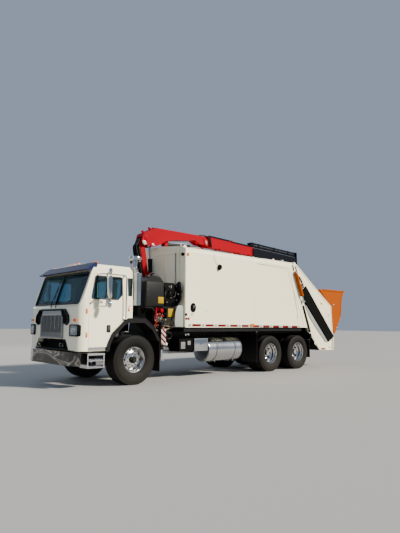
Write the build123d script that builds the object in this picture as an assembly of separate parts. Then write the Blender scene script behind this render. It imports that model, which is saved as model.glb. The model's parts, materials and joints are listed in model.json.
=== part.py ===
from build123d import *
import math
import os

# A three-axle refuse truck with a rear loading tailgate and a folding loader crane behind the cab.
# Every length is in millimetres. X points forward, Y to the left and Z up, with the ground at Z = 0.
# Places along X are measured from the front axle. The finished pieces are moved along X at the end,
# so that the middle of the vehicle's length lies over the origin.

# Clearances: between a door and its frame, in bearings and bores, and round window panes
SHUT_GAP = 7
RUN_GAP = 0.4
GLASS_GAP = 0.3

# The vehicle's half width, which the load body fills, and how far the cab stands in from it
VEHICLE_HALF_W = 1220
CAB_INSET = 20

# Tyres and rims
FRONT_TYRE_R = 561
FRONT_TYRE_W = 420
FRONT_TYRE_Y = 1012
REAR_TYRE_R = 524
REAR_TYRE_W = 280
REAR_OUTER_Y = 1080
DUAL_SPACING = 335
BEAD_R = 286
RIM_R = 307
RIM_WALL = 14
FRONT_RIM_W = 340
REAR_RIM_W = 236

# Wheel discs, hubs and drums
HAND_HOLES = 10
HAND_HOLE_R = 26
HAND_HOLE_PITCH_R = 215
HUB_R = 118
DRUM_R = 205

# Axles, knuckles and springs
REAR_AXLE_X = -4885
TANDEM_SPACING = 1352
AXLE_TUBE_R = 68
WALKING_BEAM_Y = 515
KINGPIN_Y = 820
KINGPIN_BOSS_R = 48
KINGPIN_BOSS_HALF = 70
SPINDLE_R = 45
AXLE_BEAM_Z = 470
AXLE_BEAM_HALF = 55
SPRING_Y = 385
SPRING_W = 80
SPRING_SEAT = 35

# Frame: two channel rails under everything
RAIL_OUT_Y = 430
RAIL_TOP = 1000
RAIL_DEPTH = 270
RAIL_FLANGE = 90
RAIL_PLATE = 12
RAIL_FRONT_X = 1340
RAIL_REAR_X = -6760
CROSS_MEMBERS_X = (1240, -1180, -1850, -3000, -4100, -5561, -6700)

# Engine and gearbox
ENGINE_FRONT_X = 1000
ENGINE_REAR_X = -250
GEARBOX_LENGTH = 690

# Cab: a box with a raked windscreen, rounded front corners and a crowned roof
CAB_HALF_W = VEHICLE_HALF_W - CAB_INSET
CAB_FRONT_X = 1440
CAB_REAR_X = 90
CAB_LOW_Z = 790
CAB_BELT_Z = 1756
CAB_ROOF_Z = 2670
CAB_CROWN = 70
CAB_WALL = 50
CAB_FLOOR_Z = 1180
CAB_CORNER_R = 190
TUNNEL_HALF_W = 500
TUNNEL_TOP_Z = 1330
CAB_HINGE_X = 1400
CAB_HINGE_Z = 800
CAB_HINGE_R = 28
CAB_HINGE_HALF_W = 870

# Windows: the windscreen's low and top edges as (x, z), and the others as ranges
SCREEN_LOW = (1373, 1790)
SCREEN_TOP = (1157, 2480)
SCREEN_HALF_W = CAB_HALF_W - 110
REAR_WINDOWS = [(-760, -420), (-330, 330), (420, 760)]
REAR_WINDOW_LOW_Z = 1950
REAR_WINDOW_TOP_Z = 2400
QUARTER_WINDOW = (112, 208, 2000, 2400)

# Doors, with their outlines as (x, z)
DOOR_REAR_X = 250
DOOR_TOP_Z = 2450
DOOR_WALL = 50
DOOR_OUTLINE = [(1196, CAB_LOW_Z + 10), (1206, 1850), (1096, DOOR_TOP_Z), (DOOR_REAR_X, DOOR_TOP_Z),
                (DOOR_REAR_X, 1490), (340, 1438), (636, 1166), (728, 976), (792, CAB_LOW_Z + 10)]
DOOR_WINDOW = [(1150, 1904), (1056, 2380), (1030, 2405), (410, 2405), (376, 2370), (376, 2013),
               (480, 1904)]

# Cab front: visor, grille, lamps and mirrors
VISOR_TOP = (1035, 2712)
VISOR_LIP = (1280, 2535)
VISOR_PLATE = 14
VISOR_INSET = 55
GRILLE_STAND = 35
GRILLE_HALF_W = 545
GRILLE_HEAD_HALF_W = 455
GRILLE_LOW_Z = 1040
GRILLE_TOP_Z = 1652
GRILLE_HEADER = 95
GRILLE_BARS = 16
SURROUND_HALF_W = 760
SURROUND_STAND = 16
MARKER_SINK = 70
MARKER_RISE = 105
LAMP_Y = CAB_HALF_W - 165
MIRROR_Y = CAB_HALF_W + 250

# Bumper, its mounts and the tow eyes
BUMPER_LOW_Z = 480
BUMPER_TOP_Z = 768
BUMPER_HALF_W = CAB_HALF_W - 28
BUMPER_FRONT_X = CAB_FRONT_X + 30
BUMPER_REAR_X = RAIL_FRONT_X - 10
BUMPER_WING = 275
BUMPER_SWEEP = 70
BUMPER_WALL = 25
TOW_EYE_Y = 560
TOW_EYE_Z = 900
TOW_EYE_R = 28
TOW_EYE_OUT_R = 50
TOW_EYE_X = CAB_FRONT_X + 40

# Front fender arch, an angular band over the steered wheel, as (x, z)
FENDER_OUT_Y = CAB_HALF_W + 22
FENDER_IN_Y = 800
FENDER_OUTER = [(778, 763), (712, 968), (622, 1150), (312, 1432), (200, 1492), (-260, 1492),
                (-520, 1310), (-700, 990)]
FENDER_INNER = [(690, 775), (655, 930), (575, 1090), (290, 1345), (190, 1392), (-235, 1392),
                (-470, 1235), (-640, 975)]

# Entry steps below the doors
STEP_FRONT_X = 1200
STEP_REAR_X = 785
STEP_DEPTH = 320
STEP_THICK = 35
STEP_TREADS_Z = (430, 575)
STEP_TOP_Z = 700

# Intake stack behind the cab
STACK_X = -205
STACK_Y = 950
STACK_R = 100
STACK_CAP_X = -128
STACK_CAP_R = 152

# Fuel tank and boxes on the rails
TANK_R = 312
TANK_Y = 860
TANK_Z = 705
TANK_FRONT_X = -2370
TANK_REAR_X = -3650

# Load body
BODY_FRONT_X = -1420
BODY_BOTTOM_Z = 1290
BODY_HALF_W = VEHICLE_HALF_W
BODY_SIDE_TOP_Z = 3330
BODY_CROWN_Z = 3420
BODY_WALL = 60
BODY_SHOULDER_R = 150
COLLAR = 8
COLLAR_EDGE = [(-4560, 3500), (-4740, 3130), (-5640, 3095), (-5740, 3040), (-5796, 2930), (-6439, 1628),
               (-6600, 1270)]
SILL_FRONT_X = -1480
SILL_REAR_X = -6480
BEARERS = 9
BEARER_LOW_Z = 1180

# Tailgate, its hinge, outlines as (x, z), lift cylinders and packer blade
HINGE_X = -6050
HINGE_Z = 3330
HINGE_LUGS_Y = (-900, 900)
HINGE_PIN_R = 28
LUG_HALF_W = 32
LUG_R = 58
SEAM_GAP = 6
BODY_REAR_LINE = [(HINGE_X - SEAM_GAP, HINGE_Z), (-6471, 1979), (-6740, 1290)]
TAILGATE_OUTER = [(HINGE_X - 60, HINGE_Z + 38), (-7096, 2716), (-8192, 2018), (-8261, 929),
                  (-8215, 511), (-7427, 543), (-6840, 1134), (-6486, 1979), (HINGE_X - 22, HINGE_Z)]
TAILGATE_INNER = [(-6000, 3320), (-7065, 2660), (-8130, 1985), (-8200, 925), (-8160, 575),
                  (-7450, 600), (-6850, 1200), (-6000, 1300)]
TAILGATE_WALL = 60
COVER_OUTLINE = [(-6668, 2625), (-6520, 2490), (-6530, 2150), (-6725, 1985), (-7937, 806), (-8258, 985)]
COVER_FLANGE = [(-6620, 2030), (-6725, 1985), (-7937, 806), (-7745, 826)]
COVER_THICK = 45
LIFT_TOP = (-6070, 3020)
LIFT_FOOT = (-6480, 2110)
LIFT_R = 56
LIFT_ROD_R = 24
LIFT_Y = BODY_HALF_W + COLLAR + LIFT_R + 8
LIFT_EYE_SHOULDER = 2
LIFT_EYE_HALF_W = LIFT_ROD_R + LIFT_EYE_SHOULDER
LIFT_EYE_R = 38
LIFT_PIN_R = 28
BLADE_X = -7500
BLADE_Z = 1980

# Hopper behind the tailgate, as (x, z), up to the vehicle's rear end
REAR_END_X = -9120
HOPPER_RIM_Z = 2600
HOPPER_RIM = 60
HOPPER_OUTER = [(-7560, 2570), (-9060, 2590), (-9045, 2420), (-8960, 2358), (-8850, 1665), (-8440, 1080),
                (-8261, 1080), (-8261, 929), (-8192, 2018)]
HOPPER_INNER = [(-7500, 2700), (-9022, 2700), (-9007, 2440), (-8922, 2378), (-8812, 1688), (-8425, 1125),
                (-8200, 1140), (-8150, 2020)]
HOPPER_WALL = 40

# Crane base, outriggers and tanks behind the cab
SLEW_X = -1060
RING_TOP_Z = 1740
RING_R = 260
OUTRIGGER_X = -815
HOUSING_SIDE = 150
BEAM_SIDE = 110
BEAM_GAP = 5
LEG_Y = 1120
LEG_R = 37
SHELF_Z = 1750
SHELF_THICK = 40
OIL_TANK_FRONT_X = -380
OIL_TANK_REAR_X = -920
OIL_TANK_TOP_Z = 2380
OIL_TANK_ARCH = 150
OIL_TANK_Y = 1060
OIL_TANK_DEPTH = 470

# Crane column and booms: pivots as (x, z)
PIVOT_X = -963
PIVOT_Z = 3496
PIVOT_R = 45
COLUMN_HALF_W = 85
CHEEK_OUT = 150
CHEEK_IN = 108
ELBOW_X = -3200
ELBOW_Z = 3775
BOOM_SLOPE = math.radians(2.2)
BOOM_START = (ELBOW_X - 175, ELBOW_Z + 47)
TUBE_END_S = 1940
PACK_END_S = 4360
TIP_PLATE = 40
TIP_EYE_S = PACK_END_S + 80
TIP_EYE_R = 24
TIP_EYE_HALF_W = 20
BAR_HALF_W = 85
BAR_DEPTH = 170
BAR_AXIS_T = -30
BORE_START_S = 300
BAR_START_S = 340
LIFT_BOOM_FOOT = (-1300, 2640)
LIFT_BOOM_EYE = (-1250, 3470)
LIFT_BARREL_R = 62
LIFT_RAM_R = 36
LIFT_EYE_HALF = 40
BOOM_FOOT = (-1760, 3555)
BOOM_EYE = (ELBOW_X + 50, ELBOW_Z - 145)
FOLD_BARREL_R = 50
FOLD_RAM_R = 28
FOLD_EYE_HALF = 34

# The vehicle's front end, and the middle of its length
FRONT_END_X = TOW_EYE_X + TOW_EYE_OUT_R
MIDDLE_X = (FRONT_END_X + REAR_END_X) / 2


def box(x_low, x_high, y_low, y_high, z_low, z_high):
    """A block between pairs of planes."""
    block = Box(x_high - x_low, y_high - y_low, z_high - z_low)
    return Pos((x_low + x_high) / 2, (y_low + y_high) / 2, (z_low + z_high) / 2) * block


def side_prism(outline, y_low, y_high):
    """A solid with its outline given as (x, z) points, from one Y plane to another."""
    wire = Wire.make_polygon([(x, y_low, z) for x, z in outline], close=True)
    return extrude(Face(wire), y_high - y_low, dir=(0, 1, 0))


def plan_prism(outline, z_low, z_high):
    """A solid with its outline given as (x, y) points, from one Z plane to another."""
    wire = Wire.make_polygon([(x, y, z_low) for x, y in outline], close=True)
    return extrude(Face(wire), z_high - z_low, dir=(0, 0, 1))


def front_prism(outline, x_low, x_high):
    """A solid with its outline given as (y, z) points, from one X plane to another."""
    wire = Wire.make_polygon([(x_low, y, z) for y, z in outline], close=True)
    return extrude(Face(wire), x_high - x_low, dir=(1, 0, 0))


def rod(start, end, radius):
    """A round bar from one point to another."""
    run = Vector(*end) - Vector(*start)
    bar = Pos(0, 0, run.length / 2) * Cylinder(radius, run.length)
    return Plane(origin=start, z_dir=run) * bar


def mirrored(shape):
    """The same piece on the right side."""
    return mirror(shape, about=Plane.XZ)


def both_sides(shape):
    """The piece and its twin on the right side, as solids apart."""
    return group([shape, mirrored(shape)])


def group(shapes):
    """Solids that don't touch, kept as one node."""
    solids = [solid for shape in shapes for solid in shape.solids()]
    return Compound(children=solids)


def fuse(shapes):
    """Pieces that are joined into one solid."""
    return shapes[0] + list(shapes[1:])


def spun(profile):
    """A turned piece about the Y axis, from (radius, y) points."""
    wire = Wire.make_polygon([(r, y, 0) for r, y in profile], close=True)
    return revolve(Face(wire), axis=Axis.Y)


def tyre(radius, width, rim_width):
    """A tyre's outer form, without its tread pattern, centred on its own axle."""
    half = width / 2
    seat = rim_width / 2 - RIM_WALL
    bulge_r = (RIM_R + radius) / 2
    half_profile = [(BEAD_R, seat), (RIM_R, seat), (bulge_r, half), (radius - 40, half * 0.94),
                    (radius, half * 0.8)]
    profile = half_profile + [(r, -y) for r, y in reversed(half_profile)]
    return spun(profile)


def rim(width):
    """A wheel's barrel with a flange at each edge."""
    edge = width / 2
    seat = edge - RIM_WALL
    inner = BEAD_R - RIM_WALL
    half_profile = [(BEAD_R, seat), (RIM_R, seat), (RIM_R, edge), (inner, edge)]
    profile = half_profile + [(r, -y) for r, y in reversed(half_profile)]
    return spun(profile)


def pierced_disc(rim_y, hub_y, hub_r):
    """A wheel's disc, coned from the rim to the hub, with its ring of hand holes."""
    outer = BEAD_R - RIM_WALL / 2
    thick = 16
    disc = spun([(0, hub_y), (hub_r, hub_y), (outer, rim_y), (outer, rim_y - thick),
                 (hub_r, hub_y - thick), (0, hub_y - thick)])
    low = min(rim_y, hub_y) - 3 * thick
    high = max(rim_y, hub_y) + 3 * thick
    for turn in range(HAND_HOLES):
        angle = math.radians(turn * 360 / HAND_HOLES)
        x = HAND_HOLE_PITCH_R * math.cos(angle)
        z = HAND_HOLE_PITCH_R * math.sin(angle)
        disc -= rod((x, low, z), (x, high, z), HAND_HOLE_R)
    return disc


def front_wheel():
    """The steered wheel's rim, disc, hub and brake drum, about its own middle, outside at +Y."""
    disc_y = 96
    pieces = [rim(FRONT_RIM_W), pierced_disc(60, disc_y, HUB_R + 30),
              spun([(0, disc_y - 10), (HUB_R, disc_y - 10), (HUB_R, disc_y + 30), (78, disc_y + 40),
                    (70, disc_y + 95), (0, disc_y + 100)])]
    drum = spun([(SPINDLE_R + RUN_GAP, disc_y - 12), (DRUM_R, disc_y - 12), (DRUM_R, -60),
                 (DRUM_R - 25, -60), (DRUM_R - 25, disc_y - 60), (SPINDLE_R + RUN_GAP, disc_y - 60)])
    return fuse(pieces + [drum])


def rear_wheel_pair():
    """Twin rims on one hub, about the outer wheel's middle, outside at +Y."""
    seat_y = -DUAL_SPACING / 2
    outer = [rim(REAR_RIM_W), pierced_disc(-40, seat_y + 40, HUB_R + 30)]
    inner = Pos(0, -DUAL_SPACING, 0) * rim(REAR_RIM_W)
    inner_disc = spun([(0, seat_y + 26), (HUB_R + 30, seat_y + 26), (BEAD_R - 8, seat_y - 86),
                       (BEAD_R - 8, seat_y - 102), (HUB_R + 30, seat_y + 8), (0, seat_y + 8)])
    hub = spun([(0, seat_y), (HUB_R, seat_y), (HUB_R, seat_y + 62), (90, seat_y + 70),
                (82, seat_y + 170), (0, seat_y + 176)])
    drum = spun([(AXLE_TUBE_R + RUN_GAP, seat_y + 12), (DRUM_R, seat_y + 12), (DRUM_R, seat_y - 200),
                 (DRUM_R - 25, seat_y - 200), (DRUM_R - 25, seat_y - 30),
                 (AXLE_TUBE_R + RUN_GAP, seat_y - 30)])
    return fuse(outer + [inner, inner_disc, hub, drum])


def frame_rails():
    """Two channel rails with cross-members, and the cross tube that the cab tilts about."""
    low = RAIL_TOP - RAIL_DEPTH
    inner = RAIL_OUT_Y - RAIL_FLANGE
    web = box(RAIL_REAR_X, RAIL_FRONT_X, RAIL_OUT_Y - RAIL_PLATE, RAIL_OUT_Y, low, RAIL_TOP)
    top = box(RAIL_REAR_X, RAIL_FRONT_X, inner, RAIL_OUT_Y, RAIL_TOP - RAIL_PLATE, RAIL_TOP)
    bottom = box(RAIL_REAR_X, RAIL_FRONT_X, inner, RAIL_OUT_Y, low, low + RAIL_PLATE)
    rail = fuse([web, top, bottom])
    pieces = [rail, mirrored(rail)]
    reach = RAIL_OUT_Y - RAIL_PLATE
    for x in CROSS_MEMBERS_X:
        pieces.append(box(x - 50, x + 50, -reach, reach, low + 120, RAIL_TOP - 20))
    tube = rod((CAB_HINGE_X, -CAB_HINGE_HALF_W, CAB_HINGE_Z),
               (CAB_HINGE_X, CAB_HINGE_HALF_W, CAB_HINGE_Z), CAB_HINGE_R)
    horn = box(RAIL_FRONT_X - 120, CAB_HINGE_X, RAIL_OUT_Y, RAIL_OUT_Y + 30,
               CAB_HINGE_Z - 20, CAB_HINGE_Z + 20)
    return fuse(pieces + [tube, horn, mirrored(horn)])


def bumper_plan(wall):
    """The bumper's outline from above, drawn in by a wall and run out behind."""
    behind = 1 if wall else 0
    half = [(BUMPER_REAR_X - behind, BUMPER_HALF_W - BUMPER_WALL - wall),
            (BUMPER_FRONT_X - BUMPER_SWEEP - wall, BUMPER_HALF_W - wall),
            (BUMPER_FRONT_X - wall, BUMPER_HALF_W - BUMPER_WING)]
    return half + [(x, -y) for x, y in reversed(half)]


def front_bumper():
    """A deep channel bumper with swept-back ends, open behind, on two mounts from the rails."""
    shell = plan_prism(bumper_plan(0), BUMPER_LOW_Z, BUMPER_TOP_Z)
    shell -= plan_prism(bumper_plan(BUMPER_WALL), BUMPER_LOW_Z + BUMPER_WALL, BUMPER_TOP_Z - BUMPER_WALL)
    shell -= box(BUMPER_REAR_X - 1, RAIL_FRONT_X, -RAIL_OUT_Y - 20, RAIL_OUT_Y + 20,
                 BUMPER_LOW_Z - 1, BUMPER_TOP_Z + 1)
    mount = box(RAIL_FRONT_X, BUMPER_FRONT_X - BUMPER_WALL + 5, RAIL_OUT_Y - 80, RAIL_OUT_Y - 20,
                RAIL_TOP - RAIL_DEPTH - 20, BUMPER_TOP_Z)
    return fuse([shell, mount, mirrored(mount)])


def tow_eyes():
    """A bright tow eye that stands forward of the cab's lower opening, with its bar to the rail."""
    x = TOW_EYE_X
    half = 18
    rear = RAIL_FRONT_X - 200
    eye = rod((x, TOW_EYE_Y - half, TOW_EYE_Z), (x, TOW_EYE_Y + half, TOW_EYE_Z), TOW_EYE_OUT_R)
    shank = box(rear, x, TOW_EYE_Y - half, TOW_EYE_Y + half, TOW_EYE_Z - 36, TOW_EYE_Z + 36)
    foot = box(rear, rear + 100, RAIL_OUT_Y, TOW_EYE_Y + half, TOW_EYE_Z - 45, TOW_EYE_Z - 15)
    body = fuse([eye, shank, foot])
    return body - rod((x, TOW_EYE_Y - 30, TOW_EYE_Z), (x, TOW_EYE_Y + 30, TOW_EYE_Z), TOW_EYE_R)


def front_axle():
    """A dropped axle beam with its kingpin bosses and two leaf springs hung from the rails."""
    end = KINGPIN_Y - 60
    low, high = AXLE_BEAM_Z - AXLE_BEAM_HALF, AXLE_BEAM_Z + AXLE_BEAM_HALF
    eye_low, eye_high = FRONT_TYRE_R - 55, FRONT_TYRE_R + 40
    right = [(600, low), (end, eye_low), (end, eye_high), (700, eye_high), (560, high)]
    outline = right + [(-y, z) for y, z in reversed(right)]
    beam = front_prism(outline, -45, 45)
    link = box(-40, 40, end - 20, KINGPIN_Y - 20, eye_low + 5, eye_high)
    boss = rod((0, KINGPIN_Y, FRONT_TYRE_R - KINGPIN_BOSS_HALF),
               (0, KINGPIN_Y, FRONT_TYRE_R + KINGPIN_BOSS_HALF), KINGPIN_BOSS_R)
    pieces = [beam, boss, mirrored(boss), link, mirrored(link)]
    hanger_low = RAIL_TOP - RAIL_DEPTH - 50
    half = [(0, high + 20), (380, high + 65), (760, hanger_low + 10),
            (760, hanger_low + 32), (380, high + 115), (0, high + 80)]
    leaf = half + [(-x, z) for x, z in reversed(half[1:-1])]
    spring = side_prism(leaf, SPRING_Y - SPRING_W / 2, SPRING_Y + SPRING_W / 2)
    seat = box(-90, 90, SPRING_Y - 50, SPRING_Y + 50, high - 5, high + SPRING_SEAT)
    hangers = [box(x - 45, x + 45, SPRING_Y - 45, SPRING_Y + 45, hanger_low, RAIL_TOP - RAIL_DEPTH)
               for x in (740, -740)]
    for piece in [spring, seat] + hangers:
        pieces += [piece, mirrored(piece)]
    return fuse(pieces)


def knuckle():
    """The left steering knuckle: a fork round the beam's end, its spindle and the steering arm."""
    y = KINGPIN_Y
    reach = KINGPIN_BOSS_HALF + RUN_GAP
    back = KINGPIN_BOSS_R + 5
    plate = 36
    fork = box(-50, 50, y + back, y + back + 40, FRONT_TYRE_R - reach - plate, FRONT_TYRE_R + reach + plate)
    top = box(-50, 50, y - 45, y + back + 5, FRONT_TYRE_R + reach, FRONT_TYRE_R + reach + plate)
    bottom = box(-50, 50, y - 45, y + back + 5, FRONT_TYRE_R - reach - plate, FRONT_TYRE_R - reach)
    spindle = rod((0, y + back + 30, FRONT_TYRE_R), (0, FRONT_TYRE_Y + 76, FRONT_TYRE_R), SPINDLE_R)
    arm = box(-210, -40, y - 40, y + 10, FRONT_TYRE_R - reach - plate, FRONT_TYRE_R - reach - 16)
    return fuse([fork, top, bottom, spindle, arm])


def rear_axles():
    """Two drive axles with their gear housings on walking beams and a centre saddle."""
    pieces = []
    for x in (REAR_AXLE_X, REAR_AXLE_X - TANDEM_SPACING):
        centre = (x, 0, REAR_TYRE_R)
        half = REAR_OUTER_Y - DUAL_SPACING / 2 - RUN_GAP
        tube = rod((x, -half, REAR_TYRE_R), (x, half, REAR_TYRE_R), AXLE_TUBE_R)
        pieces += [tube, Pos(*centre) * Sphere(205)]
    middle = REAR_AXLE_X - TANDEM_SPACING / 2
    walking = side_prism([(REAR_AXLE_X + 90, REAR_TYRE_R - 70), (REAR_AXLE_X + 90, REAR_TYRE_R + 60),
                          (middle, REAR_TYRE_R + 120),
                          (REAR_AXLE_X - TANDEM_SPACING - 90, REAR_TYRE_R + 60),
                          (REAR_AXLE_X - TANDEM_SPACING - 90, REAR_TYRE_R - 70),
                          (middle, REAR_TYRE_R - 110)], WALKING_BEAM_Y - 40, WALKING_BEAM_Y + 40)
    saddle = front_prism([(RAIL_OUT_Y, RAIL_TOP - 60), (RAIL_OUT_Y, RAIL_TOP - 250),
                          (WALKING_BEAM_Y - 30, REAR_TYRE_R + 60), (WALKING_BEAM_Y + 30, REAR_TYRE_R + 60),
                          (WALKING_BEAM_Y + 30, RAIL_TOP - 250), (RAIL_OUT_Y + 20, RAIL_TOP - 60)],
                         middle - 160, middle + 160)
    shaft = rod((REAR_AXLE_X + 190, 0, REAR_TYRE_R + 40),
                (ENGINE_REAR_X - GEARBOX_LENGTH, 0, REAR_TYRE_R + 260), 55) - gearbox()
    link = rod((REAR_AXLE_X - 190, 0, REAR_TYRE_R), (REAR_AXLE_X - TANDEM_SPACING + 190, 0, REAR_TYRE_R), 55)
    return fuse(pieces + [walking, mirrored(walking), saddle, mirrored(saddle), shaft, link])


def gearbox():
    """The gearbox's plain block, behind the engine."""
    return box(ENGINE_REAR_X - GEARBOX_LENGTH, ENGINE_REAR_X, -220, 220, 620, 960)


def engine():
    """The engine as one plain block, with its gearbox behind."""
    block = box(ENGINE_REAR_X, ENGINE_FRONT_X, -330, 330, 600, 1290)
    return fuse([block, gearbox()])


def fender():
    """The left front fender: an angular arch with its skirt inside, a bracket and a mud flap."""
    tail_x, tail_z = FENDER_OUTER[-1]
    arch = side_prism(FENDER_OUTER + list(reversed(FENDER_INNER)), FENDER_IN_Y, FENDER_OUT_Y)
    bracket = box(tail_x + 40, tail_x + 110, RAIL_OUT_Y, FENDER_IN_Y + 10, tail_z - 30, tail_z + 20)
    flap = box(tail_x - 12, tail_x, FENDER_IN_Y + 20, FENDER_OUT_Y - 12, 260, tail_z)
    clamp = box(tail_x - 12, tail_x + 50, FENDER_IN_Y + 20, FENDER_OUT_Y - 12, tail_z - 22, tail_z + 6)
    return fuse([arch, bracket, clamp, flap])


def cab_section(inset):
    """The cab's cross-section: upright sides, leaning in above the belt, and a crowned roof."""
    side = CAB_HALF_W - inset
    top = CAB_ROOF_Z - inset
    lean = 45
    crown = ThreePointArc((side - lean - 80, top), (0, top + CAB_CROWN), (-(side - lean - 80), top))
    left = Polyline((-(side - lean - 80), top), (-(side - lean), top - 90), (-side, CAB_BELT_Z + 60),
                    (-side, CAB_LOW_Z - 50), (side, CAB_LOW_Z - 50), (side, CAB_BELT_Z + 60),
                    (side - lean, top - 90), (side - lean - 80, top))
    face = make_face(crown.edges() + left.edges())
    return extrude(Plane(origin=(-300, 0, 0), x_dir=(0, 1, 0), z_dir=(1, 0, 0)) * face, 2200)


def cab_side(inset):
    """The cab's outline from the side, with the arch cut off its rear bottom corner."""
    front = CAB_FRONT_X - inset
    rear = CAB_REAR_X + inset
    low = CAB_LOW_Z if inset == 0 else CAB_FLOOR_Z
    rear_low = 1500 + (inset and 30)
    foot = 782 if inset == 0 else 600
    outline = [(front - 20, low), (front, low + 20), (front, CAB_BELT_Z - 30),
               (front - 40, CAB_BELT_Z), (1140 - inset, 2510), (1010 - inset, CAB_ROOF_Z + 100),
               (rear + 60, CAB_ROOF_Z + 100), (rear, 2560), (rear, rear_low)]
    if inset == 0:
        outline += [(200, 1500), (320, 1440), (630, 1158), (720, 972), (foot, low)]
    else:
        outline += [(330, rear_low), (foot + 30, low)]
    return side_prism(outline, -CAB_HALF_W - 50, CAB_HALF_W + 50)


def cab_plan(inset):
    """The cab's outline from above, with rounded front corners."""
    side = CAB_HALF_W - inset
    front = CAB_FRONT_X - inset
    radius = CAB_CORNER_R - inset / 2
    face = make_face(FilletPolyline((CAB_REAR_X - 100, side), (front, side), (front, -side),
                                    (CAB_REAR_X - 100, -side), radius=radius).edges()
                     + Line((CAB_REAR_X - 100, -side), (CAB_REAR_X - 100, side)).edges())
    return extrude(Pos(0, 0, CAB_LOW_Z - 60) * face, 2200)


def cab_form(inset):
    """The cab's solid form, drawn in by an inset."""
    return cab_section(inset) & cab_side(inset) & cab_plan(inset)


def grown(outline, gap):
    """A convex outline moved outwards by a gap, about its own middle."""
    mid_x = sum(x for x, z in outline) / len(outline)
    mid_z = sum(z for x, z in outline) / len(outline)
    reach_x = max(abs(x - mid_x) for x, z in outline)
    reach_z = max(abs(z - mid_z) for x, z in outline)
    return [(mid_x + (x - mid_x) * (1 + gap / reach_x), mid_z + (z - mid_z) * (1 + gap / reach_z))
            for x, z in outline]


def screen_cutter(margin, depth_low, depth_high):
    """A slab parallel to the windscreen: between two depths from its surface, narrowed by a margin."""
    run_x = SCREEN_TOP[0] - SCREEN_LOW[0]
    run_z = SCREEN_TOP[1] - SCREEN_LOW[1]
    length = math.hypot(run_x, run_z)
    normal = Vector(run_z / length, 0, -run_x / length)
    origin = Vector((SCREEN_LOW[0] + SCREEN_TOP[0]) / 2, 0, (SCREEN_LOW[1] + SCREEN_TOP[1]) / 2)
    slab = Box(2 * (SCREEN_HALF_W - margin), length - 2 * margin, depth_high - depth_low)
    slab = fillet(slab.edges().filter_by(Axis.Z), 70)
    plane = Plane(origin=origin, x_dir=(0, 1, 0), z_dir=normal)
    return plane * Pos(0, 0, (depth_low + depth_high) / 2) * slab


def cab_shell():
    """The cab's shell: walls and roof of one thickness, with its windows and door openings cut."""
    shell = cab_form(0) - cab_form(CAB_WALL)
    tunnel = box(CAB_REAR_X - 50, CAB_FRONT_X - 90, -TUNNEL_HALF_W, TUNNEL_HALF_W,
                 CAB_LOW_Z - 100, TUNNEL_TOP_Z)
    cover = box(CAB_REAR_X + 10, CAB_FRONT_X - 60, -TUNNEL_HALF_W - 40, TUNNEL_HALF_W + 40,
                CAB_FLOOR_Z - 20, TUNNEL_TOP_Z + 40)
    shell = fuse([shell, cover]) - tunnel
    mouth = [(-780, CAB_LOW_Z - 10), (-640, 1030), (640, 1030), (780, CAB_LOW_Z - 10)]
    shell -= front_prism(mouth, CAB_FRONT_X - 400, CAB_FRONT_X + 50)
    shell -= screen_cutter(0, -160, 160)
    bearing = rod((CAB_HINGE_X, 0, CAB_HINGE_Z), (CAB_HINGE_X, CAB_HINGE_HALF_W + 3, CAB_HINGE_Z),
                  CAB_HINGE_R + RUN_GAP)
    mouth_below = box(CAB_HINGE_X - CAB_HINGE_R - RUN_GAP, CAB_HINGE_X + CAB_HINGE_R + RUN_GAP, 0,
                      CAB_HINGE_HALF_W + 3, CAB_LOW_Z - 50, CAB_HINGE_Z)
    for cutter in (bearing, mouth_below):
        shell -= cutter
        shell -= mirrored(cutter)
    opening = grown(DOOR_OUTLINE, SHUT_GAP)
    doorway = side_prism(opening, CAB_HALF_W - DOOR_WALL - SHUT_GAP, CAB_HALF_W + 60)
    inner_opening = [(1150, CAB_LOW_Z + 60), (1160, 1850), (1055, 2400), (300, 2400), (300, 1530),
                     (390, 1470), (690, 1190), (770, 990), (835, CAB_LOW_Z + 60)]
    through = side_prism(inner_opening, 700, CAB_HALF_W)
    for cutter in (doorway, through):
        shell -= cutter
        shell -= mirrored(cutter)
    x_low, x_high, z_low, z_high = QUARTER_WINDOW
    shell -= box(x_low, x_high, -CAB_HALF_W - 50, CAB_HALF_W + 50, z_low, z_high)
    for y_low, y_high in REAR_WINDOWS:
        shell -= box(CAB_REAR_X - 50, CAB_REAR_X + 100, y_low, y_high, REAR_WINDOW_LOW_Z,
                     REAR_WINDOW_TOP_Z)
    return shell


def cab_glass():
    """Windscreen halves, quarter windows and rear windows."""
    pane = screen_cutter(GLASS_GAP, -30, -22) & cab_plan(GLASS_GAP)
    gap = box(0, CAB_FRONT_X + 200, -6, 6, 1500, 2900)
    panes = [pane - gap]
    x_low, x_high, z_low, z_high = QUARTER_WINDOW
    side = CAB_HALF_W - 45
    for y in (side, -side):
        panes.append(box(x_low + GLASS_GAP, x_high - GLASS_GAP, y - 3, y + 3,
                         z_low + GLASS_GAP, z_high - GLASS_GAP))
    for y_low, y_high in REAR_WINDOWS:
        panes.append(box(CAB_REAR_X + 20, CAB_REAR_X + 26, y_low + GLASS_GAP, y_high - GLASS_GAP,
                         REAR_WINDOW_LOW_Z + GLASS_GAP, REAR_WINDOW_TOP_Z - GLASS_GAP))
    return group(panes)


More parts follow.
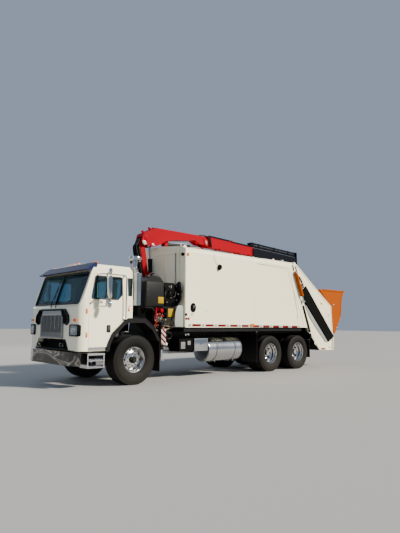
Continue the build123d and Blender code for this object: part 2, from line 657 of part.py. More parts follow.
def cab_interior():
    """Two seats, the dashboard and the steering wheel on its column."""
    pieces = []
    for y in (720, -720):
        pedestal = box(650, 790, y - 180, y + 180, CAB_FLOOR_Z, 1560)
        cushion = box(340, 830, y - 230, y + 230, 1550, 1660)
        back = side_prism([(340, 1600), (440, 1600), (330, 2250), (240, 2250)], y - 230, y + 230)
        pieces.append(fuse([pedestal, cushion, back]))
    reach = CAB_HALF_W - CAB_WALL - 70
    dash = side_prism([(1120, 1420), (1380, 1390), (1350, 1720), (1180, 1690), (1080, 1560)],
                      -reach, reach) & cab_form(CAB_WALL + RUN_GAP)
    column = rod((1130, 720, 1540), (960, 720, 1720), 35)
    ring = Plane(origin=(940, 720, 1741), z_dir=(-0.69, 0, 0.73)) * Torus(215, 18)
    spokes = Plane(origin=(940, 720, 1741), z_dir=(-0.69, 0, 0.73)) * Box(60, 420, 14)
    pieces.append(fuse([dash, column, ring, spokes]))
    return group(pieces)


def sun_visor():
    """A dark visor that slopes down and forward over the windscreen, with a plate at each end."""
    (top_x, top_z), (lip_x, lip_z) = VISOR_TOP, VISOR_LIP
    half = CAB_HALF_W - VISOR_INSET
    plate = side_prism([(top_x, top_z), (lip_x, lip_z), (lip_x + 4, lip_z - 18), (lip_x - 14, lip_z - 18),
                        (lip_x - 22, lip_z - VISOR_PLATE), (top_x - 8, top_z - VISOR_PLATE)], -half, half)
    end_outline = [(top_x - 35, top_z - 40), (top_x, top_z), (lip_x, lip_z), (lip_x, lip_z - 18),
                   (lip_x - 160, lip_z - 5), (top_x - 20, top_z - 110)]
    end = side_prism(end_outline, half - VISOR_PLATE, half)
    return fuse([plate, end, mirrored(end)]) - cab_form(0)


def cab_lamps():
    """Headlamps in their bezels, turn lamps above them and five roof markers."""
    pieces = []
    for y in (LAMP_Y, -LAMP_Y):
        bezel = box(CAB_FRONT_X - 90, CAB_FRONT_X + 18, y - 125, y + 125, 1085, 1362)
        pieces.append(fillet(bezel.edges().filter_by(Axis.X), 40) - cab_form(0))
        turn = box(CAB_FRONT_X - 60, CAB_FRONT_X + 14, y - 60, y + 60, 1412, 1472)
        pieces.append(turn - cab_form(0))
    for y in (-950, -200, 0, 200, 950):
        low, top = CAB_ROOF_Z - MARKER_SINK, CAB_ROOF_Z + MARKER_RISE
        marker = side_prism([(900, low), (990, low), (970, top), (915, top)], y - 60, y + 60)
        pieces.append(marker - cab_form(0))
    return group([max(piece.solids(), key=lambda solid: solid.volume) for piece in pieces])


def grille_outline(inset):
    """The grille's outline from the front, narrower at its header, drawn in by an inset."""
    low = [(GRILLE_HALF_W - inset, GRILLE_LOW_Z + inset), (GRILLE_HALF_W - inset, 1480),
           (GRILLE_HEAD_HALF_W + 30 - inset, GRILLE_TOP_Z - GRILLE_HEADER)]
    header = GRILLE_TOP_Z - (GRILLE_HEADER if inset else 0)
    half = low + ([] if inset else [(GRILLE_HEAD_HALF_W, header)])
    return half + [(-y, z) for y, z in reversed(half)]


def grille():
    """A framed grille just forward of the panel, wider below its header, with upright bars."""
    back = CAB_FRONT_X
    front = CAB_FRONT_X + GRILLE_STAND
    frame = front_prism(grille_outline(0), back, front)
    recess = front_prism(grille_outline(40), back + 10, front + 5)
    bars = []
    pitch = 2 * GRILLE_HALF_W / GRILLE_BARS
    for index in range(1, GRILLE_BARS):
        y = -GRILLE_HALF_W + index * pitch
        bars.append(box(back + 5, front - 6, y - 9, y + 9, GRILLE_LOW_Z, GRILLE_TOP_Z))
    return fuse([frame - recess] + [bar & front_prism(grille_outline(30), back, front) for bar in bars])


def grille_surround():
    """The black six-sided surround behind the grille."""
    half = [(GRILLE_HALF_W, GRILLE_LOW_Z), (GRILLE_HALF_W + 10, GRILLE_LOW_Z + 30),
            (SURROUND_HALF_W, 1400), (SURROUND_HALF_W, 1480), (GRILLE_HALF_W, GRILLE_TOP_Z + 35)]
    outline = half + [(-y, z) for y, z in reversed(half)]
    panel = front_prism(outline, CAB_FRONT_X, CAB_FRONT_X + SURROUND_STAND)
    return panel - front_prism(grille_outline(0), CAB_FRONT_X - 5, CAB_FRONT_X + 60)


def door():
    """The left door: as thick as the doorway, following the cab's side, with its window cut."""
    slab = side_prism(DOOR_OUTLINE, CAB_HALF_W - DOOR_WALL, CAB_HALF_W + 60) & cab_form(0)
    return slab - side_prism(DOOR_WINDOW, CAB_HALF_W - 200, CAB_HALF_W + 100)


def door_glass():
    """The left door's pane, set in the window."""
    inner = CAB_HALF_W - DOOR_WALL + 12
    return side_prism(grown(DOOR_WINDOW, -GLASS_GAP), inner, inner + 6)


def side_mirror():
    """The left mirror: a tall head with a round one below, on two arms from the door."""
    head = box(850, 930, MIRROR_Y - 105, MIRROR_Y + 105, 1900, 2400)
    head = fillet(head.edges().filter_by(Axis.X), 50)
    low = rod((850, MIRROR_Y, 1790), (925, MIRROR_Y, 1790), 95)
    post = rod((890, MIRROR_Y - 70, 1730), (890, MIRROR_Y - 70, 2470), 14)
    arms = [rod((890, MIRROR_Y - 70, z), (1000, CAB_HALF_W - 6, z), 14) for z in (1750, 2440)]
    return fuse([head, low, post] + arms) - cab_form(0)


def entry_steps():
    """Two bright steps below each door, hung from the frame."""
    outer = CAB_HALF_W
    inner = outer - STEP_DEPTH
    pieces = [box(STEP_REAR_X, STEP_FRONT_X, inner, outer, z, z + STEP_THICK) for z in STEP_TREADS_Z]
    for x in (STEP_REAR_X, STEP_FRONT_X - 25):
        pieces.append(box(x, x + 25, inner, outer - 10, STEP_TREADS_Z[0], STEP_TOP_Z + 25))
    pieces.append(box(STEP_REAR_X, STEP_FRONT_X, inner, outer, STEP_TOP_Z, STEP_TOP_Z + 40))
    pieces.append(box(930, 1010, RAIL_OUT_Y, inner + 20, STEP_TOP_Z + 5, STEP_TOP_Z + 65))
    return fuse(pieces)


def air_intake():
    """The intake stack: a can, a pipe that bends forward to a flat cap, and its stand on the frame."""
    shoulder = (STACK_X + 25, STACK_Y, 2565)
    neck = (STACK_CAP_X, STACK_Y, 2690)
    cap = (STACK_CAP_X, STACK_Y, 2885)
    pieces = [rod((STACK_X, STACK_Y, 1810), (STACK_X, STACK_Y, 2570), STACK_R),
              rod((shoulder[0], STACK_Y, 2540), shoulder, 50), Pos(*shoulder) * Sphere(53),
              rod(shoulder, neck, 50), Pos(*neck) * Sphere(53), rod(neck, cap, 50),
              rod(cap, (cap[0], STACK_Y, 2930), STACK_CAP_R),
              rod((cap[0], STACK_Y, 2925), (cap[0], STACK_Y, 2965), STACK_CAP_R - 40),
              rod((STACK_X, STACK_Y, 1590), (STACK_X, STACK_Y, 1820), STACK_R - 25),
              box(STACK_X - 40, STACK_X + 40, RAIL_OUT_Y - 60, STACK_Y + 30, 1560, 1600),
              box(STACK_X - 40, STACK_X + 40, RAIL_OUT_Y - 80, RAIL_OUT_Y - 20, RAIL_TOP, 1600)]
    return fuse(pieces)


def fuel_tank():
    """The round fuel tank on the left with two straps and its brackets."""
    tank = rod((TANK_REAR_X, TANK_Y, TANK_Z), (TANK_FRONT_X, TANK_Y, TANK_Z), TANK_R)
    tank = fillet(tank.edges(), 35)
    pieces = [tank]
    for x in (-2700, -3400):
        pieces.append(rod((x - 35, TANK_Y, TANK_Z), (x + 35, TANK_Y, TANK_Z), TANK_R + 8))
        pieces.append(box(x - 35, x + 35, RAIL_OUT_Y, TANK_Y, TANK_Z - TANK_R - 20, TANK_Z - TANK_R + 30))
        pieces.append(box(x - 35, x + 35, RAIL_OUT_Y, RAIL_OUT_Y + 40, TANK_Z - TANK_R - 20,
                          RAIL_TOP - 20))
    return fuse(pieces)


def side_boxes():
    """Tool box on the left, battery and exhaust boxes on the right, each on the rail."""
    left = fuse([box(-2340, -1870, 760, 1150, 690, 1000),
                 box(-2300, -1920, RAIL_OUT_Y, 770, 800, 860)])
    battery = fuse([box(-2200, -1400, -1150, -600, 560, 980),
                    box(-2100, -1500, -610, -RAIL_OUT_Y, 800, 860)])
    exhaust = fuse([box(-3500, -2400, -1150, -560, 520, 980),
                    box(-3300, -2600, -570, -RAIL_OUT_Y, 800, 860)])
    tanks = [fuse([rod((-1750, 700, 830), (-1130, 700, 830), 120),
                   box(-1500, -1400, RAIL_OUT_Y, 620, 800, 860)])]
    return group([left, battery, exhaust] + tanks)


def crane_base():
    """The crane's pedestal on the rails with the outrigger housing across and the slewing ring."""
    pedestal = front_prism([(-RAIL_OUT_Y, RAIL_TOP), (RAIL_OUT_Y, RAIL_TOP), (330, RING_TOP_Z - 100),
                            (-330, RING_TOP_Z - 100)], SLEW_X - 270, SLEW_X + 150)
    ring = rod((SLEW_X, 0, RING_TOP_Z - 100), (SLEW_X, 0, RING_TOP_Z), RING_R)
    housing = box(OUTRIGGER_X - HOUSING_SIDE / 2, OUTRIGGER_X + HOUSING_SIDE / 2, -1010, 1010,
                  RAIL_TOP, RAIL_TOP + HOUSING_SIDE)
    tie = box(SLEW_X + 140, OUTRIGGER_X - HOUSING_SIDE / 2 + 10, -380, 380, RAIL_TOP, RAIL_TOP + 140)
    shelf = box(-1330, OIL_TANK_FRONT_X - 10, 380, 1040, SHELF_Z, SHELF_Z + SHELF_THICK)
    arm = box(-1150, -1000, 300, 900, SHELF_Z - 250, SHELF_Z + 10)
    body = fuse([pedestal, ring, housing, tie, arm, shelf])
    beam_low = RAIL_TOP + (HOUSING_SIDE - BEAM_SIDE) / 2
    tunnel = box(OUTRIGGER_X - BEAM_SIDE / 2 - BEAM_GAP, OUTRIGGER_X + BEAM_SIDE / 2 + BEAM_GAP,
                 -1011, 1011, beam_low - RUN_GAP, beam_low + BEAM_SIDE + BEAM_GAP)
    return body - tunnel


def crane_controls():
    """The black control unit behind the oil tank, and the valve block with its levers below it."""
    low = SHELF_Z + SHELF_THICK
    unit = front_prism([(800, low), (1030, low), (1030, 2280), (960, 2400), (800, 2400)], -1330, -980)
    block = box(-900, -600, 860, 1050, 1420, SHELF_Z)
    levers = [rod((x, 1045, 1560), (x, 1090, 1700), 9) for x in (-650, -700, -750, -800, -850)]
    return group([unit, fuse([block] + levers)])


def oil_tank():
    """The hydraulic oil tank with an arched top, on the crane base's shelf."""
    low = SHELF_Z + SHELF_THICK
    middle = (OIL_TANK_FRONT_X + OIL_TANK_REAR_X) / 2
    top = ThreePointArc((OIL_TANK_REAR_X, OIL_TANK_TOP_Z), (middle, OIL_TANK_TOP_Z + OIL_TANK_ARCH),
                        (OIL_TANK_FRONT_X, OIL_TANK_TOP_Z))
    rest = Polyline((OIL_TANK_FRONT_X, OIL_TANK_TOP_Z), (OIL_TANK_FRONT_X, low), (OIL_TANK_REAR_X, low),
                    (OIL_TANK_REAR_X, OIL_TANK_TOP_Z))
    face = make_face(top.edges() + rest.edges())
    placed = Plane(origin=(0, OIL_TANK_Y, 0), x_dir=(1, 0, 0), z_dir=(0, -1, 0)) * face
    return extrude(placed, OIL_TANK_DEPTH)


def body_section(inset):
    """The load body's cross-section: upright sides, round shoulders and a crowned roof."""
    side = BODY_HALF_W - inset
    low = BODY_BOTTOM_Z + inset
    top = BODY_SIDE_TOP_Z - inset
    crown = BODY_CROWN_Z - inset
    arc = ThreePointArc((side, top), (0, crown), (-side, top))
    rest = Polyline((-side, top), (-side, low), (side, low), (side, top))
    face = make_face(arc.edges() + rest.edges())
    return Plane(origin=(0, 0, 0), x_dir=(0, 1, 0), z_dir=(1, 0, 0)) * face


def body_form(inset, front, rear):
    """The load body's form with its shoulders rounded, between two X planes."""
    form = extrude(Pos(rear, 0, 0) * body_section(inset), front - rear)
    shoulders = [edge for edge in form.edges().filter_by(Axis.X) if edge.center().Z > BODY_BOTTOM_Z + 500]
    return fillet(shoulders, BODY_SHOULDER_R - inset)


def load_body():
    """The load body: a hollow tube closed at the front, cut at a slant behind, with its rear frame."""
    outer = body_form(0, BODY_FRONT_X, -6900)
    nose = [(BODY_FRONT_X, 500), (BODY_FRONT_X - 30, 820), (BODY_FRONT_X - 85, BODY_HALF_W),
            (BODY_FRONT_X - 85, 1400), (-7000, 1400)]
    outer = outer & plan_prism([(x, -y) for x, y in nose] + list(reversed(nose)), 1200, 3500)
    inner = body_form(BODY_WALL, BODY_FRONT_X - 85 - BODY_WALL, -6950)
    collar = body_form(-COLLAR, COLLAR_EDGE[0][0], -6900)
    keep = side_prism(COLLAR_EDGE + [(-6900, 1270), (-6900, 3500)], -1300, 1300)
    shell = fuse([outer, collar & keep]) - inner
    slot = LUG_HALF_W + SEAM_GAP
    for y in HINGE_LUGS_Y:
        shell -= box(HINGE_X - 200, HINGE_X + LUG_R + 8, y - slot, y + slot,
                     HINGE_Z - LUG_R - 8, HINGE_Z + 200)
    rear_cut = [(HINGE_X - SEAM_GAP, 3600)] + BODY_REAR_LINE + [(-6770, 1200), (-7200, 1200), (-7200, 3600)]
    shell -= side_prism(rear_cut, -1400, 1400)
    pieces = [shell]
    for y in HINGE_LUGS_Y:
        pieces.append(rod((HINGE_X, y - slot - 34, HINGE_Z), (HINGE_X, y + slot + 34, HINGE_Z), HINGE_PIN_R))
        for low in (y - slot - 20, y + slot):
            pieces.append(box(HINGE_X - 16, HINGE_X + 60, low, low + 20, HINGE_Z - 40, HINGE_Z + 40))
    boss = rod((LIFT_TOP[0], BODY_HALF_W - 5, LIFT_TOP[1]),
               (LIFT_TOP[0], LIFT_Y - LIFT_EYE_HALF_W - RUN_GAP, LIFT_TOP[1]), LIFT_PIN_R)
    return fuse(pieces + [boss, mirrored(boss)])


def body_subframe():
    """Long sills on the rails, cross bearers and side rub rails under the load body."""
    pieces = []
    sill = box(SILL_REAR_X, SILL_FRONT_X, RAIL_OUT_Y - 90, RAIL_OUT_Y, RAIL_TOP, BODY_BOTTOM_Z)
    rub = box(SILL_REAR_X, SILL_FRONT_X, BODY_HALF_W - 100, BODY_HALF_W - 40, BEARER_LOW_Z,
              BODY_BOTTOM_Z)
    for piece in (sill, rub):
        pieces += [piece, mirrored(piece)]
    reach = BODY_HALF_W - 70
    pitch = (SILL_FRONT_X - SILL_REAR_X - 90) / (BEARERS - 1)
    for index in range(BEARERS):
        x = SILL_FRONT_X - 45 - index * pitch
        pieces.append(box(x - 35, x + 35, -reach, reach, BEARER_LOW_Z, BODY_BOTTOM_Z))
    return fuse(pieces)


def mud_flaps():
    """Flaps before and behind the rear wheels, hung from the body's sills and the rails' ends."""
    edge = BODY_HALF_W - 5
    front_x = REAR_AXLE_X + 635
    front = fuse([box(front_x - 6, front_x + 6, 620, edge, 300, 1130),
                  box(front_x - 20, front_x + 20, RAIL_OUT_Y, edge - 15, 1120, 1170)])
    rear_x = RAIL_REAR_X - 110
    inner = RAIL_OUT_Y - 40
    rear = fuse([box(rear_x - 6, rear_x + 6, 600, edge, 330, 880),
                 box(rear_x - 20, rear_x + 20, inner, edge - 15, 860, 900),
                 box(rear_x - 20, RAIL_REAR_X, inner, RAIL_OUT_Y, 860, 900)])
    return group([both_sides(front), both_sides(rear)])


def tailgate_shell():
    """The tailgate: two side walls, a sloping back, a floor pan and the loading mouth."""
    outer = side_prism(TAILGATE_OUTER, -BODY_HALF_W, BODY_HALF_W)
    inner = side_prism(TAILGATE_INNER, -BODY_HALF_W + TAILGATE_WALL, BODY_HALF_W - TAILGATE_WALL)
    mouth = box(-8400, -7900, -BODY_HALF_W + 130, BODY_HALF_W - 130, 1130, 1950)
    lugs = []
    for y in HINGE_LUGS_Y:
        low, high = y - LUG_HALF_W, y + LUG_HALF_W
        lugs.append(rod((HINGE_X, low, HINGE_Z), (HINGE_X, high, HINGE_Z), LUG_R))
        lugs.append(side_prism([(HINGE_X, HINGE_Z + LUG_R), (HINGE_X - 150, HINGE_Z - 40),
                                (HINGE_X - 150, HINGE_Z - 90), (HINGE_X, HINGE_Z - LUG_R)], low, high))
    bore = rod((HINGE_X, -BODY_HALF_W, HINGE_Z), (HINGE_X, BODY_HALF_W, HINGE_Z), HINGE_PIN_R + RUN_GAP)
    boss = rod((LIFT_FOOT[0], BODY_HALF_W - 5, LIFT_FOOT[1]),
               (LIFT_FOOT[0], LIFT_Y - LIFT_EYE_HALF_W - RUN_GAP, LIFT_FOOT[1]), LIFT_PIN_R)
    return fuse([outer - inner - mouth] + lugs + [boss, mirrored(boss)]) - bore


def tailgate_covers():
    """Long covers on the tailgate's sides with a low flange before them, and the seam's guide strips."""
    side = BODY_HALF_W
    cover = fuse([side_prism(COVER_OUTLINE, side, side + COVER_THICK),
                  side_prism(COVER_FLANGE, side, side + COVER_THICK / 3)])
    strip = side_prism([(-6500, 1979), (-6570, 1979), (-6924, 1134), (-6850, 1134)], side, side + 25)
    return group([both_sides(cover), both_sides(strip)])


def tail_lamps():
    """Round stop and turn lamps on the rear wall, low down beside the mouth."""
    pieces = []
    sill, low = TAILGATE_OUTER[4], TAILGATE_OUTER[3]
    slope = (low[0] - sill[0]) / (low[1] - sill[1])
    outward = Vector(-1, 0, slope).normalized()
    for z in (690, 830):
        seat = Vector(sill[0] + slope * (z - sill[1]), BODY_HALF_W - 70, z)
        pieces.append(both_sides(rod(tuple(seat), tuple(seat + outward * 16), 50)))
    return group(pieces)


def loading_hopper():
    """The open-topped hopper behind the tailgate: back and side walls and a sloping floor."""
    half = BODY_HALF_W - 20
    outer = side_prism(HOPPER_OUTER, -half, half)
    inner = side_prism(HOPPER_INNER, -half + HOPPER_WALL, half - HOPPER_WALL)
    hopper = outer - inner - side_prism(TAILGATE_OUTER, -BODY_HALF_W, BODY_HALF_W)
    rim_bar = box(REAR_END_X, REAR_END_X + 105, -half - 20, half + 20,
                  HOPPER_RIM_Z - HOPPER_RIM, HOPPER_RIM_Z)
    return fuse([hopper, rim_bar])


def cylinder_part(part_name, foot, eye, barrel_r, rod_r, split, eye_half_w, eye_r):
    """One part of a hydraulic cylinder with its ends in one plane along Y.

    The barrel runs from its own eye at the foot to the split, as a share of the whole length.
    The rod starts inside the barrel's bore and ends in its own eye.
    """
    run = Vector(*eye) - Vector(*foot)
    along = run.normalized()

    def lug(place):
        x, y, z = place
        return rod((x, y - eye_half_w, z), (x, y + eye_half_w, z), eye_r)

    if part_name == "barrel":
        neck = Vector(*foot) + along * (eye_r - 5)
        shoulder = Vector(*foot) + along * (eye_r + 12)
        mouth = Vector(*foot) + run * split
        bottom = Vector(*foot) + along * (eye_r + 30)
        solid = fuse([rod(tuple(neck), tuple(mouth), min(barrel_r, eye_half_w)),
                      rod(tuple(shoulder), tuple(mouth), barrel_r), lug(foot)])
        return solid - rod(tuple(bottom), eye, rod_r + RUN_GAP)
    stem = Vector(*foot) + along * (eye_r + 45)
    return fuse([rod(tuple(stem), eye, rod_r), lug(eye)])


def tailgate_cylinder(part_name):
    """One part of the left lift cylinder between the body's rear frame and the tailgate."""
    top = (LIFT_TOP[0], LIFT_Y, LIFT_TOP[1])
    foot = (LIFT_FOOT[0], LIFT_Y, LIFT_FOOT[1])
    return cylinder_part(part_name, top, foot, LIFT_R, LIFT_ROD_R, 0.8, LIFT_EYE_HALF_W, LIFT_EYE_R)


def sweep_blade():
    """The packer blade inside the tailgate, on its shaft across the side walls."""
    half = BODY_HALF_W - TAILGATE_WALL - RUN_GAP
    shaft = rod((BLADE_X, -half, BLADE_Z), (BLADE_X, half, BLADE_Z), 60)
    # The blade's front and rear faces by depth below the shaft
    sections = ((0, -50, 50), (400, 40, 110), (820, -10, 40))
    outline = [(BLADE_X + front, BLADE_Z - down) for down, _, front in sections]
    outline += [(BLADE_X + rear, BLADE_Z - down) for down, rear, _ in reversed(sections)]
    return fuse([shaft, side_prism(outline, -half + 20, half - 20)])


def crane_column():
    """The slewing column: a round foot and a slim box that leans forward to the boom's pivot."""
    foot = rod((SLEW_X, 0, RING_TOP_Z + RUN_GAP), (SLEW_X, 0, RING_TOP_Z + 160), RING_R - 30)
    lower = side_prism([(SLEW_X - 200, RING_TOP_Z + 150), (SLEW_X + 160, RING_TOP_Z + 150),
                        (SLEW_X + 40, 2650), (SLEW_X - 130, 2560)], -COLUMN_HALF_W - 25, COLUMN_HALF_W + 25)
    upper = side_prism([(SLEW_X - 120, 2540), (SLEW_X + 35, 2600), (PIVOT_X + 98, PIVOT_Z + 10),
                        (PIVOT_X + 55, PIVOT_Z + 88), (PIVOT_X - 50, PIVOT_Z + 88),
                        (PIVOT_X - 70, PIVOT_Z - 60)], -COLUMN_HALF_W, COLUMN_HALF_W)
    ears = []
    foot_x, foot_z = LIFT_BOOM_FOOT
    for side in (1, -1):
        ears.append(side_prism([(SLEW_X - 100, 2420), (SLEW_X - 90, 2760), (foot_x + 30, foot_z + 50),
                                (foot_x - 40, foot_z + 20), (foot_x - 40, foot_z - 40)],
                               side * 82 - 15, side * 82 + 15))
        ears.append(rod((foot_x, side * (LIFT_EYE_HALF + RUN_GAP), foot_z), (foot_x, side * 90, foot_z), 26))
        ears.append(rod((PIVOT_X, side * (COLUMN_HALF_W - 10), PIVOT_Z),
                        (PIVOT_X, side * CHEEK_OUT, PIVOT_Z), PIVOT_R))
    return fuse([foot, lower, upper] + ears)


def main_boom():
    """The main boom: cheeks either side of the column's top, cranked up and back to the elbow."""
    by_pivot = [(-100, -60), (90, 30), (26, 251), (-369, 456)]
    by_elbow = [(95, 174), (-90, 75), (-80, -85), (226, -80), (426, 15)]
    underside = [(-1022, 201), (-737, 131), (-568, 27), (-331, -70)]
    outline = [(PIVOT_X + x, PIVOT_Z + z) for x, z in by_pivot]
    outline += [(ELBOW_X + x, ELBOW_Z + z) for x, z in by_elbow]
    outline += [(PIVOT_X + x, PIVOT_Z + z) for x, z in underside]
    boom = side_prism(outline, -CHEEK_OUT, CHEEK_OUT)
    slot = side_prism([(PIVOT_X + 300, PIVOT_Z - 300), (PIVOT_X + 300, PIVOT_Z + 200),
                       (PIVOT_X - 160, PIVOT_Z + 160), (PIVOT_X - 437, PIVOT_Z + 144),
                       (PIVOT_X - 487, PIVOT_Z - 300)], -CHEEK_IN, CHEEK_IN)
    elbow = side_prism([(ELBOW_X + 330, ELBOW_Z - 175), (ELBOW_X + 330, ELBOW_Z + 125),
                        (ELBOW_X - 300, ELBOW_Z + 225), (ELBOW_X - 300, ELBOW_Z - 175)], -CHEEK_IN, CHEEK_IN)
    body = boom - slot - elbow
    for x, z in ((PIVOT_X, PIVOT_Z), (ELBOW_X, ELBOW_Z)):
        body -= rod((x, -200, z), (x, 200, z), PIVOT_R + RUN_GAP)
    eye_x, eye_z = LIFT_BOOM_EYE
    foot_x, foot_z = BOOM_FOOT
    extras = []
    for side in (1, -1):
        extras.append(rod((eye_x, side * (LIFT_EYE_HALF + RUN_GAP), eye_z),
                          (eye_x, side * (CHEEK_IN + 10), eye_z), 26))
        extras.append(side_prism([(foot_x - 70, foot_z + 145), (foot_x + 90, foot_z + 145),
                                  (foot_x + 40, foot_z - 45), (foot_x - 40, foot_z - 45)],
                                 side * 72 - 14, side * 72 + 14))
        extras.append(rod((foot_x, side * (FOLD_EYE_HALF + RUN_GAP), foot_z),
                          (foot_x, side * 80, foot_z), 24))
    return fuse([body] + extras)


def along_boom(points):
    """Points given along the second boom's axis and square to it, as (x, z) places."""
    cos, sin = math.cos(BOOM_SLOPE), math.sin(BOOM_SLOPE)
    return [(BOOM_START[0] - s * cos + t * sin, BOOM_START[1] - s * sin + t * cos) for s, t in points]


def second_boom():
    """The second boom: a tapered box tube with its elbow tongue and the lever for its cylinder."""
    tube = side_prism(along_boom([(-65, 160), (60, -160), (TUBE_END_S, -145), (TUBE_END_S + 30, 130)]),
                      -130, 130)
    by_elbow = [(-230, 175), (20, 75), (60, 0), (20, -60), (-240, -85)]
    tongue = side_prism([(ELBOW_X + x, ELBOW_Z + z) for x, z in by_elbow], -CHEEK_IN + 8, CHEEK_IN - 8)
    low = BAR_AXIS_T - BAR_DEPTH / 2 - RUN_GAP
    high = BAR_AXIS_T + BAR_DEPTH / 2 + BEAM_GAP
    bore = side_prism(along_boom([(BORE_START_S, low), (BORE_START_S, high), (TUBE_END_S + 200, high),
                                  (TUBE_END_S + 200, low)]),
                      -BAR_HALF_W - BEAM_GAP, BAR_HALF_W + BEAM_GAP)
    eye_x, eye_z = BOOM_EYE
    lever = [(ELBOW_X - 90, ELBOW_Z - 45), (ELBOW_X + 55, ELBOW_Z - 45), (eye_x + 50, eye_z + 10),
             (eye_x + 20, eye_z - 45), (eye_x - 40, eye_z - 45)]
    levers = [side_prism(lever, y - 14, y + 14) for y in (-52, 52)]
    pins = [rod((ELBOW_X, y - 20, ELBOW_Z), (ELBOW_X, y + 20, ELBOW_Z), PIVOT_R)
            for y in (-CHEEK_IN + 12, CHEEK_IN - 12)]
    stubs = [rod((eye_x, side * (FOLD_EYE_HALF + RUN_GAP), eye_z), (eye_x, side * 60, eye_z), 24)
             for side in (1, -1)]
    return fuse([tube, tongue] + levers + pins + stubs) - bore


def boom_extension():
    """The sliding extension: bar, sleeve, a guide pack on top and an end plate with its eye."""
    low = BAR_AXIS_T - BAR_DEPTH / 2
    # Each bar from the side: start and end along the boom, lower and upper face, and half its width
    bars = ((BAR_START_S, PACK_END_S, low, low + BAR_DEPTH, BAR_HALF_W),
            (TUBE_END_S + 60, PACK_END_S, -140, 120, 125),
            (TUBE_END_S + 60, PACK_END_S, 100, 180, 50),
            (TUBE_END_S - 30, PACK_END_S, 165, 215, 92),
            (TUBE_END_S + 20, PACK_END_S, 200, 262, 70),
            (TUBE_END_S + 20, PACK_END_S, 250, 300, 92),
            (PACK_END_S, PACK_END_S + TIP_PLATE, -140, 305, 140))
    pieces = [side_prism(along_boom([(start, low), (start, high), (end, high), (end, low)]), -half, half)
              for start, end, low, high, half in bars]
    pieces.append(side_prism(along_boom([(PACK_END_S + 30, -60), (PACK_END_S + 30, 60), (TIP_EYE_S + 40, 40),
                                         (TIP_EYE_S + 40, -40)]), -TIP_EYE_HALF_W, TIP_EYE_HALF_W))
    (x, z), = along_boom([(TIP_EYE_S, 0)])
    return fuse(pieces) - rod((x, -50, z), (x, 50, z), TIP_EYE_R)


def lift_cylinder(part_name):
    """One part of the cylinder that lifts the main boom."""
    foot = (LIFT_BOOM_FOOT[0], 0, LIFT_BOOM_FOOT[1])
    eye = (LIFT_BOOM_EYE[0], 0, LIFT_BOOM_EYE[1])
    return cylinder_part(part_name, foot, eye, LIFT_BARREL_R, LIFT_RAM_R, 0.56, LIFT_EYE_HALF, 45)


def boom_cylinder(part_name):
    """One part of the cylinder under the main boom that works the second boom."""
    foot = (BOOM_FOOT[0], 0, BOOM_FOOT[1])
    eye = (BOOM_EYE[0], 0, BOOM_EYE[1])
    return cylinder_part(part_name, foot, eye, FOLD_BARREL_R, FOLD_RAM_R, 0.66, FOLD_EYE_HALF, 42)


def outrigger_beam():
    """The left outrigger's sliding beam with the leg's sleeve and the striped plate."""
    z = RAIL_TOP + HOUSING_SIDE / 2
    beam = box(OUTRIGGER_X - BEAM_SIDE / 2, OUTRIGGER_X + BEAM_SIDE / 2, 150, LEG_Y,
               z - BEAM_SIDE / 2, z + BEAM_SIDE / 2)
    sleeve = rod((OUTRIGGER_X, LEG_Y, 760), (OUTRIGGER_X, LEG_Y, 1420), 58)
    plate = box(OUTRIGGER_X - 65, OUTRIGGER_X + 65, LEG_Y + 50, LEG_Y + 90, 880, 1250)
    body = fuse([beam, sleeve, plate])
    return body - rod((OUTRIGGER_X, LEG_Y, 700), (OUTRIGGER_X, LEG_Y, 1400), LEG_R + RUN_GAP)


def outrigger_leg():
    """The left leg with its foot plate."""
    stem = rod((OUTRIGGER_X, LEG_Y, 530), (OUTRIGGER_X, LEG_Y, 1380), LEG_R)
    foot = rod((OUTRIGGER_X, LEG_Y, 510), (OUTRIGGER_X, LEG_Y, 540), 95)
    return fuse([stem, foot])


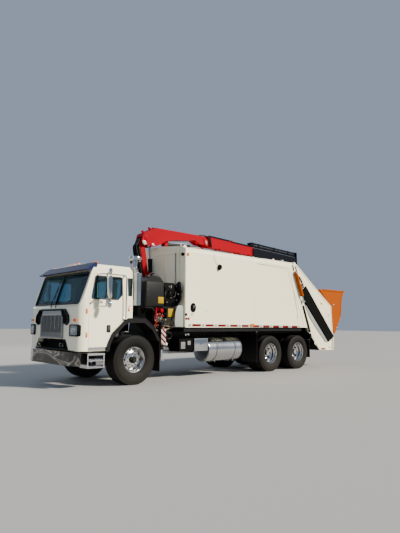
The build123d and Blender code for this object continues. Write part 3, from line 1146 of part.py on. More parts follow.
def build_nodes():
    """Every node by name."""
    nodes = {
        "frame": frame_rails(),
        "front_bumper": group([front_bumper(), both_sides(tow_eyes())]),
        "front_axle": front_axle(),
        "rear_axles": rear_axles(),
        "engine": engine(),
        "fenders": group([both_sides(fender()), mud_flaps()]),
        "cab_shell": cab_shell(),
        "cab_glass": cab_glass(),
        "cab_interior": cab_interior(),
        "sun_visor": sun_visor(),
        "cab_lamps": cab_lamps(),
        "grille": grille(),
        "grille_surround": grille_surround(),
        "entry_steps": both_sides(entry_steps()),
        "air_intake": air_intake(),
        "fuel_tank": fuel_tank(),
        "side_boxes": side_boxes(),
        "crane_base": crane_base(),
        "crane_controls": crane_controls(),
        "oil_tank": oil_tank(),
        "load_body": load_body(),
        "body_subframe": body_subframe(),
        "tailgate_shell": tailgate_shell(),
        "tailgate_covers": group([tailgate_covers(), tail_lamps()]),
        "loading_hopper": loading_hopper(),
        "sweep_blade": sweep_blade(),
        "tailgate_barrels": both_sides(tailgate_cylinder("barrel")),
        "tailgate_rods": both_sides(tailgate_cylinder("rod")),
        "crane_column": crane_column(),
        "main_boom": main_boom(),
        "second_boom": second_boom(),
        "boom_extension": boom_extension(),
        "lift_barrel": lift_cylinder("barrel"),
        "lift_rod": lift_cylinder("rod"),
        "boom_barrel": boom_cylinder("barrel"),
        "boom_rod": boom_cylinder("rod"),
    }
    left_pieces = {
        "knuckle": knuckle(),
        "door": door(),
        "door_glass": door_glass(),
        "mirror": side_mirror(),
        "outrigger_beam": outrigger_beam(),
        "outrigger_leg": outrigger_leg(),
        "front_tyre": Pos(0, FRONT_TYRE_Y, FRONT_TYRE_R) * tyre(FRONT_TYRE_R, FRONT_TYRE_W, FRONT_RIM_W),
        "front_wheel": Pos(0, FRONT_TYRE_Y, FRONT_TYRE_R) * front_wheel(),
    }
    rear_tyre = tyre(REAR_TYRE_R, REAR_TYRE_W, REAR_RIM_W)
    rear_pair = group([rear_tyre, Pos(0, -DUAL_SPACING, 0) * rear_tyre])
    rear_wheel = rear_wheel_pair()
    for name, x in (("middle", REAR_AXLE_X), ("rear", REAR_AXLE_X - TANDEM_SPACING)):
        place = Pos(x, REAR_OUTER_Y, REAR_TYRE_R)
        left_pieces[name + "_tyres"] = place * rear_pair
        left_pieces[name + "_wheels"] = place * rear_wheel
    for name, piece in left_pieces.items():
        nodes[name + "_left"] = piece
        nodes[name + "_right"] = mirrored(piece)
    return nodes


def main():
    os.makedirs("parts", exist_ok=True)
    for name, shape in build_nodes().items():
        export_step(Pos(-MIDDLE_X, 0, 0) * shape, "parts/" + name + ".step")


main()
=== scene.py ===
# %% [markdown]
# # Dressing a refuse truck with a loader crane
# The shapes with real sizes come from a CAD model: frame, cab, body, crane, wheels and joints. Blender adds
# what the eye looks for and a drawing leaves out: paint with road dust on it, polished wheels with their nuts,
# tyre tread, rubber seals, hoses, lamps and tape. Each step below names one piece of the real truck, says how
# it could be made, and why it is made this way here.

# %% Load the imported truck
import json
import math

import bmesh
import bpy
from mathutils import Matrix, Vector

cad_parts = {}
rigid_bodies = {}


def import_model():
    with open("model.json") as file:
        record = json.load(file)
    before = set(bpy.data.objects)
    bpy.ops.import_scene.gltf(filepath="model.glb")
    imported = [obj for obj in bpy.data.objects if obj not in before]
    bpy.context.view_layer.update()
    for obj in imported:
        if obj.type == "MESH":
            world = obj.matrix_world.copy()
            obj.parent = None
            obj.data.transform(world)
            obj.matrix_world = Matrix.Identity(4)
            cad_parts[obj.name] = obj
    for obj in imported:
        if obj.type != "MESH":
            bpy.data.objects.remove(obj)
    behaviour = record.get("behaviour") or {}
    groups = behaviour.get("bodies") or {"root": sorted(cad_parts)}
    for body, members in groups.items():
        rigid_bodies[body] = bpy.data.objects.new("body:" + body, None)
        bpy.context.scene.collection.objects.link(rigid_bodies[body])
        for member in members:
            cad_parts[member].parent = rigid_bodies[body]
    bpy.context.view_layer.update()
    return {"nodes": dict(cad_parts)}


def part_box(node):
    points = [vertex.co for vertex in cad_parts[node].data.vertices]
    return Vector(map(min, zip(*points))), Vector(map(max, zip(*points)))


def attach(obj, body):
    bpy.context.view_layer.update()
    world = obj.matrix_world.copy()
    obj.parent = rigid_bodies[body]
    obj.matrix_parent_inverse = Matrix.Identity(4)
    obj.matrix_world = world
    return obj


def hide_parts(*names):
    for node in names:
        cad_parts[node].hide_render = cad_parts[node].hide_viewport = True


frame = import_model()

# %% [markdown]
# ## Places
# The drawing measures along the truck from its front axle, in millimetres, while Blender works in metres from
# the middle of the vehicle. One small function turns the first into the second, so that every number below can
# be held against the drawing.

# %% From drawing places to Blender places
axle_low, axle_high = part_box("front_axle")
AXLE_FORWARD = (axle_low[0] + axle_high[0]) / 2


def at(x, y, z):
    """A place on the drawing, in millimetres from the front axle, as a point in metres."""
    return Vector((x / 1000 + AXLE_FORWARD, y / 1000, z / 1000))


MIDDLE_X = -AXLE_FORWARD * 1000
SIDES = (("left", 1), ("right", -1))
FRONT_RADIUS, REAR_RADIUS = 561, 524
FRONT_WHEEL_Y, TWIN_OUTER_Y, TWIN_INNER_Y = 1012, 1080, 745
REAR_AXLES = (("middle", -4885), ("rear", -6237))


def span(side, near, far):
    """Two distances from the middle plane, on one side of the truck, in rising order."""
    return sorted((side * near, side * far))


def sided(side, points):
    """A path of (x, y, z) places drawn on the left, moved to one side of the truck."""
    return [(x, side * y, z) for x, y, z in points]


def faced(side, outline):
    """An outline of (y, z) corners drawn on the left, moved to one side of the truck."""
    return [(side * y, z) for y, z in outline]


print("front axle at", tuple(round(v, 3) for v in at(0, 0, FRONT_RADIUS)))

# %% [markdown]
# ## Surface effects as shader groups
# Paint, plastic and rubber differ in colour, yet share what the weather does to them: road dust that climbs
# from the wheels, slow drifts of tone over a wide panel, fine grain, and scuffs. Each effect is a shader node
# group with named inputs, built once and used with its own numbers in every finish. A group only hands out
# colours, masks and heights. The shader itself stays in the material.

# %% A small helper for shader groups
def shader_group(name, inputs, outputs):
    """A new shader node group with its sockets, and its inner input and output nodes."""
    group = bpy.data.node_groups.new(name, "ShaderNodeTree")
    for label, kind, default in inputs:
        socket = group.interface.new_socket(label, in_out="INPUT", socket_type=kind)
        socket.default_value = default
    for label, kind in outputs:
        group.interface.new_socket(label, in_out="OUTPUT", socket_type=kind)
    inside = group.nodes.new("NodeGroupInput")
    outside = group.nodes.new("NodeGroupOutput")
    return group, inside, outside


def add_node(tree, kind, values=None, **settings):
    """A node with its settings, its input values given by name or number."""
    made = tree.nodes.new(kind)
    for key, value in settings.items():
        setattr(made, key, value)
    for key, value in (values or {}).items():
        made.inputs[key].default_value = value
    return made


def feed(tree, value, socket):
    """Gives a socket its value: a link from another socket, or a plain number or colour."""
    if isinstance(value, bpy.types.NodeSocket):
        tree.links.new(value, socket)
    elif value is not None:
        socket.default_value = value


def maths(tree, operation, first, second=None, clamp=False):
    """One sum on two values, each a socket or a number."""
    made = add_node(tree, "ShaderNodeMath", operation=operation, use_clamp=clamp)
    feed(tree, first, made.inputs[0])
    feed(tree, second, made.inputs[1])
    return made.outputs[0]


def mixed(tree, share, one, two, blend="MIX"):
    """Two colours mixed or multiplied by a share, each a socket or a value."""
    made = add_node(tree, "ShaderNodeMix", data_type="RGBA", blend_type=blend)
    for number, value in ((0, share), (6, one), (7, two)):
        feed(tree, value, made.inputs[number])
    return made.outputs[2]


def noise_of(tree, scale, **values):
    """The piece's own space, and a noise over it whose scale is a group input."""
    place = add_node(tree, "ShaderNodeTexCoord")
    noise = add_node(tree, "ShaderNodeTexNoise", values)
    tree.links.new(place.outputs["Object"], noise.inputs["Vector"])
    tree.links.new(scale, noise.inputs["Scale"])
    return place.outputs["Object"], noise.outputs["Fac"]


FLOAT = "NodeSocketFloat"
print("the helpers for shader groups are ready")

# %% Road dust: thick near the ground, patchy above
dust, dust_in, dust_out = shader_group(
    "road_dust", [("Top", FLOAT, 1.2), ("Amount", FLOAT, 0.5), ("Patch Size", FLOAT, 3.0)], [("Mask", FLOAT)])
place, patches = noise_of(dust, dust_in.outputs["Patch Size"], Detail=6.0, Roughness=0.62)
split = add_node(dust, "ShaderNodeSeparateXYZ")
dust.links.new(place, split.inputs[0])
height = maths(dust, "DIVIDE", split.outputs["Z"], dust_in.outputs["Top"])
fade = maths(dust, "SUBTRACT", 1.0, height, clamp=True)
patchy = maths(dust, "MULTIPLY", maths(dust, "POWER", fade, 1.3), maths(dust, "ADD", patches, 0.35))
dust.links.new(maths(dust, "MULTIPLY", patchy, dust_in.outputs["Amount"], clamp=True), dust_out.inputs["Mask"])
print("effect:", dust.name)

# %% Tone drift: a wide panel is never one colour
drift, drift_in, drift_out = shader_group(
    "tone_drift", [("Scale", FLOAT, 0.8), ("Strength", FLOAT, 0.1), ("Streaks", FLOAT, 0.0)],
    [("Value", FLOAT), ("Rough", FLOAT)])
place, clouds = noise_of(drift, drift_in.outputs["Scale"], Detail=4.0, Roughness=0.55)
stretch = add_node(drift, "ShaderNodeMapping", {"Scale": (9.0, 9.0, 0.5)})
runs = add_node(drift, "ShaderNodeTexNoise", {"Scale": 2.2, "Detail": 5.0})
drift.links.new(place, stretch.inputs["Vector"])
drift.links.new(stretch.outputs[0], runs.inputs["Vector"])
run_part = maths(drift, "MULTIPLY", maths(drift, "SUBTRACT", runs.outputs["Fac"], 0.5), drift_in.outputs["Streaks"])
cloud_part = maths(drift, "MULTIPLY", maths(drift, "SUBTRACT", clouds, 0.5), drift_in.outputs["Strength"])
total = maths(drift, "ADD", cloud_part, run_part)
drift.links.new(maths(drift, "ADD", total, 1.0), drift_out.inputs["Value"])
drift.links.new(total, drift_out.inputs["Rough"])
print("effect:", drift.name)

# %% Fine grain: orange peel on paint, pebbles on moulded plastic
grain, grain_in, grain_out = shader_group(
    "fine_grain", [("Scale", FLOAT, 400.0), ("Depth", FLOAT, 0.3)], [("Height", FLOAT), ("Rough", FLOAT)])
pebbles = noise_of(grain, grain_in.outputs["Scale"], Detail=3.0)[1]
grain.links.new(maths(grain, "MULTIPLY", pebbles, grain_in.outputs["Depth"]), grain_out.inputs["Height"])
grain.links.new(maths(grain, "MULTIPLY", maths(grain, "SUBTRACT", pebbles, 0.5), 0.12), grain_out.inputs["Rough"])
print("effect:", grain.name)

# %% Scuffs: sparse rubbed spots where hands, boots and stones touch
scuff, scuff_in, scuff_out = shader_group(
    "scuff_marks", [("Scale", FLOAT, 14.0), ("Coverage", FLOAT, 0.3), ("Sharpness", FLOAT, 9.0)], [("Mask", FLOAT)])
spots = noise_of(scuff, scuff_in.outputs["Scale"], Detail=8.0, Roughness=0.7, Distortion=0.6)[1]
threshold = maths(scuff, "SUBTRACT", 0.85, scuff_in.outputs["Coverage"])
level = maths(scuff, "SUBTRACT", spots, threshold)
scuff.links.new(maths(scuff, "MULTIPLY", level, scuff_in.outputs["Sharpness"], clamp=True), scuff_out.inputs["Mask"])
print("effect:", scuff.name)

# %% Brush lines: the fine streaks that polishing leaves in metal
brush, brush_in, brush_out = shader_group(
    "brush_lines", [("Along", FLOAT, 4.0), ("Across", FLOAT, 160.0), ("Depth", FLOAT, 0.2)],
    [("Height", FLOAT), ("Rough", FLOAT)])
place = add_node(brush, "ShaderNodeTexCoord")
pull = add_node(brush, "ShaderNodeCombineXYZ")
brush.links.new(brush_in.outputs["Along"], pull.inputs["X"])
brush.links.new(brush_in.outputs["Across"], pull.inputs["Y"])
brush.links.new(brush_in.outputs["Across"], pull.inputs["Z"])
scaled = add_node(brush, "ShaderNodeVectorMath", operation="MULTIPLY")
brush.links.new(place.outputs["Object"], scaled.inputs[0])
brush.links.new(pull.outputs[0], scaled.inputs[1])
lines = add_node(brush, "ShaderNodeTexNoise", {"Scale": 1.0, "Detail": 4.0})
brush.links.new(scaled.outputs[0], lines.inputs["Vector"])
brush.links.new(maths(brush, "MULTIPLY", lines.outputs["Fac"], brush_in.outputs["Depth"]), brush_out.inputs["Height"])
brush.links.new(maths(brush, "MULTIPLY", maths(brush, "SUBTRACT", lines.outputs["Fac"], 0.5), 0.16),
                brush_out.inputs["Rough"])
print("effects:", [group.name for group in bpy.data.node_groups])

# %% [markdown]
# ## Finishes
# Every finish is one Principled shader fed by those effects. Paint is coloured, drifts in tone, gets dull where
# dust lies and shows a faint orange peel. Metal takes brush lines instead. Writing them as one function with a
# table of numbers keeps the finishes comparable: a learner can see at a glance that tyre rubber is nothing but a
# dark colour, a high roughness and a deep grain.

# %% One function for all opaque finishes
DUST = (0.30, 0.255, 0.20, 1.0)


def blank(name, colour, alpha=1.0):
    """A new material with its node tree and its shader."""
    material = bpy.data.materials.new(name)
    material.use_nodes = True
    material.diffuse_color = (*colour, alpha)
    return material, material.node_tree, material.node_tree.nodes["Principled BSDF"]


def finish(name, colour, rough, metal=0.0, coat=0.0, drift_by=0.08, streaks=0.0, dust_top=1.2, dust_by=0.4,
           grain_scale=500.0, grain_depth=0.2, scuffs=0.0, scuff_colour=None, brushed=None, specular=0.5):
    """A material for one kind of surface, from the shared effects."""
    material, tree, shader = blank(name, colour)
    shader.inputs["Metallic"].default_value = metal
    shader.inputs["Coat Weight"].default_value = coat
    shader.inputs["Coat Roughness"].default_value = 0.06
    shader.inputs["Specular IOR Level"].default_value = specular
    tones = add_node(tree, "ShaderNodeGroup", {"Strength": drift_by, "Streaks": streaks}, node_tree=drift)
    surface = mixed(tree, 1.0, (*colour, 1.0), tones.outputs["Value"], "MULTIPLY")
    roughness = maths(tree, "ADD", tones.outputs["Rough"], rough)
    if scuffs:
        marks = add_node(tree, "ShaderNodeGroup", {"Coverage": scuffs}, node_tree=scuff).outputs["Mask"]
        worn = scuff_colour or tuple(min(1, c * 2.2 + 0.05) for c in colour)
        surface = mixed(tree, maths(tree, "MULTIPLY", marks, 0.6), surface, (*worn, 1.0))
        roughness = maths(tree, "ADD", roughness, maths(tree, "MULTIPLY", marks, 0.15))
    layer = add_node(tree, "ShaderNodeGroup", {"Top": dust_top, "Amount": dust_by}, node_tree=dust).outputs["Mask"]
    tree.links.new(mixed(tree, layer, surface, DUST), shader.inputs["Base Color"])
    roughness = maths(tree, "ADD", roughness, maths(tree, "MULTIPLY", layer, 0.4))
    values = {"Along": brushed[0], "Across": brushed[1]} if brushed else {"Scale": grain_scale}
    relief = add_node(tree, "ShaderNodeGroup", {"Depth": grain_depth, **values}, node_tree=brush if brushed else grain)
    tree.links.new(maths(tree, "ADD", roughness, relief.outputs["Rough"], clamp=True), shader.inputs["Roughness"])
    bump = add_node(tree, "ShaderNodeBump", {"Strength": 0.35, "Distance": 0.001})
    tree.links.new(relief.outputs["Height"], bump.inputs["Height"])
    tree.links.new(bump.outputs[0], shader.inputs["Normal"])
    return material


print("the function for opaque finishes is ready")

# %% Paints
white_paint = finish("white_paint", (0.90, 0.83, 0.60), 0.34, coat=0.35, drift_by=0.05, streaks=0.02,
                     dust_top=1.7, dust_by=0.16, grain_depth=0.12)
cab_white = finish("cab_white", (0.90, 0.835, 0.62), 0.26, coat=0.6, drift_by=0.04, dust_top=1.1, dust_by=0.2,
                   grain_depth=0.1)
navy_paint = finish("navy_paint", (0.004, 0.010, 0.055), 0.6, drift_by=0.1, dust_by=0.0, specular=0.12)
crane_red = finish("crane_red", (0.26, 0.0001, 0.0072), 0.42, specular=0.04, drift_by=0.08, dust_by=0.0,
                   scuffs=0.1, scuff_colour=(0.16, 0.004, 0.004))
orange_paint = finish("orange_paint", (0.30, 0.058, 0.0001), 0.5, specular=0.06, drift_by=0.12, dust_top=1.3,
                      dust_by=0.05, scuffs=0.15, scuff_colour=(0.22, 0.055, 0.008))
chassis_black = finish("chassis_black", (0.0032, 0.0032, 0.0036), 0.48, drift_by=0.3, dust_top=1.0, dust_by=0.07,
                       grain_scale=240, grain_depth=0.5, scuffs=0.1, specular=0.2)
boom_black = finish("boom_black", (0.0016, 0.0026, 0.0060), 0.55, drift_by=0.2, dust_by=0.0, scuffs=0.05,
                    specular=0.06, scuff_colour=(0.03, 0.033, 0.04))
print("paints:", len(bpy.data.materials))

# %% Plastics, castings and cloth
cover_black = finish("cover_black", (0.0010, 0.0013, 0.0012), 0.62, drift_by=0.2, dust_top=1.2, dust_by=0.02,
                     grain_scale=260, grain_depth=0.4, specular=0.05)
fender_black = finish("fender_black", (0.0030, 0.0030, 0.0034), 0.42, drift_by=0.25, dust_top=1.2, dust_by=0.05,
                      grain_scale=320, grain_depth=0.8, scuffs=0.1, specular=0.2)
tank_grey = finish("tank_grey", (0.0062, 0.0064, 0.0064), 0.5, specular=0.15, drift_by=0.15, dust_top=2.6,
                   dust_by=0.04, grain_scale=260, grain_depth=0.5, scuffs=0.15)
bracket_grey = finish("bracket_grey", (0.27, 0.29, 0.275), 0.4, drift_by=0.1, dust_top=2.0, dust_by=0.2)
step_grey = finish("step_grey", (0.13, 0.13, 0.13), 0.5, drift_by=0.2, dust_top=1.6, dust_by=0.3, scuffs=0.3)
cast_grey = finish("cast_grey", (0.055, 0.055, 0.058), 0.6, metal=0.3, drift_by=0.3, dust_top=1.4, dust_by=0.5,
                   grain_scale=160, grain_depth=1.0)
seat_cloth = finish("seat_cloth", (0.05, 0.053, 0.06), 0.85, drift_by=0.2, dust_by=0.0, grain_scale=900,
                    grain_depth=1.2)
print("finishes so far:", len(bpy.data.materials))

# %% Metals
polished = finish("polished", (0.62, 0.62, 0.625), 0.16, metal=1.0, drift_by=0.1, dust_top=1.0, dust_by=0.12,
                  brushed=(5.0, 140.0), grain_depth=0.15)
tank_metal = finish("tank_metal", (0.50, 0.52, 0.54), 0.17, metal=1.0, drift_by=0.22, dust_top=1.05, dust_by=0.42,
                    brushed=(160.0, 4.0), grain_depth=0.15)
chrome = finish("chrome", (0.56, 0.57, 0.58), 0.07, metal=1.0, drift_by=0.05, dust_top=0.9, dust_by=0.12,
                grain_depth=0.06)
rod_chrome = finish("rod_chrome", (0.52, 0.53, 0.55), 0.1, metal=1.0, drift_by=0.05, dust_by=0.0,
                    brushed=(200.0, 200.0), grain_depth=0.05)
zinc = finish("zinc", (0.38, 0.38, 0.37), 0.38, metal=0.9, drift_by=0.3, dust_top=1.3, dust_by=0.3)
bumper_chrome = finish("bumper_chrome", (0.62, 0.60, 0.585), 0.09, metal=1.0, drift_by=0.5, dust_top=0.8,
                       dust_by=0.35, grain_depth=0.06)
grille_steel = finish("grille_steel", (0.26, 0.265, 0.255), 0.34, metal=0.8, drift_by=0.15, dust_by=0.0)
print("finishes so far:", len(bpy.data.materials))

# %% Rubber, tape and the other small finishes
tyre_rubber = finish("tyre_rubber", (0.0068, 0.0066, 0.0060), 0.7, drift_by=0.25, dust_top=1.05, dust_by=0.045,
                     grain_scale=420, grain_depth=0.7, scuffs=0.12, specular=0.12)
seal_rubber = finish("seal_rubber", (0.010, 0.010, 0.010), 0.6, drift_by=0.1, dust_top=1.2, dust_by=0.2)
hose_rubber = finish("hose_rubber", (0.0028, 0.0028, 0.0028), 0.5, drift_by=0.2, dust_top=1.2, dust_by=0.08,
                     specular=0.25)
hose_tan = finish("hose_tan", (0.17, 0.105, 0.065), 0.6, drift_by=0.3, dust_top=1.8, dust_by=0.2)
lining_grey = finish("lining_grey", (0.004, 0.0045, 0.006), 0.85, specular=0.1, drift_by=0.2, dust_by=0.0)
tape_red = finish("tape_red", (0.115, 0.0012, 0.003), 0.4, specular=0.1, drift_by=0.1, dust_top=1.7, dust_by=0.15,
                  grain_scale=900, grain_depth=0.5)
tape_white = finish("tape_white", (0.45, 0.45, 0.42), 0.25, coat=0.4, drift_by=0.1, dust_top=1.7, dust_by=0.15,
                    grain_scale=900, grain_depth=0.5)
# A darker white that is painted shade along the body's panel fold.
shade_white = finish("shade_white", (0.50, 0.46, 0.34), 0.4, drift_by=0.05, dust_by=0.05)
plate_yellow = finish("plate_yellow", (0.34, 0.21, 0.0006), 0.45, specular=0.1, drift_by=0.06, dust_by=0.0)
print("opaque finishes:", len(bpy.data.materials))

# %% Painted reflections on the bumper
def paint_reflection_whorls(material, scale):
    """Painted reflection on a polished surface: soft dark and bright whorls multiplied into its colour."""
    tree = material.node_tree
    shader = tree.nodes["Principled BSDF"]
    coords = add_node(tree, "ShaderNodeTexCoord")
    stretch = add_node(tree, "ShaderNodeMapping", {"Scale": (2.2, 0.8, 2.6)})
    tree.links.new(coords.outputs["Object"], stretch.inputs["Vector"])
    whorls = add_node(tree, "ShaderNodeTexNoise", {"Scale": scale, "Detail": 1.0, "Distortion": 1.1})
    tree.links.new(stretch.outputs["Vector"], whorls.inputs["Vector"])
    ramp = add_node(tree, "ShaderNodeValToRGB")
    stops = ((0.34, 0.16), (0.44, 0.34), (0.475, 1.5), (0.51, 0.28), (0.58, 0.5), (0.63, 1.3), (0.68, 0.30))
    while len(ramp.color_ramp.elements) < len(stops):
        ramp.color_ramp.elements.new(0.5)
    for element, (place, level) in zip(ramp.color_ramp.elements, stops):
        element.position = place
        element.color = (level * 0.45, level * 0.45, level * 0.45, 1.0)
    tree.links.new(whorls.outputs["Fac"], ramp.inputs["Fac"])
    plain_colour = shader.inputs["Base Color"].links[0].from_socket
    tinted = mixed(tree, 1.0, plain_colour, ramp.outputs["Color"], "MULTIPLY")
    tree.links.new(tinted, shader.inputs["Base Color"])


# The bumper's chrome gets painted reflections and painted highlights in its base colour.
paint_reflection_whorls(bumper_chrome, 1.5)
print("the bumper's mirror is uneven")

# %% [markdown]
# Glass and lamp lenses let light through, so they get their own function. The glass is thin and blue green. A
# lens is tinted and ribbed: a Wave texture on its height gives the fine flutes of a moulded lamp lens.

# %% Glass and lenses
def clear_finish(name, colour, rough, through, flutes=0.0, glow=0.0, bending=1.45):
    """A see-through finish, with fine flutes when it is a lens."""
    material, tree, shader = blank(name, colour, 0.5)
    shader.inputs["Transmission Weight"].default_value = through
    shader.inputs["IOR"].default_value = bending
    tones = add_node(tree, "ShaderNodeGroup", {"Strength": 0.08}, node_tree=drift)
    tinted = mixed(tree, 1.0, (*colour, 1.0), tones.outputs["Value"], "MULTIPLY")
    tree.links.new(tinted, shader.inputs["Base Color"])
    layer = add_node(tree, "ShaderNodeGroup", {"Top": 2.0, "Amount": 0.05}, node_tree=dust)
    tree.links.new(maths(tree, "ADD", layer.outputs["Mask"], rough, clamp=True), shader.inputs["Roughness"])
    if flutes:
        coords = add_node(tree, "ShaderNodeTexCoord")
        ribs = add_node(tree, "ShaderNodeTexWave", {"Scale": flutes, "Distortion": 0.0}, bands_direction="Z")
        tree.links.new(coords.outputs["Object"], ribs.inputs["Vector"])
        bump = add_node(tree, "ShaderNodeBump", {"Strength": 0.5, "Distance": 0.002})
        tree.links.new(ribs.outputs["Fac"], bump.inputs["Height"])
        tree.links.new(bump.outputs[0], shader.inputs["Normal"])
    if glow:
        shader.inputs["Emission Color"].default_value = (*colour, 1.0)
        shader.inputs["Emission Strength"].default_value = glow
    return material


window_glass = clear_finish("window_glass", (0.28, 0.49, 0.58), 0.01, 0.97, bending=1.22)
lens_amber = clear_finish("lens_amber", (0.70, 0.155, 0.001), 0.12, 0.25, flutes=40, glow=0.12)
lens_red = clear_finish("lens_red", (0.30, 0.004, 0.004), 0.12, 0.25, flutes=40, glow=0.05)
lens_clear = clear_finish("lens_clear", (0.92, 0.94, 0.95), 0.05, 0.9, flutes=25)
print("finishes in all:", len(bpy.data.materials))

# %% [markdown]
# ## The tools on the bench
# Most small pieces here are plates, turned parts and rods with broken edges. A little builder collects such
# shapes in drawing millimetres, breaks their edges, marks which edges stay crisp, and hands the piece to the
# body that carries it. Sharp corners catch no light, so every plate gets its edges broken by a few millimetres.


# %% A builder for plates, turned parts and rods
PLANES = {"side": (0, 2, 1), "front": (1, 2, 0), "plan": (0, 1, 2)}


class Piece:
    """Shapes for one piece of the truck, collected in drawing millimetres."""

    def __init__(self):
        self.mesh = bmesh.new()

    def prism(self, plane, outline, low, high):
        """A plate with an outline in one plane, from one level to another."""
        first, second, third = PLANES[plane]
        ends = []
        for level in (low, high):
            ring = []
            for a, b in outline:
                place = [0.0, 0.0, 0.0]
                place[first], place[second], place[third] = a, b, level
                ring.append(self.mesh.verts.new(at(*place)))
            ends.append(ring)
        lower, upper = ends
        self.mesh.faces.new(lower)
        self.mesh.faces.new(list(reversed(upper)))
        for index in range(len(outline)):
            after = (index + 1) % len(outline)
            self.mesh.faces.new((lower[index], upper[index], upper[after], lower[after]))
        return self

    def block(self, xs, ys, zs):
        """A block between pairs of planes."""
        return self.prism("side", [(xs[0], zs[0]), (xs[1], zs[0]), (xs[1], zs[1]), (xs[0], zs[1])], *ys)

    def both(self, xs, ys, zs):
        """A block and its mirror image on the other side of the truck."""
        return self.block(xs, ys, zs).block(xs, (-ys[1], -ys[0]), zs)

    def turned(self, profile, start, end, sides=48):
        """A turned part: (distance along, radius) pairs on the line from one place towards another."""
        start, end = at(*start), at(*end)
        run = (end - start).normalized()
        across = run.cross(Vector((0, 0, 1)) if abs(run.z) < 0.9 else Vector((1, 0, 0))).normalized()
        up = run.cross(across)
        rings = []
        for along, radius in profile:
            middle = start + run * along / 1000
            if radius < 0.05:
                rings.append([self.mesh.verts.new(middle)])
                continue
            ring = []
            for step in range(sides):
                angle = math.tau * step / sides
                ring.append(self.mesh.verts.new(
                    middle + (across * math.cos(angle) + up * math.sin(angle)) * radius / 1000))
            rings.append(ring)
        closed = profile[0] == profile[-1]
        if closed:
            for vert in rings.pop():
                self.mesh.verts.remove(vert)
            rings.append(rings[0])
        for one, two in zip(rings, rings[1:]):
            for step in range(sides):
                after = (step + 1) % sides
                corners = [one[step % len(one)], one[after % len(one)], two[after % len(two)], two[step % len(two)]]
                face = [corner for number, corner in enumerate(corners) if corner not in corners[:number]]
                if len(face) > 2:
                    self.mesh.faces.new(face)
        if not closed:
            for ring in (rings[0], rings[-1]):
                if len(ring) > 2:
                    self.mesh.faces.new(ring)
        return self

    def boss(self, profile, x, y, z, side, sides=48):
        """A turned part that stands out sideways, y millimetres from the middle plane."""
        return self.turned(profile, (x, side * y, z), (x, side * (y + 100), z), sides)

    def bent_ring(self, centre, first, second, radius, thick, steps, sides):
        """A round bar bent into a ring, in the plane of two directions."""
        turns = [math.tau * step / steps for step in range(steps)]
        places = [Vector(centre) + (first * math.cos(a) + second * math.sin(a)) * radius for a in turns]
        for one, two in zip(places, places[1:] + places[:1]):
            self.turned([(0, thick), ((two - one).length, thick)], tuple(one), tuple(two), sides)
        return self

    def strip(self, plane, outer, inner, low, high, closed=False):
        """A band between two outlines with equally many corners, one small plate for each stretch."""
        pairs = list(zip(outer, inner))
        for (a, b), (c, d) in zip(pairs, pairs[1:] + (pairs[:1] if closed else [])):
            self.prism(plane, [a, c, d, b], low, high)
        return self

    def rod(self, start, end, radius, sides=16):
        """A plain round bar, used inside larger pieces."""
        length = (at(*end) - at(*start)).length * 1000
        edge = min(radius * 0.2, 3)
        return self.turned([(0, radius - edge), (edge, radius), (length - edge, radius), (length, radius - edge)],
                           start, end, sides)

    def done(self, name, material, body, edge=0.0, crisp=38):
        """Breaks the edges, shades the piece and lets it ride on its body."""
        bmesh.ops.recalc_face_normals(self.mesh, faces=self.mesh.faces)
        if edge:
            sharp = [e for e in self.mesh.edges if e.is_manifold and e.calc_face_angle() > 0.5]
            bmesh.ops.bevel(self.mesh, geom=sharp, offset=edge / 1000, segments=2, profile=0.6, affect="EDGES",
                            clamp_overlap=True)
        data = bpy.data.meshes.new(name)
        self.mesh.to_mesh(data)
        self.mesh.free()
        return settle(name, data, material, body, crisp)


print("the builder is ready")

# %% A mesh becomes a piece that rides on its body
def settle(name, data, material, body, crisp=38):
    """Makes an object of a mesh, with its finish and its body."""
    work = bmesh.new()
    work.from_mesh(data)
    for edge in work.edges:
        edge.smooth = not (edge.is_manifold and edge.calc_face_angle() > math.radians(crisp))
    for face in work.faces:
        face.smooth = True
    work.to_mesh(data)
    work.free()
    piece = bpy.data.objects.new(name, data)
    bpy.context.scene.collection.objects.link(piece)
    data.materials.clear()
    data.materials.append(material)
    if body:
        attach(piece, body)
    return piece


def tally(*words):
    """How many pieces have one of these words in their names."""
    return sum(any(word in piece.name for word in words) for piece in bpy.data.objects)


print("pieces so far:", tally(""))

# %% [markdown]
# ## Recipes for what repeats
# Nuts stand in a ring, bars in a row, tread blocks go all the way round, hoses follow a path. Copying them by
# hand would be slow to change. Geometry Nodes hold such a rule as a recipe with named inputs: one nut and a
# count give a ring. Each recipe ends in Realize Instances and Set Material, and its result is kept as a plain
# mesh, so nothing depends on the recipe later.

# %% A helper that builds and runs recipes
VECTOR, WHOLE, MATERIAL = "NodeSocketVector", "NodeSocketInt", "NodeSocketMaterial"


def new_recipe(name, inputs):
    """A Geometry Nodes tree with a geometry input, named sizes and a finish."""
    tree = bpy.data.node_groups.new(name, "GeometryNodeTree")
    tree.interface.new_socket("Geometry", in_out="INPUT", socket_type="NodeSocketGeometry")
    for label, kind, default in inputs:
        socket = tree.interface.new_socket(label, in_out="INPUT", socket_type=kind)
        socket.default_value = default
    tree.interface.new_socket("Finish", in_out="INPUT", socket_type=MATERIAL)
    tree.interface.new_socket("Geometry", in_out="OUTPUT", socket_type="NodeSocketGeometry")
    return tree, tree.nodes.new("NodeGroupInput"), tree.nodes.new("NodeGroupOutput")


def close_recipe(tree, start, end, geometry):
    """Ends a recipe: real copies, then the finish."""
    real = tree.nodes.new("GeometryNodeRealizeInstances")
    paint = tree.nodes.new("GeometryNodeSetMaterial")
    tree.links.new(geometry, real.inputs[0])
    tree.links.new(real.outputs[0], paint.inputs["Geometry"])
    tree.links.new(start.outputs["Finish"], paint.inputs["Material"])
    tree.links.new(paint.outputs[0], end.inputs[0])


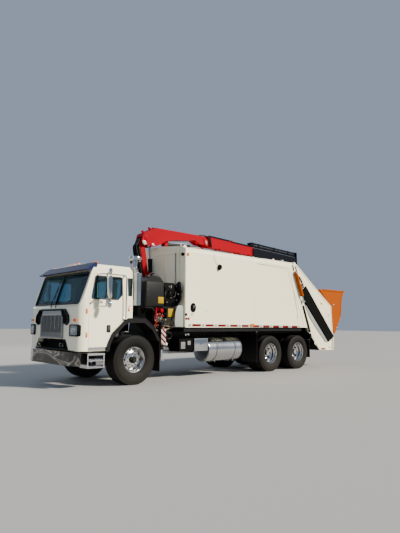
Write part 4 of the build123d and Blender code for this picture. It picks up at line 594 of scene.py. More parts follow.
def run_recipe(tree, name, data, material, body, crisp=38, **sizes):
    """Runs a recipe on a mesh and keeps the result as a plain piece."""
    holder = bpy.data.objects.new(name + "_work", data)
    bpy.context.scene.collection.objects.link(holder)
    step = holder.modifiers.new("recipe", "NODES")
    step.node_group = tree
    sizes["Finish"] = material
    for item in tree.interface.items_tree:
        label = item.name.replace(" ", "_")
        if item.item_type == "SOCKET" and item.in_out == "INPUT" and label in sizes:
            step[item.identifier] = sizes[label]
    graph = bpy.context.evaluated_depsgraph_get()
    result = bpy.data.meshes.new_from_object(holder.evaluated_get(graph), depsgraph=graph)
    holder.modifiers.remove(step)
    bpy.data.objects.remove(holder)
    result.name = name
    return settle(name, result, material, body, crisp)


print("the helpers for recipes are ready")

# %% The ring recipe: copies turned about a line along Y
ring_of, start, end = new_recipe("ring_about_axle", [("Count", WHOLE, 10), ("Centre", VECTOR, (0, 0, 0))])
spots = add_node(ring_of, "GeometryNodePoints")
ring_of.links.new(start.outputs["Count"], spots.inputs["Count"])
number = add_node(ring_of, "GeometryNodeInputIndex")
share = maths(ring_of, "DIVIDE", math.tau, start.outputs["Count"])
turn = add_node(ring_of, "ShaderNodeCombineXYZ")
ring_of.links.new(maths(ring_of, "MULTIPLY", number.outputs[0], share), turn.inputs["Y"])
copies = add_node(ring_of, "GeometryNodeInstanceOnPoints")
ring_of.links.new(spots.outputs[0], copies.inputs["Points"])
ring_of.links.new(start.outputs["Geometry"], copies.inputs["Instance"])
ring_of.links.new(turn.outputs[0], copies.inputs["Rotation"])
moved = add_node(ring_of, "GeometryNodeTransform")
ring_of.links.new(copies.outputs[0], moved.inputs["Geometry"])
ring_of.links.new(start.outputs["Centre"], moved.inputs["Translation"])
close_recipe(ring_of, start, end, moved.outputs[0])
print("recipe:", ring_of.name)

# %% The field recipe: copies in rows and columns
field_of, start, end = new_recipe(
    "rows_and_columns", [("Count", WHOLE, 5), ("Step", VECTOR, (0.1, 0, 0)), ("Rows", WHOLE, 1),
                         ("Row Step", VECTOR, (0, 0, 0.1))])
row = add_node(field_of, "GeometryNodeMeshLine", mode="OFFSET")
column = add_node(field_of, "GeometryNodeMeshLine", mode="OFFSET")
for line, count, step in ((row, "Count", "Step"), (column, "Rows", "Row Step")):
    field_of.links.new(start.outputs[count], line.inputs["Count"])
    field_of.links.new(start.outputs[step], line.inputs["Offset"])
grid = add_node(field_of, "GeometryNodeInstanceOnPoints")
field_of.links.new(column.outputs[0], grid.inputs["Points"])
field_of.links.new(row.outputs[0], grid.inputs["Instance"])
flat = add_node(field_of, "GeometryNodeRealizeInstances")
field_of.links.new(grid.outputs[0], flat.inputs[0])
copies = add_node(field_of, "GeometryNodeInstanceOnPoints")
field_of.links.new(flat.outputs[0], copies.inputs["Points"])
field_of.links.new(start.outputs["Geometry"], copies.inputs["Instance"])
close_recipe(field_of, start, end, copies.outputs[0])
print("recipe:", field_of.name)

# %% The hose recipe: a round section along a path with rounded bends
hose_along, start, end = new_recipe(
    "hose_on_path", [("Radius", FLOAT, 0.012), ("Bend", FLOAT, 0.08), ("Sides", WHOLE, 12)])
path = add_node(hose_along, "GeometryNodeMeshToCurve")
rounded = add_node(hose_along, "GeometryNodeFilletCurve", {"Limit Radius": True})
rounded.mode = "POLY"
section = add_node(hose_along, "GeometryNodeCurvePrimitiveCircle")
skin = add_node(hose_along, "GeometryNodeCurveToMesh", {"Fill Caps": True})
hose_along.links.new(start.outputs["Geometry"], path.inputs[0])
hose_along.links.new(path.outputs[0], rounded.inputs["Curve"])
rounded.inputs["Count"].default_value = 7
hose_along.links.new(start.outputs["Bend"], rounded.inputs["Radius"])
hose_along.links.new(start.outputs["Sides"], section.inputs["Resolution"])
hose_along.links.new(start.outputs["Radius"], section.inputs["Radius"])
hose_along.links.new(rounded.outputs[0], skin.inputs["Curve"])
hose_along.links.new(section.outputs[0], skin.inputs["Profile Curve"])
close_recipe(hose_along, start, end, skin.outputs[0])
print("recipe:", hose_along.name)

# %% The rivet recipe: low domes at even spacing along a path, all facing one way
rivets_along, start, end = new_recipe(
    "rivets_on_path", [("Spacing", FLOAT, 0.1), ("Radius", FLOAT, 0.008), ("Flatness", FLOAT, 0.5),
                       ("Facing", VECTOR, (0, 1, 0))])
path = add_node(rivets_along, "GeometryNodeMeshToCurve")
even = add_node(rivets_along, "GeometryNodeResampleCurve")
even.mode = "LENGTH"
dome = add_node(rivets_along, "GeometryNodeMeshUVSphere", {"Segments": 10, "Rings": 6})
flatten = add_node(rivets_along, "ShaderNodeCombineXYZ", {"X": 1.0, "Y": 1.0})
squash = add_node(rivets_along, "GeometryNodeTransform")
aim = add_node(rivets_along, "FunctionNodeAlignRotationToVector", axis="Z")
copies = add_node(rivets_along, "GeometryNodeInstanceOnPoints")
rivets_along.links.new(start.outputs["Geometry"], path.inputs[0])
rivets_along.links.new(path.outputs[0], even.inputs["Curve"])
rivets_along.links.new(start.outputs["Spacing"], even.inputs["Length"])
rivets_along.links.new(start.outputs["Radius"], dome.inputs["Radius"])
rivets_along.links.new(start.outputs["Flatness"], flatten.inputs["Z"])
rivets_along.links.new(dome.outputs[0], squash.inputs["Geometry"])
rivets_along.links.new(flatten.outputs[0], squash.inputs["Scale"])
rivets_along.links.new(start.outputs["Facing"], aim.inputs["Vector"])
rivets_along.links.new(even.outputs[0], copies.inputs["Points"])
rivets_along.links.new(squash.outputs[0], copies.inputs["Instance"])
rivets_along.links.new(aim.outputs[0], copies.inputs["Rotation"])
close_recipe(rivets_along, start, end, copies.outputs[0])
print("recipe:", rivets_along.name)

# %% The hand hole recipe: a ring of holes through a turned disc
holes_in, start, end = new_recipe(
    "hand_holes", [("Count", WHOLE, 10), ("Pitch Radius", FLOAT, 0.2), ("Hole Radius", FLOAT, 0.03),
                   ("Centre", VECTOR, (0, 0, 0)), ("Phase", FLOAT, 0.0)])
drill = add_node(holes_in, "GeometryNodeMeshCylinder", {"Vertices": 24, "Depth": 0.6})
upright = add_node(holes_in, "GeometryNodeTransform")
upright.inputs["Rotation"].default_value = (math.pi / 2, 0, 0)
holes_in.links.new(start.outputs["Hole Radius"], drill.inputs["Radius"])
holes_in.links.new(drill.outputs[0], upright.inputs["Geometry"])
spots = add_node(holes_in, "GeometryNodePoints")
holes_in.links.new(start.outputs["Count"], spots.inputs["Count"])
number = add_node(holes_in, "GeometryNodeInputIndex")
share = maths(holes_in, "DIVIDE", math.tau, start.outputs["Count"])
angle = maths(holes_in, "ADD", maths(holes_in, "MULTIPLY", number.outputs[0], share), start.outputs["Phase"])
lift = add_node(holes_in, "GeometryNodeTransform")
reach = add_node(holes_in, "ShaderNodeCombineXYZ")
holes_in.links.new(start.outputs["Pitch Radius"], reach.inputs["Z"])
holes_in.links.new(upright.outputs[0], lift.inputs["Geometry"])
holes_in.links.new(reach.outputs[0], lift.inputs["Translation"])
turn = add_node(holes_in, "ShaderNodeCombineXYZ")
holes_in.links.new(angle, turn.inputs["Y"])
copies = add_node(holes_in, "GeometryNodeInstanceOnPoints")
holes_in.links.new(spots.outputs[0], copies.inputs["Points"])
holes_in.links.new(lift.outputs[0], copies.inputs["Instance"])
holes_in.links.new(turn.outputs[0], copies.inputs["Rotation"])
moved = add_node(holes_in, "GeometryNodeTransform")
holes_in.links.new(copies.outputs[0], moved.inputs["Geometry"])
holes_in.links.new(start.outputs["Centre"], moved.inputs["Translation"])
real = add_node(holes_in, "GeometryNodeRealizeInstances")
holes_in.links.new(moved.outputs[0], real.inputs[0])
cut = add_node(holes_in, "GeometryNodeMeshBoolean", operation="DIFFERENCE")
holes_in.links.new(start.outputs["Geometry"], cut.inputs["Mesh 1"])
holes_in.links.new(real.outputs[0], cut.inputs["Mesh 2"])
close_recipe(holes_in, start, end, cut.outputs[0])
print("recipes:", [tree.name for tree in bpy.data.node_groups if tree.bl_idname == "GeometryNodeTree"])

# %% Short calls for hoses, rivets and masters
def polyline(points):
    """A path as a mesh of edges, from places on the drawing."""
    data = bpy.data.meshes.new("path")
    data.from_pydata([at(*point) for point in points], [(i, i + 1) for i in range(len(points) - 1)], [])
    return data


def hose(name, points, radius, body, bend=80, material=None, sides=12):
    """A hose or bent pipe along a few places."""
    return run_recipe(hose_along, name, polyline(points), material or hose_rubber, body, crisp=60,
                      Radius=radius / 1000, Bend=bend / 1000, Sides=sides)


def rivets(name, points, spacing, radius, facing, body, material, flat=0.5):
    """Rivets or bolt heads along a few places."""
    return run_recipe(rivets_along, name, polyline(points), material, body, crisp=60,
                      Spacing=spacing / 1000, Radius=radius / 1000, Flatness=flat, Facing=facing)


def loose_mesh(piece):
    """Takes a builder's shapes as a bare mesh, for a recipe to copy."""
    bmesh.ops.recalc_face_normals(piece.mesh, faces=piece.mesh.faces)
    data = bpy.data.meshes.new("master")
    piece.mesh.to_mesh(data)
    piece.mesh.free()
    return data


print("the calls for recipes are ready")

# %% [markdown]
# ## Dressing the CAD pieces
# Big plates and castings keep their CAD shape, because their form is already right. Each one only needs its
# finish, put in the material slots of its object. The mesh itself stays as it was packed.

# %% A finish for every carried-over CAD piece
DRESS = {
    white_paint: ["load_body", "tailgate_shell"],
    cab_white: ["cab_shell", "door_left", "door_right"],
    navy_paint: ["sun_visor"],
    crane_red: ["crane_column", "main_boom", "second_boom"],
    orange_paint: ["loading_hopper", "tailgate_barrels"],
    chassis_black: ["frame", "front_axle", "rear_axles", "body_subframe", "crane_base", "knuckle_left",
                    "knuckle_right", "lift_barrel", "boom_barrel", "outrigger_beam_left", "outrigger_beam_right"],
    boom_black: ["boom_extension"],
    cast_grey: ["engine"],
    fender_black: ["fenders", "grille_surround"],
    polished: ["entry_steps"],
    bumper_chrome: ["front_bumper"],
    rod_chrome: ["lift_rod", "boom_rod", "tailgate_rods", "outrigger_leg_left", "outrigger_leg_right"],
    step_grey: ["sweep_blade"],
    window_glass: ["cab_glass", "door_glass_left", "door_glass_right"],
    tank_grey: ["oil_tank"],
    seat_cloth: ["cab_interior"],
    cover_black: ["tailgate_covers", "crane_controls"],
    tank_metal: ["fuel_tank", "side_boxes", "air_intake"],
}
dressed = set()
for material, names in DRESS.items():
    for name in names:
        node = frame["nodes"][name]
        node.data.materials.clear()
        node.data.materials.append(material)
        dressed.add(name)
print("dressed CAD pieces:", len(dressed))

# %% [markdown]
# ## Tyres
# A truck tyre is a turned shape: bead, bulging sidewall with a few raised rings, a shoulder, and a flat tread
# with grooves running round it. The CAD tyre is a plain ring, so a finer one takes its place. Its section is
# turned about the axle, and the blocks of the tread are one master block set round the wheel by the ring recipe.

# %% Tyre sections and tread blocks
FRONT_SIZES = {"radius": FRONT_RADIUS, "half": 209, "bead": 287, "seat": 168}
REAR_SIZES = {"radius": REAR_RADIUS, "half": 139, "bead": 287, "seat": 116}


def tyre_section(size, grooves):
    """Half sections joined: (distance along the axle, radius) from the inner bead round to the outer bead."""
    radius, half, bead, seat = size["radius"], size["half"], size["bead"], size["seat"]
    wall = radius - bead
    side = [(seat, bead), (seat + 6, bead + 20), (half - 16, bead + 0.17 * wall), (half - 13, bead + 0.19 * wall),
            (half - 11, bead + 0.20 * wall), (half - 3, bead + 0.34 * wall), (half, bead + 0.46 * wall),
            (half + 1, bead + 0.50 * wall), (half - 1, bead + 0.55 * wall), (half - 4, bead + 0.66 * wall),
            (half - 3, bead + 0.68 * wall), (half - 6, bead + 0.70 * wall), (half - 14, bead + 0.82 * wall),
            (half - 20, radius - 34), (half - 26, radius - 24), (half - 46, radius - 14)]
    tread = []
    for place in grooves:
        tread += [(place + 9, radius - 1.5), (place + 7, radius - 16), (place - 7, radius - 16),
                  (place - 9, radius - 1.5)]
    right = [(-along, r) for along, r in side]
    inner = [(-seat + 20, bead + 30), (-half + 40, bead + 0.45 * wall), (-half + 60, radius - 45),
             (half - 60, radius - 45), (half - 40, bead + 0.45 * wall), (seat - 20, bead + 30)]
    top = [(half - 62, radius)] + tread + [(-half + 62, radius)]
    return side + top + right[::-1] + inner + [side[0]]


def make_tyre(name, size, centre, body, grooves, blocks):
    """A tyre with its grooves, and its shoulder and rib blocks as one more piece."""
    x, y, z = centre
    section = tyre_section(size, grooves)
    tyre = Piece().turned(section, (x, y, z), (x, y + 100, z), sides=112)
    tyre_piece = tyre.done(name, tyre_rubber, body, crisp=32)
    master = Piece()
    radius, half = size["radius"], size["half"]
    pitch = math.tau * radius / blocks
    foot, top = pitch * 0.34, pitch * 0.32
    for side in (1, -1):
        master.prism("side", [(MIDDLE_X - foot, radius - 26), (MIDDLE_X + foot, radius - 26),
                              (MIDDLE_X + top, radius - 0.5), (MIDDLE_X - top, radius - 0.5)],
                     *span(side, half - 58, half - 25))
    run_recipe(ring_of, name + "_blocks", loose_mesh(master), tyre_rubber, body, Count=blocks,
               Centre=tuple(at(x, y, z)))
    return tyre_piece


for side_name, side in SIDES:
    body = "front_wheel_" + side_name
    tyre = make_tyre("front_tyre_rubber_" + side_name, FRONT_SIZES, (0, side * FRONT_WHEEL_Y, FRONT_RADIUS), body,
                     (105, 36, -36, -105), 66)
    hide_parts("front_tyre_" + side_name)
    for axle, x in REAR_AXLES:
        body = axle + "_wheels_" + side_name
        for place, y in (("outer", TWIN_OUTER_Y), ("inner", TWIN_INNER_Y)):
            tyre = make_tyre("_".join((axle, place, "tyre_rubber", side_name)), REAR_SIZES,
                             (x, side * y, REAR_RADIUS), body, (44, 0, -44), 58)
            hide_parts(axle + "_tyres_" + side_name)

# %% [markdown]
# ## Wheels
# The wheels are forged and polished: a rolled rim, a cone-shaped disc with a ring of round hand holes, ten nuts
# on studs round a dark hub. The disc is turned first, then the hand hole recipe cuts the ring, so the number and
# size of the holes stay inputs. The nuts are one hexagon with its stud, copied round by the ring recipe.

# %% Sections of rims, discs and nuts
RIM_BEAD = 286
NUT_RING = 143
HAND_HOLES = (10, 208, 27, 0.3)  # how many, their ring's radius, their own radius, and the first one's turn


def rim_section(bead, half, lip=307):
    """A rim's closed section, from its inner flange to its outer flange."""
    outer = [(-half, lip), (-half + 7, lip + 1), (-half + 12, lip - 8), (-half + 16, bead), (-half + 60, bead - 3),
             (-half + 90, bead - 26), (half - 90, bead - 26), (half - 60, bead - 3), (half - 16, bead),
             (half - 12, lip - 8), (half - 7, lip + 1), (half, lip)]
    inner = [(half + 1, lip - 6), (half - 6, bead - 9), (half - 20, bead - 14), (half - 62, bead - 17),
             (half - 94, bead - 40), (-half + 94, bead - 40), (-half + 62, bead - 17), (-half + 20, bead - 14),
             (-half + 6, bead - 9), (-half - 1, lip - 6)]
    return outer + inner + [outer[0]]


def nut_master(radius, face, side, depth=30, stud=40):
    """One hexagon nut with its round seat and stud, standing at the top of the ring."""
    start, end = (MIDDLE_X, side * face, radius), (MIDDLE_X, side * (face + 100), radius)
    master = Piece().turned([(0, 21), (5, 21), (8, 17)], start, end, 16)
    master.turned([(6, 16.5), (depth - 3, 16.5), (depth, 13.5)], start, end, 6)
    master.turned([(depth - 4, 9), (stud, 9), (stud + 2, 7)], start, end, 12)
    return loose_mesh(master)


def disc_section(points, thick):
    """A disc's closed section from its outer face, given as (along, radius) points."""
    return points + [(along - thick, radius) for along, radius in reversed(points)] + [points[0]]


print("rim corners:", len(rim_section(RIM_BEAD, 170)))

# %% Wheels set on their axles
def make_wheel(prefix, side_name, side, centre, parts, hub, nut_face, body):
    """Rims and discs with their hand holes, then the hub and its nuts."""
    x, y, z = centre
    away = (x, y + side * 100, z)
    made = []
    for number, (section, holes) in enumerate(parts):
        shape = Piece().turned(section, centre, away, sides=96)
        name = "%s_%d_%s" % (prefix, number, side_name)
        if holes:
            count, pitch, hole, phase = holes
            piece = run_recipe(holes_in, name, loose_mesh(shape), polished, body, crisp=30, Count=count,
                               Pitch_Radius=pitch / 1000, Hole_Radius=hole / 1000, Centre=tuple(at(x, y, z)),
                               Phase=phase)
        else:
            piece = shape.done(name, polished, body, crisp=30)
        made.append(piece)
    hub_piece = Piece()
    for section in hub:
        hub_piece.turned(section, centre, away, sides=40)
    made.append(hub_piece.done(prefix + "_hub_" + side_name, chassis_black, body, crisp=30))
    nuts = run_recipe(ring_of, prefix + "_nuts_" + side_name,
                      nut_master(NUT_RING, nut_face, side), chrome, body, crisp=25, Count=10,
                      Centre=tuple(at(x, y, z)))
    made.append(nuts)
    return made


for side_name, side in SIDES:
    front = make_wheel(
        "front_wheel_disc", side_name, side, (0, side * FRONT_WHEEL_Y, FRONT_RADIUS),
        [(rim_section(RIM_BEAD, 170), None),
         (disc_section([(34, 252), (66, 240), (78, 215), (92, 178), (98, 165), (98, 60)], 15),
          HAND_HOLES)],
        [[(84, 205), (86, 60), (-60, 60), (-60, 205), (84, 205)],
         [(98, 78), (104, 82), (150, 80), (158, 74), (160, 60), (186, 57), (192, 50), (193, 0)]],
        98, "front_wheel_" + side_name)
    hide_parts("front_wheel_" + side_name)
    for axle, x in REAR_AXLES:
        outer, pair = side * TWIN_OUTER_Y, TWIN_INNER_Y - TWIN_OUTER_Y
        rear = make_wheel(
            axle + "_wheel_disc", side_name, side, (x, outer, REAR_RADIUS),
            [(rim_section(RIM_BEAD, 118), None),
             ([(a + pair, r) for a, r in rim_section(RIM_BEAD, 118)], None),
             (disc_section([(-48, 262), (-58, 245), (-104, 205), (-140, 176), (-146, 165), (-146, 60)], 16),
              HAND_HOLES),
             (disc_section([(pair + 62, 262), (pair + 70, 245), (pair + 110, 205), (-152, 176), (-162, 60)], 12),
              None)],
            [[(-160, 205), (-190, 60), (-350, 60), (-350, 205), (-160, 205)],
             [(-146, 112), (-138, 116), (-100, 114), (-92, 104), (-84, 84), (4, 80), (10, 72), (12, 0)]],
            -146, axle + "_wheels_" + side_name)
        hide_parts(axle + "_wheels_" + side_name)
        cap = Piece().turned([(0, 62), (3, 64), (8, 60), (9, 0)], (x, outer + side * 12, REAR_RADIUS),
                             (x, outer + side * 100, REAR_RADIUS), 32)
        cap.done(axle + "_axle_flange_" + side_name, zinc, axle + "_wheels_" + side_name)

# %% [markdown]
# ## The cab's face
# The face is flat sheet with separate pieces set into it: a tall grille in a bright frame, black air ducts at
# its shoulders, square lamps in bezels, amber turn lamps, and a black opening over the bumper. The grille's bars
# all have one section, so one bar is made and the row recipe sets it out at an even pitch.

# %% Grille frame, header and bars
GRILLE_EDGE = [(545, 1042), (545, 1480), (484, 1558), (452, 1650)]
GRILLE_HOLE = [(497, 1088), (497, 1470), (440, 1546)]
GRILLE_DEPTH = (1441, 1474)


def both_halves(half):
    """The whole outline of something the same on both sides, from its left half."""
    return half + [(-y, z) for y, z in reversed(half)]


grille_frame = Piece()
for one, two, three, four in ((0, 1, 1, 0), (1, 2, 2, 1)):
    left = [GRILLE_EDGE[one], GRILLE_EDGE[two], GRILLE_HOLE[three], GRILLE_HOLE[four]]
    for side in (1, -1):
        grille_frame.prism("front", faced(side, left), *GRILLE_DEPTH)
grille_frame.prism("front", both_halves([(545, 1042), (497, 1088)]), *GRILLE_DEPTH)
frame_piece = grille_frame.done("grille_frame", grille_steel, "cab", edge=5)
header = Piece().prism("front", both_halves([(440, 1546), (484, 1558), (452, 1650)]), 1441, 1473)
header.done("grille_header", zinc, "cab", edge=5)
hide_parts("grille")
lip_lines = Piece().prism("front", both_halves([(476, 1566), (474, 1574)]), 1472, 1478)
lip_lines.prism("front", both_halves([(452, 1634), (450, 1642)]), 1472, 1478)
lip_lines.done("grille_header_lines", chrome, "cab", edge=2)
upright = Piece().prism("front", [(-494, 1086), (-482, 1086), (-482, 1548), (-494, 1548)], 1450, 1470)
run_recipe(field_of, "grille_bars", loose_mesh(upright), grille_steel, "cab", Count=28, Step=(0, 0.03615, 0))
bright = Piece().prism("front", [(-380, 1250), (-369, 1250), (-369, 1540), (-380, 1540)], 1466, 1475)
run_recipe(field_of, "grille_bright_bars", loose_mesh(bright), chrome, "cab", Count=5, Step=(0, 0.187, 0))
Piece().block((1442, 1447), (-495, 495), (1090, 1545)).done("radiator_core", cast_grey, "cab", edge=1)
fin = Piece().block((1447, 1451), (-490, 490), (1096, 1098))
run_recipe(field_of, "radiator_fins", loose_mesh(fin), cast_grey, "cab", Count=36, Step=(0, 0, 0.0122))
apron = Piece().prism("front", both_halves([(497, 1088), (497, 1176)]), 1452, 1466)
apron.done("grille_apron", grille_steel, "cab", edge=4)
print("grille pieces:", tally("grille", "radiator"))

# %% Ducts at the grille's shoulders, and the lower opening
ducts, edges = Piece(), Piece()
for side in (1, -1):
    wing = faced(side, [(452, 1652), (452, 1690), (620, 1684), (790, 1540), (812, 1400), (700, 1330), (552, 1372),
                        (552, 1484), (490, 1566)])
    ducts.prism("front", wing, 1441, 1457)
    outer = faced(side, [(452, 1690), (620, 1684), (790, 1540), (812, 1400), (700, 1330)])
    inner = faced(side, [(452, 1662), (604, 1656), (756, 1528), (776, 1416), (694, 1364)])
    edges.strip("front", outer, inner, 1455, 1484)
ducts.prism("front", both_halves([(452, 1652), (452, 1690)]), 1441, 1457)
edges.prism("front", both_halves([(452, 1664), (452, 1690)]), 1455, 1480)
ducts = ducts.done("duct_panels", cover_black, "cab", edge=3)
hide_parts("grille_surround")
edges.done("duct_scoops", fender_black, "cab", edge=5)
louvre = Piece()
for side in (1, -1):
    louvre.prism("side", [(1456, 1432), (1476, 1440), (1476, 1444), (1456, 1438)], *span(side, 566, 700))
run_recipe(field_of, "duct_louvres", loose_mesh(louvre), fender_black, "cab", Count=6, Step=(0, 0, 0.03))
lip = Piece()
for side in (1, -1):
    lip.prism("front", faced(side, [(640, 1034), (656, 1030), (796, 812), (776, 804)]), 1436, 1450)
lip.done("opening_trim", seal_rubber, "cab", edge=3)
net = Piece().prism("front", both_halves([(640, 1030), (784, 806)]), 1322, 1330)
net.done("opening_net", cover_black, "cab", edge=1)
tubes = Piece()
for z in (860, 905, 950):
    tubes.rod((1290, -520, z), (1290, 520, z), 14)
tubes.both((1262, 1300), (500, 530), (830, 980))
tubes.done("cooler_pipes", cast_grey, "chassis", edge=2)
print("ducts and opening:", tally("duct", "opening", "cooler"))

# %% Head lamps, turn lamps and roof markers
bezels, backs, bowls, lenses, bulbs, ambers = (Piece() for _ in range(6))
for side in (1, -1):
    ring = faced(side, [(858, 1122), (880, 1098), (1142, 1098), (1166, 1122), (1166, 1326), (1142, 1350), (880, 1350),
                        (858, 1326)])
    inner = faced(side, [(884, 1136), (896, 1122), (1126, 1122), (1142, 1138), (1142, 1312), (1126, 1328), (896, 1328),
                         (884, 1314)])
    bezels.strip("front", ring, inner, 1352, 1466, closed=True)
    backs.prism("front", inner, 1452, 1454)
    for y in (952, 1074):
        bowls.turned([(0, 52), (4, 56), (8, 50), (6, 36), (2, 16), (0, 0)], (1453, side * y, 1225),
                     (1500, side * y, 1225), 28)
        bulbs.turned([(0, 12), (4, 12), (7, 6), (8, 0)], (1454, side * y, 1225), (1500, side * y, 1225), 14)
    lenses.prism("front", inner, 1463, 1465)
    ambers.prism("front", faced(side, [(990, 1420), (1000, 1412), (1104, 1412), (1114, 1420), (1114, 1462),
                                       (1104, 1470), (1000, 1470), (990, 1462)]), 1437, 1456)
    ambers.prism("side", [(1240, 1582), (1276, 1582), (1276, 1690), (1240, 1690)], *span(side, 1198, 1214))
    ambers.prism("side", [(1228, 1085), (1264, 1085), (1264, 1195), (1228, 1195)], *span(side, 1198, 1214))
    ambers.prism("side", [(176, 1650), (212, 1650), (212, 1778), (176, 1778)], *span(side, 1196, 1214))
head = bezels.done("head_lamp_bezels", cover_black, "cab", edge=4)
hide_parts("cab_lamps")
lamp_parts = [head, backs.done("head_lamp_backs", grille_steel, "cab", edge=1),
              bowls.done("head_lamp_bowls", chrome, "cab", crisp=30),
              lenses.done("head_lamp_lenses", lens_clear, "cab", edge=2),
              bulbs.done("head_lamp_bulbs", lens_clear, "cab")]
LAMP_FORWARD, LAMP_INNER_Y, LAMP_SWEEP = 0.008, 0.858, 0.13
for piece in lamp_parts:
    for vertex in piece.data.vertices:
        vertex.co.x += LAMP_FORWARD - max(0.0, abs(vertex.co.y) - LAMP_INNER_Y) * LAMP_SWEEP
feet = Piece()
for y in (-950, -200, 0, 200, 950):
    low, foot = (2690, 2680) if abs(y) > 500 else (2718, 2710)
    ambers.prism("side", [(905, low), (1012, low - 12), (996, low + 42), (960, low + 56), (925, low + 50)],
                 y - 52, y + 52)
    feet.prism("side", [(893, foot), (1024, foot - 12), (1020, foot + 6), (897, foot + 16)], y - 62, y + 62)
ambers.done("amber_lamps", lens_amber, "cab", edge=5)
feet.done("marker_lamp_feet", chrome, "cab", edge=3)
print("cab face done")

# %% [markdown]
# ## Windscreen, wipers and seals
# The windscreen leans back and its two panes meet at a post. A black rubber seal runs round the whole opening. A
# seal is one section along a path, so the hose recipe draws it, with the rounded corners as its bend. The wipers
# are parked upright beside the post, each a bent arm with a thin blade in a carrier.

# %% The windscreen's own directions, its seal and its post
SCREEN_LOW, SCREEN_TOP = Vector((1386, 0, 1790)), Vector((1170, 0, 2480))
SCREEN_UP = (SCREEN_TOP - SCREEN_LOW).normalized()
SCREEN_OUT = Vector((SCREEN_UP.z, 0, -SCREEN_UP.x))


FLAT_HALF, CORNER_ROUND = 1010, 190  # where the flat glass ends, and the round of its outer ends


def on_screen(y, up, out=0.0):
    """A drawing place on the windscreen: across, up its slope from the low edge, and off the glass."""
    past = max(abs(y) - FLAT_HALF, 0)
    back = CORNER_ROUND - math.sqrt(max(CORNER_ROUND ** 2 - past ** 2, 0))
    place = SCREEN_LOW + SCREEN_UP * up + SCREEN_OUT * out
    return (place.x - back, y, place.z)


SCREEN_LENGTH = (SCREEN_TOP - SCREEN_LOW).length
low, high = 4, SCREEN_LENGTH - 4
rim_path = [on_screen(y, up) for y, up in ((0, low), (-1010, low), (-1086, low), (-1086, high), (-1010, high),
                                           (1010, high), (1086, high), (1086, low), (1010, low), (0, low))]
hose("windscreen_seal", rim_path, 19, "cab", bend=45, material=seal_rubber, sides=10)
post = Piece()
for y_low, y_high, out in ((-16, -10, 12), (10, 16, 12), (-12, 12, 8)):
    corners = [on_screen(0, 0, -26), on_screen(0, SCREEN_LENGTH, -26), on_screen(0, SCREEN_LENGTH, out),
               on_screen(0, 0, out)]
    post.prism("side", [(x, z) for x, _, z in corners], y_low, y_high)
post.done("windscreen_post", seal_rubber, "cab", edge=2)
print("windscreen:", tally("windscreen"))

# %% Wipers
wipers, blades = Piece(), Piece()
for side in (1, -1):
    foot, knee, tip = on_screen(side * 120, -70, 34), on_screen(side * 105, 60, 46), on_screen(side * 70, 430, 30)
    wipers.rod((foot[0] - 30, foot[1], foot[2] - 8), foot, 22)
    wipers.rod(foot, knee, 9, 8).rod(knee, tip, 7, 8)
    blades.rod(on_screen(side * 74, 90, 22), on_screen(side * 66, 650, 22), 6, 8)
    for up in (180, 340, 560):
        bow = on_screen(side * 72, up, 34)
        wipers.rod(on_screen(side * 73, up - 60, 20), bow, 4, 6).rod(bow, on_screen(side * 71, up + 60, 20), 4, 6)
wipers.done("wiper_arms", cover_black, "cab")
blades.done("wiper_blades", seal_rubber, "cab")
print("wiper pieces:", tally("wiper"))

# %% Side and rear window seals
DOOR_WINDOW = [(1150, 1904), (1056, 2380), (1030, 2405), (410, 2405), (376, 2370), (376, 2013), (480, 1904)]


CAB_HALF, BELT_Z, ROOF_Z, LEAN_IN = 1200, 1816, 2580, 45


def cab_side_y(z):
    """How far out the cab's side lies at a height: upright to the belt, then leaning in."""
    return CAB_HALF if z < BELT_Z else CAB_HALF - LEAN_IN * (z - BELT_Z) / (ROOF_Z - BELT_Z)


for side_name, side in SIDES:
    loop = [(x, side * (cab_side_y(z) - 2), z) for x, z in DOOR_WINDOW]
    start = tuple((a + b) / 2 for a, b in zip(loop[-1], loop[0]))
    hose("door_window_seal_" + side_name, [start] + loop + [start], 15, "door_" + side_name, bend=34,
         material=seal_rubber, sides=10)
quarter = Piece()
for side in (1, -1):
    for xs, zs in (((104, 216), (1992, 2004)), ((104, 216), (2396, 2408)),
                   ((104, 116), (1992, 2408)), ((204, 216), (1992, 2408))):
        quarter.block(xs, span(side, 1158, 1192), zs)
quarter.done("quarter_window_seals", seal_rubber, "cab", edge=4)
rear_seals = Piece()
for low, high in ((-760, -420), (-330, 330), (420, 760)):
    for ys, zs in (((low - 10, high + 10), (1938, 1952)), ((low - 10, high + 10), (2398, 2412)),
                   ((low - 12, low + 2), (1938, 2412)), ((high - 2, high + 12), (1938, 2412))):
        rear_seals.block((80, 98), ys, zs)
rear_seals.done("rear_window_seals", seal_rubber, "cab", edge=4)
print("windows done")

# %% [markdown]
# ## Doors, rails and mirrors
# The door is one pressing with a recessed paddle handle, a bright tread strip along its lower edge and a grab
# rail behind it. The mirror is a tall chrome head with a round wide-angle glass below and a small one above, on
# tubes bolted to the door. Its shell is a box with cut corners, and the glass lies on its rear.

